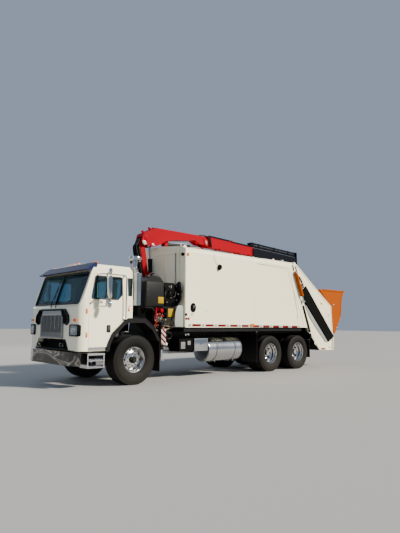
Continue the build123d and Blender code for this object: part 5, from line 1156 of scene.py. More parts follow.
# %% Door furniture
for side_name, side in SIDES:
    door = "door_" + side_name
    handle = Piece().prism("side", [(662, 1192), (668, 1180), (756, 1180), (764, 1192), (764, 1330), (756, 1342),
                                    (668, 1342), (662, 1330)], *span(side, 1196, 1204))
    handle.done("door_handle_cup_" + side_name, cover_black, door, edge=3)
    paddle = Piece().prism("side", [(680, 1212), (746, 1212), (746, 1312), (680, 1312)],
                           *span(side, 1202, 1212))
    paddle.boss([(0, 12), (6, 12), (8, 9), (8, 0)], 713, 1203, 1206, side, 16)
    paddle.done("door_handle_paddle_" + side_name, seal_rubber, door, edge=4)
    strip = Piece().prism("side", [(770, 806), (1192, 806), (1192, 872), (742, 872)], *span(side, 1199, 1204))
    strip.done("door_kick_strip_" + side_name, polished, door, edge=1.5)
    rib = Piece().prism("side", [(790, 813), (1185, 813), (1185, 817), (790, 817)], *span(side, 1203, 1208))
    run_recipe(field_of, "door_kick_ribs_" + side_name, loose_mesh(rib), polished, door, Count=6,
               Step=(0, 0, 0.0105))
    hose("grab_rail_" + side_name, sided(side, [(314, 1190, 2448), (314, 1262, 2440), (314, 1262, 1476),
                                                (314, 1192, 1468)]), 14, door, bend=40, material=chrome)
    hose("window_bar_" + side_name, sided(side, [(1176, 1195, 1800), (1172, 1250, 1838), (1120, 1262, 1868),
                                                 (940, 1262, 1850), (905, 1198, 1836)]), 11, door, bend=60,
         material=rod_chrome)
    pads = Piece()
    for x, z in ((314, 2448), (314, 1468), (1176, 1800), (905, 1836)):
        pads.turned([(0, 26), (4, 26), (7, 22), (7, 0)], (x, side * (cab_side_y(z) - 1), z), (x, side * 1300, z), 18)
    pads.done("rail_feet_" + side_name, chrome, door)
print("door furniture:", tally("handle", "kick", "grab_rail", "window_bar", "rail_feet"))

# %% Mirrors
MIRROR_INNER, MIRROR_OUTER, MIRROR_LOW, MIRROR_TOP = 1348, 1552, 1902, 2398


def mirror_outline(side, inset, cut):
    """The mirror head's outline with cut corners, drawn in by some millimetres."""
    near, far = MIRROR_INNER + inset, MIRROR_OUTER - inset
    low, high = MIRROR_LOW + 34 + inset, MIRROR_TOP - 34 - inset
    return faced(side, [(near, low), (near + cut, low - cut), (far - cut, low - cut), (far, low),
                        (far, high), (far - cut, high + cut), (near + cut, high + cut), (near, high)])


for side_name, side in SIDES:
    door = "door_" + side_name
    round_y = side * 1450
    shell = Piece()
    for inset, cut, low, high in ((0, 34, 868, 892), (7, 30, 891, 902), (18, 30, 901, 912), (34, 30, 911, 920),
                                  (56, 30, 919, 926)):
        shell.prism("front", mirror_outline(side, inset, cut), low, high)
    shell.turned([(0, 92), (10, 95), (34, 84), (52, 60), (62, 30), (65, 0)], (862, round_y, 1790),
                 (960, round_y, 1790), 36)
    shell.turned([(0, 66), (8, 68), (26, 58), (38, 36), (44, 0)], (850, round_y, 2500), (950, round_y, 2500), 30)
    mirror = shell.done("mirror_shells_" + side_name, chrome, door, edge=6)
    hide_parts("mirror_" + side_name)
    glass = Piece().block((862, 869), span(side, MIRROR_INNER + 14, MIRROR_OUTER - 14), (1930, 2370))
    glass.turned([(0, 80), (3, 80), (3, 0)], (859, round_y, 1790), (900, round_y, 1790), 36)
    glass.turned([(0, 56), (3, 56), (3, 0)], (847, round_y, 2500), (900, round_y, 2500), 30)
    glass.done("mirror_glasses_" + side_name, rod_chrome, door, edge=2)
    arm_y = side * 1380
    hose("mirror_frame_" + side_name, [(1000, side * 1162, 2440), (950, side * 1300, 2446), (892, arm_y, 2440),
                                       (892, arm_y, 1730), (960, side * 1300, 1742), (1000, side * 1198, 1750)], 13,
         door, bend=50, material=chrome)
    hose("mirror_brace_" + side_name, [(892, arm_y, 2440), (700, side * 1300, 2452), (330, side * 1240, 2452),
                                       (314, side * 1190, 2448)], 10, door, bend=60, material=chrome)
    clamps = Piece()
    for z in (1790, 2000, 2300, 2440):
        clamps.turned([(0, 22), (34, 22)], (892, arm_y - 17, z), (892, arm_y + 100, z), 16)
    clamps.rod((892, arm_y, 2440), (880, round_y, 2500), 8)
    clamps.done("mirror_clamps_" + side_name, zinc, door, edge=1)
print("doors and mirrors done")

# %% [markdown]
# ## Inside the cab
# Through the tall windows one sees two seats with headrests, the dashboard and the wheel. A seat is padded, so it
# is a crowned form with sewn channels: a rounded block whose vertices are pushed out in the middle and drawn in
# along the seams, then subdivided.

# %% A padded block, and how it stands up
def padded_block(name, xs, ys, zs, crown, channels, lean=0.0):
    """A cushion: a grid over a block, crowned in the middle, with sewn channels across it."""
    form = bmesh.new()
    bmesh.ops.create_grid(form, x_segments=14, y_segments=18, size=0.5)
    extruded = bmesh.ops.extrude_face_region(form, geom=list(form.faces))
    raised = {v for v in extruded["geom"] if isinstance(v, bmesh.types.BMVert)}
    width, depth, thick = (xs[1] - xs[0]), (ys[1] - ys[0]), (zs[1] - zs[0])
    for vert in form.verts:
        u, v = vert.co.x * 2, vert.co.y * 2
        dome = (1 - abs(u) ** 3) * (1 - abs(v) ** 3)
        pull = 1 - 0.05 * (abs(u) ** 6) * (abs(v) ** 6)
        level = zs[0]
        if vert in raised:
            groove = min(abs(v - c) for c in channels) if channels else 1
            level = zs[1] - crown + crown * dome - 9 * max(0, 1 - groove / 0.07)
        x = (xs[0] + xs[1]) / 2 + u * width / 2 * pull
        y = (ys[0] + ys[1]) / 2 + v * depth / 2 * pull
        vert.co = at(x + lean * (level - zs[0]), y, level)
    bmesh.ops.recalc_face_normals(form, faces=form.faces)
    data = bpy.data.meshes.new(name)
    form.to_mesh(data)
    form.free()
    piece = settle(name, data, seat_cloth, "cab", crisp=80)
    smooth = piece.modifiers.new("soften", "SUBSURF")
    smooth.levels = smooth.render_levels = 1
    return piece


def stand_up(piece, pivot, degrees):
    """Turns a cushion about a line across the truck, in its mesh."""
    centre = at(*pivot)
    turn = (Matrix.Translation(centre) @ Matrix.Rotation(math.radians(degrees), 4, "Y")
            @ Matrix.Translation(-centre))
    piece.data.transform(turn)


print("the padding is ready")

# %% Two seats with their headrests
SEAT_Y = 720
for side_name, side in SIDES:
    y = side * SEAT_Y
    cushion = padded_block("seat_cushion_" + side_name, (350, 820), (y - 225, y + 225), (1560, 1656), 34,
                           (-0.62, -0.2, 0.2, 0.62))
    if side_name == "left":
        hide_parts("cab_interior")
    back = padded_block("seat_back_" + side_name, (-260, 300), (y - 222, y + 222), (1640, 1726), 30,
                        (-0.6, -0.2, 0.2, 0.6))
    stand_up(back, (420, 0, 1640), 80)
    rest = padded_block("headrest_" + side_name, (0, 150), (y - 130, y + 130), (1640, 1710), 24, ())
    stand_up(rest, (150, 0, 1640), 82)
    rest.data.transform(Matrix.Translation((0.180, 0, 0.565)))
print("seat pieces:", tally("seat", "headrest"))

# %% Seat bases, dashboard and steering wheel
base = Piece()
for side in (1, -1):
    y = side * SEAT_Y
    base.prism("side", [(420, 1190), (780, 1190), (700, 1400), (800, 1560), (380, 1560), (460, 1400)], y - 150,
               y + 150)
base.prism("side", [(1120, 1400), (1370, 1385), (1330, 1700), (1250, 1735), (1160, 1700), (1085, 1580), (1100, 1470)],
           -1070, 1070)
base.rod((1130, 720, 1540), (955, 720, 1725), 32)
base.prism("side", [(1080, 1560), (1150, 1690), (1160, 1740), (1120, 1745), (1060, 1600)], 560, 880)
base.done("dash_and_seat_bases", cover_black, "cab", edge=8)
wheel_centre, wheel_hub, wheel_up = Vector((940, 720, 1741)), (950, 720, 1730), Vector((0.73, 0, 0.69))
wheel = Piece().bent_ring(wheel_centre, Vector((0, 1, 0)), wheel_up, 215, 15, 28, 10)
for a in (0.3, 2.84, 4.71):
    tip = wheel_centre + Vector((0, 205 * math.cos(a), 0)) + wheel_up * 205 * math.sin(a)
    wheel.rod(wheel_hub, tuple(tip), 11, 8)
wheel.turned([(-20, 45), (10, 50), (18, 30), (20, 0)], wheel_hub, (850, 720, 1820), 20)
wheel.done("steering_wheel", cover_black, "cab", crisp=60)
print("inside done")

# %% Dark lining on the cab's inner walls
lining = Piece().block((142, 147), (-1130, 1130), (1200, 1946)).block((142, 147), (-1090, 1090), (2404, 2560))
for y_low, y_high in ((-1110, -764), (-416, -334), (334, 416), (764, 1110)):
    lining.block((142, 147), (y_low, y_high), (1944, 2406))
lining.block((150, 1080), (-1040, 1040), (2588, 2593)).block((150, 1370), (-1120, 1120), (1184, 1188))
lining.done("cab_lining", lining_grey, "cab")
for side_name, side in SIDES:
    trim = Piece().block((440, 1130), span(side, 1140, 1146), (1240, 1880))
    trim.done("door_lining_" + side_name, lining_grey, "door_" + side_name, edge=1)
print("cab lined")

# %% [markdown]
# ## Behind the cab: stack, oil tank and valves
# The narrow space behind the cab is packed. A can and pipe bring air to the engine, an arched tank holds the
# crane's oil, and a valve block with hand levers sits below it. Flat plates are plates here, clamps are turned
# bands, and everything that carries oil is drawn with the hose recipe, because a hose always follows a path.

# %% Intake stack
STACK_X, STACK_Y, CAP_X = -205, 950, -128
stack = Piece().turned([(0, 40), (6, 150), (18, 156), (60, 156), (78, 148), (92, 120), (100, 60), (102, 0)],
                       (CAP_X, STACK_Y, 2868), (CAP_X, STACK_Y, 2990), 48)
stack.turned([(0, 62), (60, 62), (66, 54)], (CAP_X, STACK_Y, 2800), (CAP_X, STACK_Y, 2900), 32)
stack.done("stack_cap", tank_metal, "chassis", crisp=30)
clamps = Piece()
for x, z, radius in ((STACK_X, 2084, 103), (STACK_X, 2536, 103), (-150, 2640, 58)):
    clamps.turned([(0, radius - 8), (0, radius), (22, radius), (22, radius - 8), (0, radius - 8)],
                  (x, STACK_Y, z), (x, STACK_Y, z + 40), 40)
clamps.done("stack_clamps", tank_metal, "chassis", crisp=30)
vents = Piece()
for row_at in range(11):
    for column_at in range(7):
        angle, z = math.radians(-60 + column_at * 20 + (10 if row_at % 2 else 0)), 2136 + row_at * 24
        foot, tip = ((STACK_X + reach * math.sin(angle), STACK_Y + reach * math.cos(angle), z) for reach in (99, 120))
        vents.turned([(0, 7.5), (2.5, 7.5)], foot, tip, 8)
vents.done("stack_vents", seal_rubber, "chassis", crisp=30)
boot = Piece()
for step in range(9):
    boot.turned([(0, 60), (0, 96), (8, 103), (20, 103), (27, 96), (27, 60)], (STACK_X, STACK_Y, 1800 - 27 * step),
                (STACK_X, STACK_Y, 1500), 36)
boot.done("stack_boot", cover_black, "chassis", crisp=30)
print("stack pieces:", tally("stack"))

# %% Oil tank: pipe, filler, gauge, skin and blank plates
hose("tank_top_pipe", [(-452, 1020, 2500), (-478, 1046, 2556), (-540, 1056, 2598), (-610, 1058, 2604),
                       (-700, 1058, 2580), (-800, 1058, 2510), (-868, 1054, 2430), (-892, 1040, 2372)], 7, "chassis",
     bend=40, material=cast_grey)
trim = Piece().turned([(0, 52), (30, 52), (34, 60), (52, 60), (56, 50), (56, 0)], (-560, 880, 2500), (-560, 880, 2600),
                      32)
trim.turned([(0, 26), (44, 26), (48, 20), (48, 0)], (-760, 900, 2480), (-760, 900, 2600), 24)
trim.done("tank_filler_cap", cast_grey, "chassis", crisp=30)
gauge = Piece().block((-440, -420), (1060, 1066), (2080, 2180))
gauge.turned([(0, 10), (10, 10), (10, 0)], (-430, 1060, 2064), (-430, 1100, 2064), 12)
gauge.turned([(0, 10), (10, 10), (10, 0)], (-430, 1060, 2196), (-430, 1100, 2196), 12)
gauge.done("tank_gauge", cast_grey, "chassis", edge=2)
skin = Piece().prism("plan", [(-382, 592), (-372, 592), (-372, 1042), (-398, 1068), (-902, 1068), (-928, 1042),
                              (-928, 592), (-918, 592), (-918, 1038), (-898, 1061), (-402, 1061), (-382, 1038)], 1792,
                     2384)
skin.done("tank_skin", tank_grey, "chassis", edge=3)
Piece().block((-925, -375), (1060, 1066), (1794, 1812)).done("tank_seams", tank_grey, "chassis", edge=1.5)
signs = Piece().block((-912, -745), (1068, 1071), (1872, 2026))
signs.block((-1228, -1036), (1098, 1102), (1546, 1746))
signs.done("blank_yellow_plates", plate_yellow, "chassis", edge=1)
sign_back = Piece().block((-1240, -1024), (1092, 1098), (1530, 1760)).block((-1150, -1110), (1034, 1094),
                                                                            (1700, 1760))
sign_back.done("yellow_plate_back", chassis_black, "chassis", edge=2)
print("oil tank pieces:", tally("tank"))

# %% Valve block with its ports and caps, and the light grey guard
VALVE_XS = range(-650, -851, -50)
valves = Piece()
for x in VALVE_XS:
    valves.block((x - 18, x + 18), (1050, 1082), (1450, 1548))
    valves.turned([(0, 15), (40, 15), (46, 10), (46, 0)], (x, 1066, 1546), (x, 1066, 1640), 14)
    valves.turned([(0, 13), (30, 13), (34, 8), (34, 0)], (x, 1066, 1452), (x, 1066, 1300), 14)
valves.done("valve_sections", cast_grey, "chassis", edge=3)
red_parts = Piece().block((-684, -648), (1084, 1100), (1310, 1772))
red_parts.block((-760, -700), (1060, 1090), (1690, 1776))
red_parts.turned([(0, 46), (12, 52), (40, 52), (52, 40), (58, 22), (58, 0)], (-842, 1062, 1690), (-842, 1200, 1690),
                 28)
red_parts.turned([(0, 30), (10, 34), (36, 34), (44, 24), (44, 0)], (-765, 1072, 1600), (-765, 1200, 1600), 24)
red_parts.turned([(0, 24), (30, 26), (38, 16), (38, 0)], (-890, 1062, 1560), (-890, 1200, 1560), 20)
for x, z in ((-660, 1700), (-720, 1706), (-790, 1712)):
    red_parts.turned([(0, 11), (14, 16), (28, 16), (38, 9), (40, 0)], (x, 1090, z), (x - 6, 1098, z + 100), 14)
red_parts.done("red_valve_parts", crane_red, "chassis", edge=4)
fittings = Piece()
for x, y, z in ((-1338, 1076, 2300), (-1342, 1120, 2110), (-1336, 1070, 1960), (-1120, 1032, 2290),
                (-1180, 1034, 2010), (-1050, 1034, 1900)):
    fittings.turned([(0, 17), (24, 17), (24, 11), (40, 11), (40, 0)], (x, y, z), (x + 40, y + 6, z + 20), 6)
fittings.block((-1178, -1160), (1030, 1040), (2140, 2330))
fittings.done("control_unit_fittings", zinc, "chassis", crisp=30)
pale = Piece()
for x, z, radius in ((-700, 1600, 20), (-790, 1500, 24), (-850, 1602, 14), (-640, 1460, 16), (-960, 1480, 22)):
    pale.turned([(0, radius), (22, radius), (26, radius - 5), (26, 0)], (x, 1084, z), (x + 10, 1200, z - 10), 6)
pale.done("valve_ports", zinc, "chassis", crisp=30)
tags = Piece()
for x, z in ((-716, 1520), (-706, 1420), (-776, 1620), (-820, 1560), (-872, 1480), (-730, 1340)):
    tags.turned([(0, 13), (24, 13), (34, 7), (34, 0)], (x, 1082, z), (x + 8, 1200, z + 6), 10)
tags.done("valve_caps_yellow", plate_yellow, "chassis", crisp=30)
guard = Piece().prism("side", [(-1438, 1304), (-1190, 1304), (-1172, 1420), (-1186, 1640), (-1240, 1800),
                               (-1300, 1834), (-1400, 1834), (-1440, 1780)], 1172, 1200)
guard.prism("side", [(-1438, 1304), (-1404, 1304), (-1404, 1834), (-1438, 1800)], 1040, 1176)
guard.prism("side", [(-1438, 1304), (-1190, 1304), (-1190, 1336), (-1438, 1336)], 1040, 1176)
guard.block((-1330, -1270), (1020, 1180), (1762, 1788))
guard.done("valve_guard", bracket_grey, "chassis", edge=8)
print("valve pieces:", tally("valve_"))

# %% Hoses between tank, valves, column and outriggers
LOOPS = {
    "a": ([(-650, 1066, 1340), (-660, 1070, 1240), (-760, 1076, 1200), (-1020, 1060, 1240), (-1240, 1030, 1290),
           (-1300, 980, 1420)], 14),
    "b": ([(-700, 1066, 1340), (-720, 1080, 1270), (-840, 1090, 1250), (-1060, 1085, 1180), (-1180, 1050, 1120),
           (-1160, 900, 1080)], 14),
    "c": ([(-750, 1066, 1340), (-780, 1090, 1290), (-900, 1110, 1300), (-1040, 1100, 1380), (-1150, 1080, 1460),
           (-1240, 1040, 1600), (-1290, 990, 1740)], 13),
    "d": ([(-800, 1066, 1340), (-830, 1080, 1300), (-960, 1080, 1340), (-1090, 1066, 1300), (-1190, 1040, 1340),
           (-1290, 980, 1330)], 13),
    "e": ([(-850, 1066, 1340), (-870, 1060, 1280), (-930, 1000, 1220), (-1000, 880, 1170), (-1060, 600, 1160)], 13),
    "f": ([(-650, 1066, 1620), (-620, 1060, 1720), (-560, 1020, 1745), (-480, 960, 1700), (-430, 900, 1600),
           (-420, 820, 1440), (-500, 700, 1300)], 14),
    "g": ([(-1000, 1036, 2180), (-960, 1060, 2080), (-952, 1060, 1960), (-975, 1020, 1880), (-985, 940, 1840)], 14),
    "h": ([(-1332, 1000, 2330), (-1396, 1040, 2400), (-1400, 1100, 2440), (-1392, 1150, 2330), (-1388, 1190, 2200),
           (-1392, 1130, 2080), (-1388, 1110, 1980), (-1360, 1060, 1860)], 24),
    "i": ([(-1332, 960, 2280), (-1390, 1000, 2340), (-1396, 1060, 2420), (-1390, 1120, 2290), (-1390, 1160, 2140),
           (-1392, 1120, 2000), (-1380, 1060, 1900), (-1350, 1020, 1840)], 22),
    "j": ([(-1332, 1000, 2180), (-1376, 1060, 2200), (-1392, 1150, 2180), (-1390, 1170, 2060), (-1384, 1130, 1950),
           (-1350, 1060, 1850), (-1330, 1010, 1830)], 20),
    "k": ([(-1332, 940, 2060), (-1380, 980, 2140), (-1392, 1040, 2180), (-1392, 1080, 2060), (-1390, 1060, 1920),
           (-1360, 1000, 1840)], 22),
    "l": ([(-1100, 1036, 2200), (-1090, 1090, 2180), (-1110, 1110, 2080), (-1180, 1100, 2010), (-1250, 1096, 2060),
           (-1300, 1060, 2180)], 13),
}
TAN_LOOPS = {"a", "d"}
for label, (path_points, radius) in LOOPS.items():
    hose("oil_hose_" + label, path_points, radius, "chassis", bend=60,
         material=hose_tan if label in TAN_LOOPS else None)
print("oil hoses:", tally("oil_hose"))

# %% Hose fittings, lids of the control unit, lever knobs and the coiled hose
fittings = Piece()
for x in VALVE_XS:
    fittings.turned([(0, 18), (26, 18), (26, 0)], (x, 1066, 1352), (x, 1066, 1300), 6)
for y, z in ((1020, 2360), (960, 2300), (1000, 2180)):
    fittings.turned([(0, 20), (24, 20), (24, 0)], (-1328, y, z), (-1400, y, z), 6)
fittings.done("hose_fittings", zinc, "chassis", crisp=30)
unit = Piece().block((-1300, -1010), (1030, 1040), (1830, 1990)).block((-1300, -1010), (1030, 1040), (2020, 2260))
unit.rod((-1180, 1036, 2100), (-1180, 1120, 2110), 14).rod((-1100, 1036, 2160), (-1100, 1110, 2200), 12)
unit.rod((-1240, 1036, 1900), (-1240, 1100, 1860), 16)
unit.block((-1400, -1336), (930, 1060), (1880, 2330)).block((-1396, -1340), (1055, 1130), (1960, 2240))
unit.turned([(0, 44), (6, 50), (90, 50), (96, 44)], (-1366, 1090, 2250), (-1366, 1090, 2400), 28)
unit.done("control_unit_lids", cover_black, "chassis", edge=5)
levers = Piece()
for x in VALVE_XS:
    levers.turned([(0, 8), (60, 10), (90, 14), (112, 14), (122, 8), (124, 0)], (x, 1088, 1692), (x, 1108, 1800), 14)
levers.done("lever_knobs", cover_black, "chassis")
coil = Piece()
for x, z, radius, y in ((-1146, 1098, 84, 1000), (-1130, 1085, 78, 1026), (-1155, 1090, 80, 974)):
    coil.bent_ring((x, y, z), Vector((1, 0, 0)), Vector((0, 0, 1)), radius, 13, 20, 8)
coil.block((-1160, -1130), (955, 1045), (1160, 1182)).block((-1160, -1130), (955, 975), (1080, 1182))
coil.done("hose_coil", hose_rubber, "chassis", crisp=60)
print("behind the cab done")

# %% [markdown]
# ## Outriggers
# The leg slides in a sleeve on a beam that slides in the housing. Its board carries red and white slanting
# stripes, so that passers-by see it at night. Each stripe is cut to the board's outline, a small piece of
# clipping that keeps the slant exact at the edges.

# %% A stripe cut to its board
def clipped_stripe(low, high, left, right, slant, start, width):
    """A slanting stripe cut to a rectangle, as (x, z) corners going round."""
    corners = [(left, start), (right, start + slant), (right, start + slant + width), (left, start + width)]
    for limit, keep_above in ((low, True), (high, False)):
        kept = []
        for (xa, za), (xb, zb) in zip(corners, corners[1:] + corners[:1]):
            inside_a = za >= limit if keep_above else za <= limit
            inside_b = zb >= limit if keep_above else zb <= limit
            if inside_a:
                kept.append((xa, za))
            if inside_a != inside_b:
                share = (limit - za) / (zb - za)
                kept.append((xa + (xb - xa) * share, limit))
        corners = kept
        if len(corners) < 3:
            return []
    return corners


print("a whole stripe has", len(clipped_stripe(0, 100, 0, 100, 10, 20, 30)), "corners")

# %% Striped boards and leg fittings
LEG_X, LEG_Y = -815, 1120
for side_name, side in SIDES:
    beam = "outrigger_beam_" + side_name
    board = Piece().prism("side", [(-884, 878), (-746, 878), (-746, 1254), (-884, 1254)],
                          *span(side, 1209, 1213))
    board.done("stripe_board_" + side_name, tape_white, beam, edge=1)
    stripes = Piece()
    for number in range(6):
        outline = clipped_stripe(881, 1251, -881, -749, 120, 760 + number * 124, 62)
        if outline:
            stripes.prism("side", outline, *span(side, 1212, 1216))
    stripes.done("stripes_" + side_name, tape_red, beam)
    sleeve = Piece()
    for z in (770, 1000, 1390):
        sleeve.turned([(0, 62), (4, 66), (22, 66), (26, 62)], (LEG_X, side * LEG_Y, z), (LEG_X, side * LEG_Y, z + 60),
                      30)
    sleeve.rod((-870, side * 1120, 1330), (-770, side * 1120, 1330), 12)
    sleeve.block((-845, -785), span(side, 1172, 1210), (1000, 1060))
    sleeve.done("leg_sleeve_rings_" + side_name, chassis_black, beam, crisp=30)
    lamp = Piece().turned([(0, 22), (12, 26), (26, 22), (30, 12), (30, 0)], (-815, side * 1190, 1262),
                          (-815, side * 1190, 1330), 20)
    lamp.done("board_lamp_" + side_name, lens_amber, beam)
    foot = Piece().turned([(0, 88), (6, 96), (18, 96), (26, 60), (46, 40), (60, 38)], (LEG_X, side * LEG_Y, 508),
                          (LEG_X, side * LEG_Y, 600), 36)
    foot.done("leg_foot_" + side_name, zinc, "outrigger_leg_" + side_name, crisp=30)
    hose("leg_hose_" + side_name, sided(side, [(-815, 1066, 1400), (-850, 1040, 1470), (-900, 980, 1440),
                                               (-905, 900, 1300), (-880, 820, 1170)]), 11, beam, bend=50)
print("outrigger pieces:", tally("stripe", "leg_", "board_lamp"))

# %% [markdown]
# ## Column and booms
# Each crane joint turns on a steel pin that is held by a bolted keeper plate. Oil reaches the outer boom through
# hoses that run close along the column and lie on the boom's top under a black track. The sliding sections run in
# bright wear rails. All of these ride on the boom that carries them.

# %% Pins and keeper plates
SLEW_X = -1060
BOOM_PIVOT, ELBOW = (-963, 3496), (-3200, 3775)
LIFT_FOOT, LIFT_EYE = (-1300, 2640), (-1250, 3470)
FOLD_FOOT, FOLD_EYE = (-1760, 3555), (-3150, 3630)


def pin_cap(name, pin, y, radius, body, keeper_turn=0.4):
    """Pin ends on both sides, each with a keeper plate and two bolts."""
    caps, (x, z) = Piece(), pin
    for side in (1, -1):
        caps.boss([(0, radius + 14), (8, radius + 14), (10, radius), (22, radius), (26, radius - 6), (26, 0)],
                  x, y - 2, z, side, 32)
        across, up = math.cos(keeper_turn), math.sin(keeper_turn)
        plate = []
        for a, b in ((-radius - 34, -13), (radius + 34, -13), (radius + 34, 13), (-radius - 34, 13)):
            plate.append((x + a * across - b * up, z + a * up + b * across))
        caps.prism("side", plate, *span(side, y + 10, y + 18))
        for a in (-radius - 22, radius + 22):
            caps.boss([(0, 10), (8, 10), (10, 7), (10, 0)], x + a * across, y + 17, z + a * up, side, 6)
    return caps.done(name, zinc, body, crisp=30)


pin_cap("boom_pivot_caps", BOOM_PIVOT, 150, 45, "crane_column")
pin_cap("elbow_caps", ELBOW, 150, 40, "main_boom", keeper_turn=1.2)
pin_cap("lift_eye_caps", LIFT_EYE, 150, 24, "main_boom", keeper_turn=0.1)
pin_cap("lift_foot_caps", LIFT_FOOT, 97, 24, "crane_column", keeper_turn=1.5)
print("pin caps:", tally("_caps"))

# %% Column: foot bolts, slewing gear, hoses and the black hose guard
bolt_ring = Piece()
for number in range(12):
    angle = math.tau * number / 12
    place = (SLEW_X + 205 * math.cos(angle), 205 * math.sin(angle), 1896)
    bolt_ring.turned([(0, 15), (14, 15), (16, 11), (16, 0)], place, (place[0], place[1], 2000), 6)
bolt_ring.done("column_foot_bolts", zinc, "crane_column", crisp=30)
slew = Piece().turned([(0, 262), (6, 268), (70, 268), (76, 262)], (SLEW_X, 0, 1650), (SLEW_X, 0, 1800), 72)
slew.done("slewing_ring_cover", chassis_black, "chassis", crisp=30)
rack = Piece().rod((SLEW_X, -560, 1590), (SLEW_X, 560, 1590), 62, 32)
rack.both((-1110, -1010), (540, 570), (1540, 1640))
rack.done("slewing_cylinder", chassis_black, "chassis", crisp=30)
column_bits = Piece().prism("side", [(-1008, 2700), (-868, 3440), (-846, 3436), (-986, 2694)], -70, 70)
column_bits.done("column_hose_guard", chassis_black, "crane_column", edge=4)
PATHS = {
    "one": [(-900, 60, 1960), (-930, 70, 2300), (-975, 60, 2640), (-870, 55, 3080), (-790, 58, 3290),
            (-763, 60, 3406), (-823, 62, 3486), (-851, 64, 3556), (-893, 66, 3608), (-953, 66, 3618)],
    "two": [(-900, 20, 1960), (-925, 24, 2300), (-965, 20, 2640), (-850, 20, 3060), (-772, 20, 3280),
            (-752, 20, 3396), (-818, 22, 3480), (-846, 24, 3560), (-890, 26, 3610), (-950, 26, 3622)],
}
PATHS["three"] = [(x, -y, z) for x, y, z in PATHS["two"]]
PATHS["four"] = [(x, -y, z) for x, y, z in PATHS["one"]]
for label, path_points in PATHS.items():
    hose("column_hose_" + label, path_points, 17, "crane_column", bend=90)
SLEEVE_PATH = [(-925, 2660), (-838, 3000), (-776, 3260), (-764, 3360), (-770, 3420)]
for ending, y in (("", 44), ("_right", -44)):
    hose("column_hose_sleeve" + ending, [(x, y, z) for x, z in SLEEVE_PATH], 30, "crane_column", bend=90,
         material=cover_black)
column_clamps = Piece().block((-950, -905), (-90, 90), (2200, 2230)).block((-985, -940), (-90, 90), (2560, 2590))
column_clamps.block((-910, -850), (-80, 80), (2990, 3016))
column_clamps.done("column_hose_clamps", zinc, "crane_column", edge=3)
print("column pieces:", tally("column_", "slewing"))

# %% Main boom: doubler plates, lugs, and the track for the hoses
boom_trim = Piece()
for side in (1, -1):
    ys = span(side, 150, 156)
    boom_trim.prism("side", [(-1040, 3560), (-960, 3640), (-1010, 3720), (-1110, 3680)], *ys)
    boom_trim.prism("side", [(-1350, 3560), (-1180, 3540), (-1160, 3420), (-1260, 3420), (-1330, 3460)], *ys)
boom_trim.done("boom_root_doublers", crane_red, "main_boom", edge=3)
top_track = Piece().prism("side", [(-1344, 3953), (-1330, 3975), (-3010, 3972), (-3010, 3950)], -46, 46)
top_track.done("boom_hose_track", boom_black, "main_boom", edge=5)
boom_lugs = Piece()
for x, z in ((-1010, 3800), (-1230, 3920)):
    boom_lugs.prism("side", [(x - 40, z - 30), (x + 40, z + 10), (x + 30, z + 52), (x - 14, z + 60),
                             (x - 50, z + 20)], -24, 24)
boom_lugs.done("boom_lugs", crane_red, "main_boom", edge=6)
elbow_plates = Piece()
for side in (1, -1):
    elbow_plates.prism("side", [(-3300, 3700), (-3286, 3850), (-3180, 3925), (-3090, 3935), (-3130, 3700)],
                       *span(side, 150, 158))
elbow_plates.done("elbow_plates", crane_red, "main_boom", edge=4)
for label, y in (("left", 70), ("right", -70)):
    hose("elbow_hose_" + label, [(-3000, y, 3972), (-3120, y, 4000), (-3260, y, 3995), (-3370, y, 3965),
                                 (-3460, y, 3990)], 14, "main_boom", bend=60)
print("main boom pieces:", tally("boom_root", "boom_hose", "boom_lugs", "elbow_plates", "elbow_hose"))

# %% Second boom: elbow blacking, top track, and small lugs below
SECOND_ROOT, SECOND_SLOPE = (-3375, 3822), math.radians(2.2)


def boom_at(s, t):
    """A drawing place in the boom's middle plane, s along the boom and t square to it."""
    (x, z), run, rise = SECOND_ROOT, math.cos(SECOND_SLOPE), math.sin(SECOND_SLOPE)
    return (x - s * run + t * rise, z - s * rise + t * run)


def boom_plate(piece, s_range, t_range, ys, chamfer=0):
    """A plate square to the boom, given by its range along and across it."""
    (s0, s1), (t0, t1) = s_range, t_range
    corners = [(s0, t0), (s0, t1 - chamfer), (s0 + chamfer, t1), (s1 - chamfer, t1), (s1, t1 - chamfer), (s1, t0)]
    if not chamfer:
        corners = [(s0, t0), (s0, t1), (s1, t1), (s1, t0)]
    piece.prism("side", [boom_at(s, t) for s, t in corners], *ys)


def boom_pair(piece, s_range, t_range, ys, chamfer=0):
    """The same plate on both sides of the boom."""
    for side in (1, -1):
        boom_plate(piece, s_range, t_range, span(side, *ys), chamfer)


blacking = Piece()
for side in (1, -1):
    blacking.prism("side", [(-3470, 3668), (-3400, 3668), (-3310, 3936), (-3330, 3976), (-3410, 3976)],
                   *span(side, 130, 136))
blacking.done("elbow_black_bands", cover_black, "second_boom", edge=2)
track = Piece()
boom_pair(track, (-20, 900), (140, 190), (62, 134), 8)
boom_pair(track, (920, 1890), (124, 172), (62, 134), 8)
track.done("second_boom_track", boom_black, "second_boom", edge=4)
bump = Piece()
boom_pair(bump, (960, 1030), (150, 204), (96, 138), 14)
bump.done("second_boom_bump", crane_red, "second_boom", edge=5)
lugs = Piece()
boom_plate(lugs, (860, 940), (140, 196), (-40, 40), 16)
for s in (420, 1280, 1760):
    boom_pair(lugs, (s, s + 70), (-186, -148), (60, 96))
boom_pair(lugs, (1850, 1942), (-152, -60), (129, 138))
lugs.done("second_boom_lugs", crane_red, "second_boom", edge=4)
collar = Piece()
boom_pair(collar, (1894, 1944), (-150, 132), (129, 137))
collar.done("second_boom_mouth_collar", crane_red, "second_boom", edge=3)
print("second boom pieces:", tally("second_boom_", "elbow_black"))

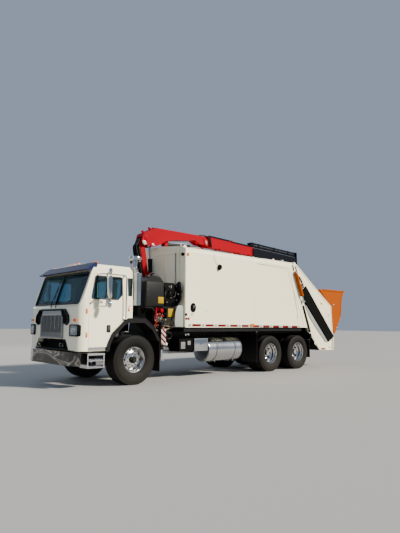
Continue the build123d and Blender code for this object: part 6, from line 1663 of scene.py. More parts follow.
# %% Extension: wear rails, saddles, and the ribs and cheeks of its tip
rails = Piece()
for side in (1, -1):
    for t, y in ((232, 84), (132, 100)):
        (xa, za), (xb, zb) = boom_at(1990, t), boom_at(4340, t)
        rails.rod((xa, side * y, za), (xb, side * y, zb), 11, 12)
rails.done("extension_wear_rails", rod_chrome, "boom_extension", crisp=30)
pads = Piece()
for s in (2010, 2300, 3100, 3900, 4260):
    boom_pair(pads, (s, s + 60), (150, 310), (94, 104), 8)
for s in (2100, 4200):
    boom_plate(pads, (s, s + 110), (-152, -120), (-132, 132))
pads.done("extension_saddles", boom_black, "boom_extension", edge=4)
tip = Piece()
for y in (-120, -44, 32, 108):
    boom_plate(tip, (4396, 4416), (-130, 300), (y, y + 12), 12)
boom_pair(tip, (4396, 4470), (-46, 46), (22, 34), 10)
tip.done("extension_tip_ribs", boom_black, "boom_extension", edge=3)
(xa, za), (xb, zb) = boom_at(2060, 232), boom_at(3300, 232)
Piece().rod((xa, 0, za), (xb, 0, zb), 26, 24).done("extension_cylinder", chassis_black, "boom_extension", crisp=30)
print("extension pieces:", tally("extension_"))

# %% Cylinder glands and ports
glands = Piece()
foot, eye = (Vector((x, 0, z)) for x, z in (LIFT_FOOT, LIFT_EYE))
mouth = foot + (eye - foot) * 0.56
glands.turned([(0, 63), (0, 68), (50, 68), (56, 60), (56, 37.5)],
              tuple(mouth - (eye - foot).normalized() * 52), tuple(eye), 40)
port = foot + (eye - foot) * 0.1
glands.rod((port.x - 55, 0, port.z), (port.x - 96, 0, port.z), 20, 12)
glands.done("lift_cylinder_gland", chassis_black, "lift_barrel", crisp=30)
hose("lift_cylinder_hose", [(port.x - 90, 0, port.z), (port.x - 130, 0, port.z + 10), (port.x - 130, 20, port.z - 150),
                            (port.x - 70, 60, port.z - 300)], 12, "lift_barrel", bend=50)
pipe_low, pipe_high = foot + (eye - foot) * 0.14, foot + (eye - foot) * 0.5
hose("lift_cylinder_pipe", [(pipe_low.x - 60, 30, pipe_low.z), (pipe_low.x - 78, 36, pipe_low.z + 20),
                            (pipe_high.x - 78, 36, pipe_high.z - 20), (pipe_high.x - 60, 30, pipe_high.z)], 8,
     "lift_barrel", bend=20, material=zinc)
fold_foot, fold_eye = (Vector((x, 0, z)) for x, z in (FOLD_FOOT, FOLD_EYE))
gland = Piece()
fold_mouth = fold_foot + (fold_eye - fold_foot) * 0.66
gland.turned([(0, 51), (0, 57), (44, 57), (50, 50), (50, 30)],
             tuple(fold_mouth - (fold_eye - fold_foot).normalized() * 46), tuple(fold_eye), 36)
gland.done("fold_cylinder_gland", chassis_black, "boom_barrel", crisp=30)
hose("fold_cylinder_pipe", [(-1860, 40, 3610), (-1880, 44, 3624), (-2560, 44, 3664), (-2600, 40, 3650)], 8,
     "boom_barrel", bend=20, material=zinc)
print("crane done")

# %% [markdown]
# ## Load body
# The body is one large smooth box, and a smooth box looks like a toy unless its joins show. Real sheet panels
# meet in thin weld beads, the front wall has a frame, and a fold runs under the roof's edge. Along the sill runs
# reflecting tape in short red and white lengths, which the row recipe lays down from one small strip.

# %% Tape and lamps along the sill
BODY_Y = 1219
for side_name, side in SIDES:
    ys = span(side, 1221, 1223)
    for label, material, first, length in (("red", tape_red, -1725, 300), ("white", bracket_grey, -1588, 104)):
        strip = Piece().prism("side", [(first - length, 1314), (first, 1314), (first, 1374), (first - length, 1374)],
                              *ys)
        run_recipe(field_of, "sill_tape_%s_%s" % (label, side_name), loose_mesh(strip), material, "chassis",
                   Count=10 if label == "red" else 11, Step=(-0.465, 0, -0.0035))
    lamp = Piece().prism("side", [(-4110, 1318), (-3965, 1318), (-3955, 1330), (-3955, 1382), (-3965, 1394),
                                  (-4110, 1394), (-4120, 1382), (-4120, 1330)], *span(side, 1221, 1246))
    lamp.done("side_marker_" + side_name, lens_amber, "chassis", edge=7)
    row = Piece()
    for x in (-1530, -1604):
        row.boss([(0, 27), (10, 27), (17, 18), (17, 0)], x, BODY_Y, 1508, side, 18)
    row.done("small_red_lamps_" + side_name, lens_red, "chassis", crisp=30)
    plate = Piece().block((-1640, -1496), span(side, 1218, 1223), (1476, 1540))
    plate.done("red_lamp_plate_" + side_name, zinc, "chassis", edge=1.5)
print("sill tape laid")

# %% Weld beads, panel folds and the frame of the front wall
beads = Piece()
for side in (1, -1):
    ys = span(side, 1218.5, 1221.6)
    for x in (-2800, -4180):
        beads.prism("side", [(x - 4, 1400), (x + 4, 1400), (x + 4, 3180), (x - 4, 3180)], *ys)
    beads.prism("side", [(-1520, 1668), (-6380, 1646), (-6380, 1652), (-1520, 1674)], *ys)
    beads.prism("side", [(-1500, 1376), (-6560, 1360), (-6560, 1366), (-1500, 1382)], *ys)
beads.done("body_weld_beads", white_paint, "chassis", edge=1.2)
FOLD_PATH = [(-4300, 3150), (-5420, 3146), (-5800, 3130), (-5900, 2960), (-6230, 1700), (-6232, 1560)]
# The fold's bead is painted a darker white: painted shade along the fold line.
for side_name, side in SIDES:
    hose("body_panel_fold_" + side_name, [(x, side * 1217, z) for x, z in FOLD_PATH], 15, "chassis", bend=120,
         material=shade_white)
posts = Piece()
for side in (1, -1):
    posts.prism("plan", [(-1452, side * 985), (-1408, side * 990), (-1414, side * 1010), (-1452, side * 1010)],
                1320, 3250)
    posts.prism("plan", [(-1490, side * 1180), (-1478, side * 1196), (-1496, side * BODY_Y), (-1512, side * BODY_Y)],
                1310, 3240)
posts.prism("front", [(-990, 1300), (990, 1300), (990, 1345), (-990, 1345)], -1425, -1408)
posts.prism("front", [(-990, 2290), (990, 2290), (990, 2335), (-990, 2335)], -1425, -1410)
posts.prism("front", [(-990, 3185), (990, 3185), (990, 3235), (-990, 3235)], -1425, -1408)
for y in (-500, 0, 500):
    posts.prism("front", [(y - 24, 1340), (y + 24, 1340), (y + 24, 3190), (y - 24, 3190)], -1425, -1412)
posts.done("front_wall_frame", white_paint, "chassis", edge=4)
Piece().both((-1424, -1414), (884, 902), (1320, 3240)).done("front_wall_seams", cast_grey, "chassis")
print("beads, folds and front wall:", tally("body_weld", "body_panel", "front_wall"))

# %% Roof ribs, lifting eyes and beacon bases
ROOF_HALF, ROOF_RISE, ROOF_TOP = 1220, 90, 3420


def roof_height(y):
    """The crowned roof's height at a place across."""
    radius = (ROOF_HALF ** 2 + ROOF_RISE ** 2) / (2 * ROOF_RISE)
    return ROOF_TOP - radius + math.sqrt(radius * radius - y * y)


roof = Piece()
CROWN = [(y, roof_height(y)) for y in range(-1050, 1051, 150)]
for x in (-1560, -2480, -3400, -4320, -5240):
    outline = [(y, z - 6) for y, z in CROWN] + [(y, z + 14) for y, z in reversed(CROWN)]
    roof.prism("front", outline, x - 30, x + 30)
roof.done("roof_ribs", white_paint, "chassis", edge=4)
lift_eyes = Piece()
for x in (-1640, -5300):
    for side in (1, -1):
        top = roof_height(1010)
        lift_eyes.prism("side", [(x - 55, top - 12), (x + 55, top - 12), (x + 40, top + 34), (x + 14, top + 54),
                                 (x - 14, top + 54), (x - 40, top + 34)], *span(side, 1000, 1016))
lift_eyes.done("body_lifting_eyes", white_paint, "chassis", edge=3)
knob = Piece()
for side in (1, -1):
    knob.turned([(0, 34), (16, 34), (22, 26), (60, 26), (74, 18), (78, 0)], (-1480, side * 1020, 3352),
                (-1480, side * 1020, 3500), 24)
    knob.turned([(0, 62), (10, 66), (34, 58), (46, 36), (50, 0)], (-5880, side * 890, 3395),
                (-5880, side * 890, 3600), 32)
knob.done("roof_beacon_bases", bracket_grey, "chassis", crisp=30)
print("roof pieces:", tally("roof_", "lifting_eyes"))

# %% Openings, lamps and the camera on the side
for side_name, side in SIDES:
    ring, loops = Piece(), []
    for half_x, half_z, y in ((96, 122, BODY_Y), (96, 122, 1227), (81, 108, 1227), (81, 108, 1222)):
        turns = [math.tau * step / 40 for step in range(40)]
        loops.append([ring.mesh.verts.new(at(-1752 + half_x * math.cos(a), side * y, 1789 + half_z * math.sin(a)))
                      for a in turns])
    for one, two in zip(loops, loops[1:]):
        for index in range(40):
            after = (index + 1) % 40
            ring.mesh.faces.new((one[index], one[after], two[after], two[index]))
    ring.mesh.faces.new(loops[-1])
    ring.mesh.faces.new(loops[0])
    ring.done("service_port_" + side_name, cover_black, "chassis", crisp=30)
    handle = Piece().boss([(0, 16), (14, 16), (18, 10), (18, 0)], -1772, 1221, 1830, side, 14)
    handle.rod((-1772, side * 1233, 1830), (-1760, side * 1236, 1770), 7, 10)
    handle.done("service_port_valve_" + side_name, zinc, "chassis", crisp=30)
    lamps = Piece().boss([(0, 34), (16, 34), (24, 28), (26, 0)], -1513, BODY_Y, 1611, side, 24)
    lamps.done("small_work_lamp_" + side_name, cover_black, "chassis", crisp=30)
    lens = Piece().boss([(0, 40), (10, 40), (20, 30), (25, 12), (25, 0)], -1715, BODY_Y, 1616, side, 28)
    lens.done("round_side_lens_" + side_name, lens_clear, "chassis", crisp=30)
    line = Piece().prism("side", [(-2160, 1716), (-2290, 1714), (-2290, 1640), (-2284, 1640), (-2284, 1720),
                                  (-2160, 1722)], *span(side, BODY_Y, 1222))
    line.done("service_hatch_edge_" + side_name, bracket_grey, "chassis")
    top_lamps = Piece().turned([(0, 42), (30, 42), (34, 38), (34, 34), (26, 34), (22, 0)], (-1462, side * 1140, 3140),
                               (-1300, side * 1190, 3140), 30)
    top_lamps.done("corner_lamp_ring_" + side_name, cover_black, "chassis", crisp=30)
    amber = Piece().boss([(0, 40), (14, 40), (24, 28), (26, 0)], -1560, 1218, 3140, side, 26)
    amber.done("corner_marker_" + side_name, lens_amber, "chassis", crisp=30)
    camera_box = Piece().prism("side", [(-2610, 2905), (-2660, 2980), (-2745, 2952), (-2735, 2860), (-2660, 2812)],
                               *span(side, 1226, 1282))
    camera_box.turned([(0, 30), (20, 30), (24, 24), (24, 0)], (-2680, side * 1275, 2895),
                      (-2680, side * 1400, 2870), 24)
    camera_box.block((-2700, -2650), span(side, 1218, 1232), (2870, 2930))
    camera_box.done("side_camera_" + side_name, cover_black, "chassis", edge=6)
    hose("camera_wire_" + side_name, sided(side, [(-2640, 1226, 2940), (-2560, 1224, 3010), (-2500, 1224, 3130),
                                                  (-2494, 1224, 3240)]), 4, "chassis", bend=60, sides=8)
print("load body done")

# %% Underside: bearer ends, rub rail bolts, and dark plates of painted shade under the body and over the rear wheels
BEARER_FRONT, BEARER_PITCH = -1525, 613.75
ends = Piece()
for index in range(9):
    x = BEARER_FRONT - index * BEARER_PITCH
    ends.both((x - 42, x + 42), (1148, 1156), (1178, 1288))
ends.done("bearer_end_plates", chassis_black, "chassis", edge=2)
# A black plate under the rear of the body: painted shade, where the pale floor would light the underside.
belly = Piece().prism("side", [(-4250, 1286), (-6730, 1286), (-6800, 1120), (-6700, 1120), (-6640, 1262),
                               (-4250, 1262)], -1196, 1196)
belly.done("body_underside", cover_black, "chassis", edge=2)
for side_name, side in SIDES:
    rivets("rub_rail_bolts_" + side_name, sided(side, [(-1500, 1181, 1235), (-6460, 1181, 1235)]), 205, 11,
           (0, side, 0), "chassis", chassis_black)
    # A dark strip over the rear wheels: painted shade in the gap between the tyres and the body.
    wheel_gap_shade = Piece().prism("side", [(-4262, 1130), (-4262, 1182), (-6478, 1182), (-6478, 1130)],
                          *span(side, 1120, 1128))
    wheel_gap_shade.done("wheel_skirt_" + side_name, cover_black, "chassis", edge=2)
    lights = Piece()
    for x in (-1560, -1650):
        lights.turned([(0, 20), (26, 24), (30, 20), (30, 0)], (x, side * 1150, 1112), (x, side * 1260, 1096), 24)
    lights.done("sill_work_lamps_" + side_name, lens_clear, "chassis", crisp=30)
print("underside done")

# %% [markdown]
# ## Tailgate and hopper
# The tailgate is white sheet over ribs, with a raised flange along its sloping back that catches a bright line.
# Long black covers lie on its sides, and the orange lift cylinders stand in the corner before them with their hoses.
# Most of this swings with the tailgate and rides on it, the cylinder bands on the cylinders' barrels; the hose and pin
# caps at the top of each cylinder, and the hinge caps, stay with the body.

# %% Flanges, bolts and stiffeners on the sides
def band(points, width):
    """A strip along a path in the side plane, on the left of its walking direction."""
    outer = []
    for index, (x, z) in enumerate(points):
        before, after = points[max(index - 1, 0)], points[min(index + 1, len(points) - 1)]
        dx, dz = after[0] - before[0], after[1] - before[1]
        length = math.hypot(dx, dz)
        outer.append((x - dz / length * width, z + dx / length * width))
    return points + outer[::-1]


BACK_EDGE = [(-6190, 3306), (-7090, 2712), (-8186, 2014), (-8255, 930), (-8212, 520)]
for side_name, side in SIDES:
    flange = Piece().prism("side", band(BACK_EDGE, 34), *span(side, BODY_Y, 1232))
    flange.prism("side", band([(-7440, 549), (-8200, 519)], -30), *span(side, BODY_Y, 1230))
    flange.prism("side", band([(-6905, 1100), (-7440, 549)], -26), *span(side, BODY_Y, 1230))
    flange.prism("side", [(-8168, 512), (-8214, 512), (-8262, 930), (-8216, 960), (-8204, 820)],
                 *span(side, BODY_Y, 1258))
    flange.done("tailgate_flange_" + side_name, white_paint, "tailgate", edge=4)
    rivets("tailgate_back_bolts_" + side_name, sided(side, [(-6260, 1233, 3216), (-7080, 1233, 2670),
                                                            (-8130, 1233, 2002)]), 150, 9, (0, side, 0), "tailgate",
           zinc)
    rivets("tailgate_lower_bolts_" + side_name, sided(side, [(-7020, 1222, 1150), (-7600, 1222, 690)]), 120, 8,
           (0, side, 0), "tailgate", zinc)
    ribs = Piece().prism("side", [(-8140, 1450), (-7940, 1750), (-7932, 1744), (-8132, 1444)],
                         *span(side, BODY_Y, 1224))
    ribs.prism("side", [(-6990, 1560), (-7060, 1500), (-7210, 700), (-7150, 760)],
               *span(side, BODY_Y, 1224))
    ribs.done("tailgate_beads_" + side_name, white_paint, "tailgate", edge=2)
    pins = Piece()
    for x, z, radius in ((-6905, 1060, 34), (-7380, 1180, 18), (-6890, 2330, 20), (-8020, 1700, 16),
                         (-8050, 620, 22)):
        pins.boss([(0, radius + 8), (6, radius + 8), (8, radius), (18, radius), (22, radius - 6), (22, 0)], x, 1218,
                  z, side, 28)
    pins.done("tailgate_pin_ends_" + side_name, bracket_grey, "tailgate", crisp=30)
    latch = Piece().prism("side", [(-6940, 1020), (-6900, 1100), (-6866, 1084), (-6850, 960), (-6890, 930),
                                   (-6930, 950)], *span(side, BODY_Y, 1262))
    latch.rod((-6890, side * 1220, 1010), (-6890, side * 1276, 1010), 20, 20)
    latch.done("tailgate_latch_" + side_name, chassis_black, "tailgate", edge=5)
    seal = Piece().prism("side", [(-6500, 2002), (-6526, 1990), (-6802, 1330), (-6868, 1140), (-6846, 1126),
                                  (-6822, 1136), (-6742, 1336), (-6470, 1984), (-6478, 2000)],
                         *span(side, 1244, 1250))
    seal.done("tailgate_guide_strip_" + side_name, cover_black, "tailgate", edge=2)
    sill_tape = Piece().prism("side", [(-7520, 560), (-7760, 550), (-7760, 596), (-7520, 606)],
                              *span(side, 1221, 1233))
    sill_tape.done("tailgate_tape_" + side_name, tape_red, "tailgate", edge=0.5)
    spot = Piece().prism("side", [(-7560, 2050), (-7640, 2050), (-7640, 2120), (-7560, 2120)],
                         *span(side, BODY_Y, 1222))
    spot.done("tailgate_yellow_blank_" + side_name, plate_yellow, "tailgate")
print("tailgate side pieces:", tally("tailgate_"))

# %% Covers: folded edges, a crease, their bolts and the pale band before them
for side_name, side in SIDES:
    fold = Piece()
    inner = [(-6664, 2590), (-6540, 2480), (-6548, 2156), (-6738, 1994), (-7938, 836), (-8226, 986)]
    outer = [(-6668, 2612), (-6532, 2494), (-6538, 2152), (-6730, 1988), (-7937, 818), (-8246, 984)]
    fold.strip("side", outer, inner, *span(side, 1263, 1271), closed=True)
    fold.done("cover_folds_" + side_name, cover_black, "tailgate", edge=2)
    centre_line = Piece().prism("side", [(-6640, 2300), (-6600, 2320), (-8010, 960), (-8050, 940)],
                                *span(side, 1263, 1267))
    centre_line.done("cover_crease_" + side_name, cover_black, "tailgate", edge=1.5)
    grey = Piece().prism("side", [(-6640, 2010), (-6700, 2000), (-7938, 800), (-7770, 812), (-7200, 1300),
                                  (-6860, 1640)], *span(side, 1236, 1240))
    grey.done("cover_pale_band_" + side_name, bracket_grey, "tailgate", edge=1)
    for label, start, end in (("upper", (-6700, 2540), (-8190, 1010)), ("lower", (-6760, 2000), (-7910, 880))):
        rivets("cover_bolts_%s_%s" % (label, side_name),
               [(start[0], side * 1268, start[1]), (end[0], side * 1268, end[1])], 230, 10, (0, side, 0),
               "tailgate", chassis_black)
print("cover pieces:", tally("cover_folds", "cover_crease", "cover_pale", "cover_bolts"))

# %% Lift cylinders: end bands, pins and their hoses
for side_name, side in SIDES:
    top, foot = Vector((-6070, side * 1292, 3020)), Vector((-6480, side * 1292, 2110))
    run = (foot - top).normalized()
    bands = Piece()
    for along in (74, 400, (foot - top).length * 0.8 - 34):
        place = top + run * along
        bands.turned([(0, 56), (3, 60), (26, 60), (30, 56)], tuple(place), tuple(foot), 36)
    bands.done("gate_cylinder_bands_" + side_name, orange_paint, "tailgate_barrels", crisp=30)
    for place, body in ((top, "chassis"), (foot, "tailgate")):
        cap = Piece().boss([(0, 27), (8, 27), (12, 22), (12, 0)], place.x, 1315, place.z, side, 24)
        cap.boss([(0, 52), (16, 52), (20, 46), (20, 30)], place.x, 1222, place.z, side, 32)
        cap.done("gate_pin_%s_%s" % (body, side_name), bracket_grey, body, crisp=30)
    hose("gate_hose_body_" + side_name, sided(side, [(-5985, 1236, 3262), (-6010, 1246, 3190), (-6030, 1246, 3120),
                                                     (-6040, 1240, 3095)]), 13, "chassis", bend=60)
    hose("gate_pipe_" + side_name, sided(side, [(-6150, 1234, 3230), (-6210, 1240, 3060), (-6230, 1244, 2980),
                                                (-6330, 1244, 2900)]), 12, "tailgate", bend=60)
    hose("gate_hose_long_" + side_name, sided(side, [(-6330, 1244, 2905), (-6370, 1262, 2850), (-6420, 1268, 2760),
                                                     (-6505, 1262, 2640), (-6540, 1252, 2560)]), 17, "tailgate",
         bend=70)
    hose("gate_hose_short_" + side_name, sided(side, [(-6300, 1244, 2930), (-6350, 1256, 2800), (-6440, 1258, 2690),
                                                      (-6480, 1252, 2560), (-6524, 1246, 2440)]), 12, "tailgate",
         bend=70)
    clamp = Piece().block((-6395, -6345), span(side, BODY_Y, 1286), (2838, 2868))
    clamp.block((-6520, -6470), span(side, BODY_Y, 1286), (2654, 2684))
    clamp.block((-6240, -6190), span(side, BODY_Y, 1258), (3040, 3064))
    clamp.done("gate_hose_clamps_" + side_name, zinc, "tailgate", edge=3)
print("lift cylinder pieces:", tally("gate_"))

# %% Painted shade on the underside, hinge caps and the back wall
# Black plates on the tailgate's sloping underside and lower front edge: painted shade, where the pale floor would
# light them.
under = Piece().prism("side", [(-6838, 1126), (-7420, 538), (-7428, 546), (-6846, 1136)], -1212, 1212)
under.prism("side", [(-6852, 1132), (-6760, 1330), (-6768, 1336), (-6862, 1136)], -1212, 1212)
under.done("tailgate_underside", cover_black, "tailgate", edge=2)
hinge = Piece()
for y in (-900, 900):
    for side in (1, -1):
        hinge.turned([(0, 44), (6, 48), (18, 48), (24, 40), (24, 0)], (-6050, y + side * 66, 3330),
                     (-6050, y + side * 400, 3330), 30)
hinge.done("hinge_caps", zinc, "chassis", crisp=30)
back = Piece()
UPPER_BEND, LOWER_BEND = Vector((-7096, 0, 2716)), Vector((-8192, 0, 2018))
SLOPE_DIRECTION = (LOWER_BEND - UPPER_BEND).normalized()
OUTWARD = Vector((SLOPE_DIRECTION.z, 0, -SLOPE_DIRECTION.x))


def on_back(along, out):
    """A place on the tailgate's sloping back: distance down from the upper bend, and out from the sheet."""
    place = UPPER_BEND + SLOPE_DIRECTION * along + OUTWARD * out
    return (place.x, place.z)


for along in (-950, -640, -330, -20):
    corners = [on_back(along, -4), on_back(along + 60, -4), on_back(along + 52, 16), on_back(along + 8, 16)]
    back.prism("side", corners, -1130, 1130)
for y in (-1090, -560, 0, 560, 1090):
    corners = [on_back(-1040, -4), on_back(420, -4), on_back(420, 12), on_back(-1040, 12)]
    back.prism("side", corners, y - 26, y + 26)
back.done("tailgate_back_ribs", white_paint, "tailgate", edge=4)
rear = Piece().both((-8300, -8252), (1092, 1222), (940, 980))
for side in (1, -1):
    for z_low, z_high in ((560, 630), (880, 915)):
        rear.prism("side", [(-8214, z_low), (-8218, z_low - 3), (-8262, z_high + 3), (-8250, z_high)],
                   *span(side, 1060, 1215))
rear.prism("side", [(-8186, 540), (-8230, 536), (-8222, 500), (-8180, 504)], -1220, 1220)
rear.done("tailgate_rear_edges", white_paint, "tailgate", edge=4)
for side_name, side in SIDES:
    lenses = Piece()
    for z in (690, 830):
        middle = (-8215 - 46 * (z - 511) / 418 - 14, side * 1150, z)
        lenses.turned([(0, 46), (6, 46), (14, 36), (17, 18), (17, 0)], middle, (middle[0] - 100, middle[1], z + 11),
                      32)
    lenses.done("tail_lenses_" + side_name, lens_red, "tailgate", crisp=30)
    rail = Piece().rod((-8262, side * 1010, 960), (-8262, side * 1010, 560), 13, 14)
    rail.done("rear_grab_rail_" + side_name, chrome, "tailgate")
print("hinges and back wall:", tally("hinge_caps", "tailgate_back_ribs", "tailgate_rear", "tail_lenses", "rear_grab"))

# %% Hopper: folded rim and its liner, gussets, seams, bolts and rim markers
rim = Piece().both((-9010, -7760), (1180, 1214), (2540, 2592))
rim.block((-9122, -9010), (-1180, 1180), (2588, 2606))
rim.done("hopper_rim_fold", orange_paint, "tailgate", edge=5)
inside = Piece().both((-8990, -7900), (1152, 1160), (2440, 2536))
inside.block((-9012, -9004), (-1150, 1150), (2440, 2536))
inside.done("hopper_rim_liner", cover_black, "tailgate", edge=2)
gussets = Piece()
for side in (1, -1):
    ys = span(side, 1198, 1206)
    gussets.prism("side", [(-8190, 2060), (-8300, 2040), (-8420, 1180), (-8300, 1110)], *ys)
    gussets.prism("side", [(-8990, 2500), (-9040, 2500), (-8950, 2300), (-8850, 1700), (-8790, 1700), (-8900, 2340)],
                  *ys)
gussets.done("hopper_gussets", orange_paint, "tailgate", edge=3)
seams = Piece()
for side in (1, -1):
    seams.prism("side", [(-8204, 2064), (-8210, 2064), (-8286, 1120), (-8280, 1120)],
                *span(side, 1199, 1209))
    seams.prism("side", [(-7640, 2392), (-7640, 2402), (-8192, 2050), (-8192, 2040)],
                *span(side, 1199, 1207))
seams.done("hopper_seams", chassis_black, "tailgate", edge=1.5)
spots = Piece()
for side in (1, -1):
    for x, z, radius in ((-8400, 2060, 26), (-8800, 1560, 18), (-8560, 1270, 16)):
        spots.boss([(0, radius + 7), (5, radius + 7), (7, radius), (16, radius), (20, radius - 6), (20, 0)], x, 1199,
                   z, side, 24)
spots.done("hopper_bolt_spots", zinc, "tailgate", crisp=30)
marker = Piece().block((-9128, -9108), (-70, 70), (2552, 2586)).both((-9128, -9108), (900, 1010), (2552, 2586))
marker.done("hopper_rim_markers", lens_red, "tailgate", edge=4)
print("tailgate and hopper done")

# %% [markdown]
# ## Chassis
# Below the body hang the fuel tank, boxes and air tanks, and behind the tyres hide springs, brake chambers and
# their hoses. Little of it shows, but a dark gap with nothing in it reads as a missing part, so the pieces that
# every such chassis has are here in plain form: spring packs made leaf by leaf, U-bolts and the propeller shaft.

# %% Fuel tank: seams, straps, filler and strap bolts
TANK_Y, TANK_Z, STRAP_XS = 860, 705, (-2700, -3400)


def round_tank(profile, places):
    """Bands that run round the tank, one at each X place."""
    bands = Piece()
    for x in places:
        bands.turned(profile, (x, TANK_Y, TANK_Z), (x + 100, TANK_Y, TANK_Z), 72)
    return bands


tank_bits = round_tank([(0, 306), (2, 315), (10, 315), (12, 306)], (-3646, -2386))
tank_bits.turned([(0, 313), (1, 314.5), (7, 314.5), (8, 313)], (-3054, TANK_Y, TANK_Z), (-2900, TANK_Y, TANK_Z), 72)
tank_bits.done("tank_seams_round", tank_metal, "chassis", crisp=30)
straps = round_tank([(0, 320), (2, 324), (50, 324), (52, 320)], [x - 26 for x in STRAP_XS])
straps.done("tank_straps", polished, "chassis", crisp=30)
strap_edges = round_tank([(0, 320), (1, 326), (5, 326), (6, 320)], [x + d for x in STRAP_XS for d in (-32, 26)])
strap_edges.done("tank_strap_rubber", seal_rubber, "chassis", crisp=30)
lean = math.radians(38)
cap_at = (-2520, TANK_Y + 312 * math.sin(lean) - 14, TANK_Z + 312 * math.cos(lean) - 12)
cap_to = (-2520, cap_at[1] + 100 * math.sin(lean), cap_at[2] + 100 * math.cos(lean))
filler = Piece().turned([(0, 50), (40, 50), (44, 58), (66, 58), (72, 50), (72, 0)], cap_at, cap_to, 30)
filler.done("tank_filler", chassis_black, "chassis", crisp=30)
bolts = Piece()
for x in STRAP_XS:
    bolts.rod((x, 1040, 450), (x, 1040, 372), 9, 10)
    bolts.turned([(0, 17), (14, 17), (14, 0)], (x, 640, 400), (x, 640, 350), 6)
bolts.done("tank_strap_bolts", zinc, "chassis", crisp=30)
print("fuel tank dressed")

# %% Tool box, valve box, and the boxes on the right
lids = Piece().prism("front", [(1151, 704), (1156, 704), (1156, 986), (1151, 986)], -2326, -1884)
lids.prism("side", [(-2345, 996), (-1865, 996), (-1865, 1010), (-2345, 1010)], 755, 1158)
lids.done("tool_box_lid", tank_metal, "chassis", edge=3)
handles = Piece().block((-2150, -2060), (1156, 1164), (820, 880)).block((-2128, -2082), (1162, 1176), (842, 858))
for x in (-2300, -1910):
    handles.turned([(0, 12), (5, 12), (7, 8), (7, 0)], (x, 1156, 960), (x, 1200, 960), 14)
    handles.turned([(0, 12), (5, 12), (7, 8), (7, 0)], (x, 1156, 730), (x, 1200, 730), 14)
handles.done("tool_box_latch", chrome, "chassis", edge=2)
Piece().block((-1826, -1360), (756, 1146), (690, 1008)).done("valve_box", cover_black, "chassis", edge=10)
front_plate = Piece().block((-1560, -1420), (1146, 1150), (760, 930)).block((-1740, -1640), (1146, 1152), (850, 950))
front_plate.done("valve_box_blank_plate", step_grey, "chassis", edge=2)
carriers = Piece()
for x in (-1780, -1410):
    carriers.block((x - 20, x + 20), (430, 760), (760, 800))
    carriers.block((x - 20, x + 20), (745, 757), (690, 990))
carriers.done("valve_box_carriers", chassis_black, "chassis", edge=3)
right = Piece().block((-2190, -1410), (-1158, -1150), (572, 968))
right.block((-3486, -2414), (-1158, -1150), (536, 964))
right.done("right_box_doors", polished, "chassis", edge=3)
louvres = Piece().prism("front", [(-1166, 620), (-1157, 632), (-1157, 612)], -3400, -2980)
run_recipe(field_of, "exhaust_box_louvres", loose_mesh(louvres), tank_metal, "chassis", Count=2,
           Step=(0.5, 0, 0), Rows=11, Row_Step=(0, 0, 0.028))
latches = Piece()
for x in (-2050, -1560, -3340, -2560):
    latches.block((x - 30, x + 30), (-1166, -1158), (900, 940)).block((x - 12, x + 12), (-1176, -1164), (905, 935))
latches.done("right_box_latches", chrome, "chassis", edge=2)
outlet = Piece().turned([(0, 62), (120, 62), (126, 58), (126, 54), (30, 54), (30, 0)], (-3500, -860, 700),
                        (-3700, -860, 700), 36)
outlet.done("exhaust_outlet", tank_metal, "chassis", crisp=30)
cover = Piece()
for x in (-1650, -1230):
    cover.turned([(0, 121), (2, 125), (26, 125), (28, 121)], (x - 14, 700, 830), (x + 100, 700, 830), 44)
cover.done("air_tank_straps", zinc, "chassis", crisp=30)
drain = Piece().rod((-1440, 700, 712), (-1440, 700, 690), 10, 10).rod((-1300, 700, 948), (-1300, 700, 975), 12, 10)
drain.done("air_tank_fittings", zinc, "chassis")
print("boxes dressed")

# %% Springs and U-bolts of the front axle, leaf by leaf
def arc_leaf(piece, low, high, ends, sag, thick, ys):
    """One bent leaf between two X places, its middle lower than its ends."""
    upper, steps = [], 10
    for number in range(steps + 1):
        share = number / steps
        upper.append((low + (high - low) * share, ends - sag * (1 - (2 * share - 1) ** 2)))
    piece.prism("side", upper + [(x, z - thick) for x, z in reversed(upper)], *ys)


springs = Piece()
for side in (1, -1):
    ys = span(side, 352, 418)
    for number, half in enumerate((640, 540, 430, 320)):
        level = 668 - number * 16
        arc_leaf(springs, -half, half, level - 8, 60 * half / 640 * half / 640 - 8, 12, ys)
springs.done("front_spring_leaves", chassis_black, "chassis", edge=2)
ubolts = Piece()
for side in (1, -1):
    for x in (-70, 70):
        for y in (340, 430):
            ubolts.rod((x, side * y, 480), (x, side * y, 700), 9, 10)
        ubolts.rod((x, side * 340, 697), (x, side * 430, 697), 9, 10)
ubolts.done("front_u_bolts", zinc, "chassis")
print("front springs:", tally("front_spring", "front_u"))

# %% Propeller shafts, brake chambers and their hoses
shafts = Piece().rod((-960, 0, 790), (-2600, 0, 760), 52, 28)
shafts.rod((-2640, 0, 760), (-4560, 0, 620), 52, 28)
for x, z in ((-980, 790), (-2580, 761), (-2660, 759), (-4540, 622)):
    shafts.turned([(0, 70), (4, 76), (60, 76), (64, 70)], (x + 32, 0, z), (x - 200, 0, z), 28)
shafts.done("propeller_shafts", chassis_black, "chassis", crisp=30)
brackets = Piece().block((-2640, -2600), (-430, 430), (820, 900)).block((-2650, -2590), (-110, 110), (680, 830))
brackets.done("shaft_bearing_bracket", chassis_black, "chassis", edge=5)
CHAMBER_XS = (REAR_AXLES[0][1] + 190, REAR_AXLES[1][1] - 190)
chambers = Piece()
for x in CHAMBER_XS:
    for side in (1, -1):
        chambers.boss([(0, 60), (10, 84), (60, 88), (66, 94), (74, 94), (80, 88), (150, 84), (164, 50), (164, 0)], x,
                      300, 590, side, 32)
chambers.done("brake_chambers", chassis_black, "chassis", crisp=30)
for number, (x, side) in enumerate((x, side) for x in CHAMBER_XS for side in (1, -1)):
    hose("brake_hose_%d" % number, sided(side, [(x, 400, 676), (x + 20, 400, 760), (x + 60, 410, 860),
                                                (x + 160, 420, 900)]), 9, "chassis", bend=70, sides=8)
print("shafts and brakes:", tally("propeller", "shaft_", "brake_"))

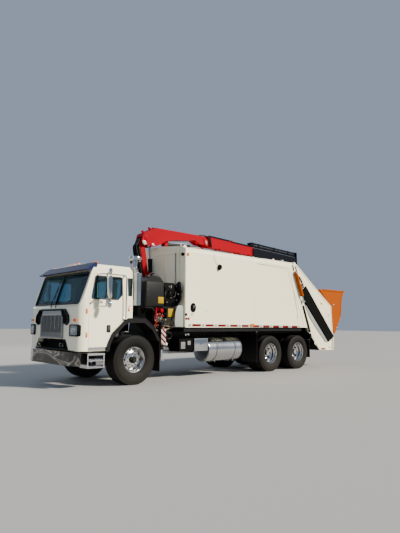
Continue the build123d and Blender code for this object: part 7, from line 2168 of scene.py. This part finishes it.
# %% Rail bolts, pipes along the rails and the rear tow lugs
for side_name, side in SIDES:
    for label, z in (("upper", 960), ("lower", 775)):
        rivets("rail_bolts_%s_%s" % (label, side_name), sided(side, [(-1500, 431, z), (-6700, 431, z)]), 260, 12,
               (0, side, 0), "chassis", chassis_black)
    hose("rail_pipe_" + side_name, sided(side, [(-1200, 446, 900), (-2350, 450, 905), (-3800, 446, 900),
                                                (-4500, 448, 880)]), 12, "chassis", bend=200)
    shackles = Piece().block((-6790, -6740), span(side, 300, 430), (640, 760))
    shackles.rod((-6765, side * 365, 640), (-6765, side * 365, 600), 16, 16)
    shackles.done("rear_tow_lug_" + side_name, chassis_black, "chassis", edge=5)
print("axles and rails dressed")

# %% Fenders, mud flaps and steps
for side_name, side in SIDES:
    lip = Piece()
    outer = [(786, 766), (720, 972), (630, 1156), (318, 1440), (202, 1500), (-264, 1500), (-527, 1316), (-708, 994)]
    inner = [(768, 760), (704, 962), (614, 1142), (306, 1424), (198, 1484), (-256, 1484), (-512, 1304), (-692, 986)]
    lip.strip("side", outer, inner, *span(side, 1216, 1228))
    lip.done("fender_lip_" + side_name, fender_black, "chassis", edge=3)
    rivets("fender_bolts_" + side_name, sided(side, [(180, 1120, 1494), (-240, 1120, 1494)]), 105, 10, (0, 0, 1),
           "chassis", zinc)
    flap_bars = Piece()
    for x, z in ((-4250, 1140), (-6870, 872)):
        flap_bars.block((x - 26, x + 26), span(side, 640, 1210), (z + 18, z + 26))
        for y in (700, 860, 1020, 1170):
            for way in (1, -1):
                flap_bars.turned([(0, 13), (8, 13), (8, 0)], (x + way * 6, side * y, z - 28),
                                 (x + way * 60, side * y, z - 28), 6)
    flap_bars.done("mud_flap_bars_" + side_name, zinc, "chassis", edge=1.5)
    for name, x, low, high in (("front", -4250, 320, 1110), ("rear", -6870, 350, 850)):
        ribs = Piece().prism("front", faced(side, [(650, high - 70), (1190, high - 70), (1190, high - 64),
                                                   (650, high - 64)]), x - 9, x + 9)
        run_recipe(field_of, "mud_flap_ribs_%s_%s" % (name, side_name), loose_mesh(ribs), cover_black, "chassis",
                   Count=int((high - low) / 60) - 1, Step=(0, 0, -0.06))
    for z in (465, 610, 740):
        ring_mesh = Piece().turned([(0, 14), (4, 13), (4, 8), (0, 8)], (848, side * 920, z - 1),
                                   (848, side * 920, z + 60), 12)
        run_recipe(field_of, "step_grips_%d_%s" % (z, side_name), loose_mesh(ring_mesh), polished, "chassis",
                   Count=8, Step=(0.043, 0, 0), Rows=6, Row_Step=(0, side * 0.05, 0))
    edges = Piece()
    for z in (430, 575):
        edges.block((800, 1185), span(side, 1196, 1206), (z + 3, z + 34))
    edges.done("step_edges_" + side_name, chrome, "chassis", edge=3)
print("fenders, flaps and steps:", tally("fender_", "flap", "step_"))

# %% Bumper: bolts and lower lip
heads = Piece()
for side in (1, -1):
    for z in (540, 700):
        for y in (470, 600):
            heads.turned([(0, 15), (5, 15), (9, 8), (9, 0)], (1468, side * y, z), (1600, side * y, z), 20)
heads.done("bumper_bolts", chrome, "chassis", crisp=30)
lower_lip = Piece().prism("front", [(-1000, 470), (1000, 470), (1000, 486), (-1000, 486)], 1406, 1452)
lower_lip.done("bumper_lower_lip", cover_black, "chassis", edge=5)
print("chassis done")

# %% [markdown]
# ## Studio and camera
# The truck stands on a plain pale floor. The sun of the photograph comes from behind the truck's left side, so
# the long side is bright and the front lies in soft shade: a warm sun with a soft edge takes its place. A blue
# panel before the truck and a pale one beside it give chrome and paint something calm to mirror. The camera's
# place, turn and focal length were worked out together with the truck's sizes.

# %% Floor
def stage_plane(name, half, height, material):
    """A large plain sheet that isn't part of the truck."""
    data = bpy.data.meshes.new(name)
    data.from_pydata([(-half, -half, height), (half, -half, height), (half, half, height), (-half, half, height)],
                     [], [(0, 1, 2, 3)])
    sheet = bpy.data.objects.new(name, data)
    bpy.context.scene.collection.objects.link(sheet)
    data.materials.append(material)
    return sheet


FLOOR_COLOUR = (0.30, 0.295, 0.285)
floor_grey, _, floor_shader = blank("floor_grey", FLOOR_COLOUR)
floor_shader.inputs["Base Color"].default_value = (*FLOOR_COLOUR, 1.0)
floor_shader.inputs["Roughness"].default_value = 0.85
stage_plane("studio_floor", 90, 0.0, floor_grey)
print("the floor is laid")

# %% Lights
world = bpy.data.worlds.new("studio")
bpy.context.scene.world = world
world.use_nodes = True
sky = world.node_tree.nodes["Background"]
sky.inputs["Color"].default_value = (0.60, 0.74, 0.96, 1.0)
sky.inputs["Strength"].default_value = 0.46


def wide_light(name, place, target, size, power, colour):
    """A square light panel that faces a target."""
    data = bpy.data.lights.new(name, "AREA")
    data.shape = "SQUARE"
    data.size = size
    data.energy = power
    data.color = colour
    lamp = bpy.data.objects.new(name, data)
    bpy.context.scene.collection.objects.link(lamp)
    lamp.location = place
    lamp.rotation_euler = (Vector(target) - Vector(place)).to_track_quat("-Z", "Y").to_euler()
    return lamp


sun_data = bpy.data.lights.new("soft_sun", "SUN")
sun_data.energy = 9.0
sun_data.angle = math.radians(6)
sun_data.color = (1.0, 0.94, 0.82)
sun = bpy.data.objects.new("soft_sun", sun_data)
bpy.context.scene.collection.objects.link(sun)
sun.rotation_euler = Vector((0.42, -0.72, -0.55)).to_track_quat("-Z", "Y").to_euler()
wide_light("front_panel", (16, 4, 9), (2, 0, 1.5), 8, 320, (0.44, 0.68, 1.0))
wide_light("right_panel", (2, -16, 10), (0, 0, 1.5), 9, 620, (0.90, 0.95, 1.0))
print("lights:", len(bpy.data.lights))

# %% Camera
FOCAL_PIXELS, PHOTO_PIXELS, SENSOR = 473.32, 533, 36
camera_data = bpy.data.cameras.new("photo_camera")
camera_data.sensor_width = SENSOR
camera_data.lens = FOCAL_PIXELS * SENSOR / PHOTO_PIXELS
camera = bpy.data.objects.new("photo_camera", camera_data)
bpy.context.scene.collection.objects.link(camera)
heading, pitch, roll = math.radians(-132.870), math.radians(6.877), math.radians(0.410)
forward = Vector((math.cos(heading) * math.cos(pitch), math.sin(heading) * math.cos(pitch), math.sin(pitch)))
level_right = Vector((math.sin(heading), -math.cos(heading), 0.0))
level_up = level_right.cross(forward)
right = level_right * math.cos(roll) + level_up * math.sin(roll)
upward = level_up * math.cos(roll) - level_right * math.sin(roll)
pose = Matrix((right, upward, -forward)).transposed().to_4x4()
pose.translation = at(6348, 10192, 1387)
camera.matrix_world = pose
camera_data.clip_end = 300
bpy.context.scene.camera = camera
print("camera at", tuple(round(v, 3) for v in camera.location))
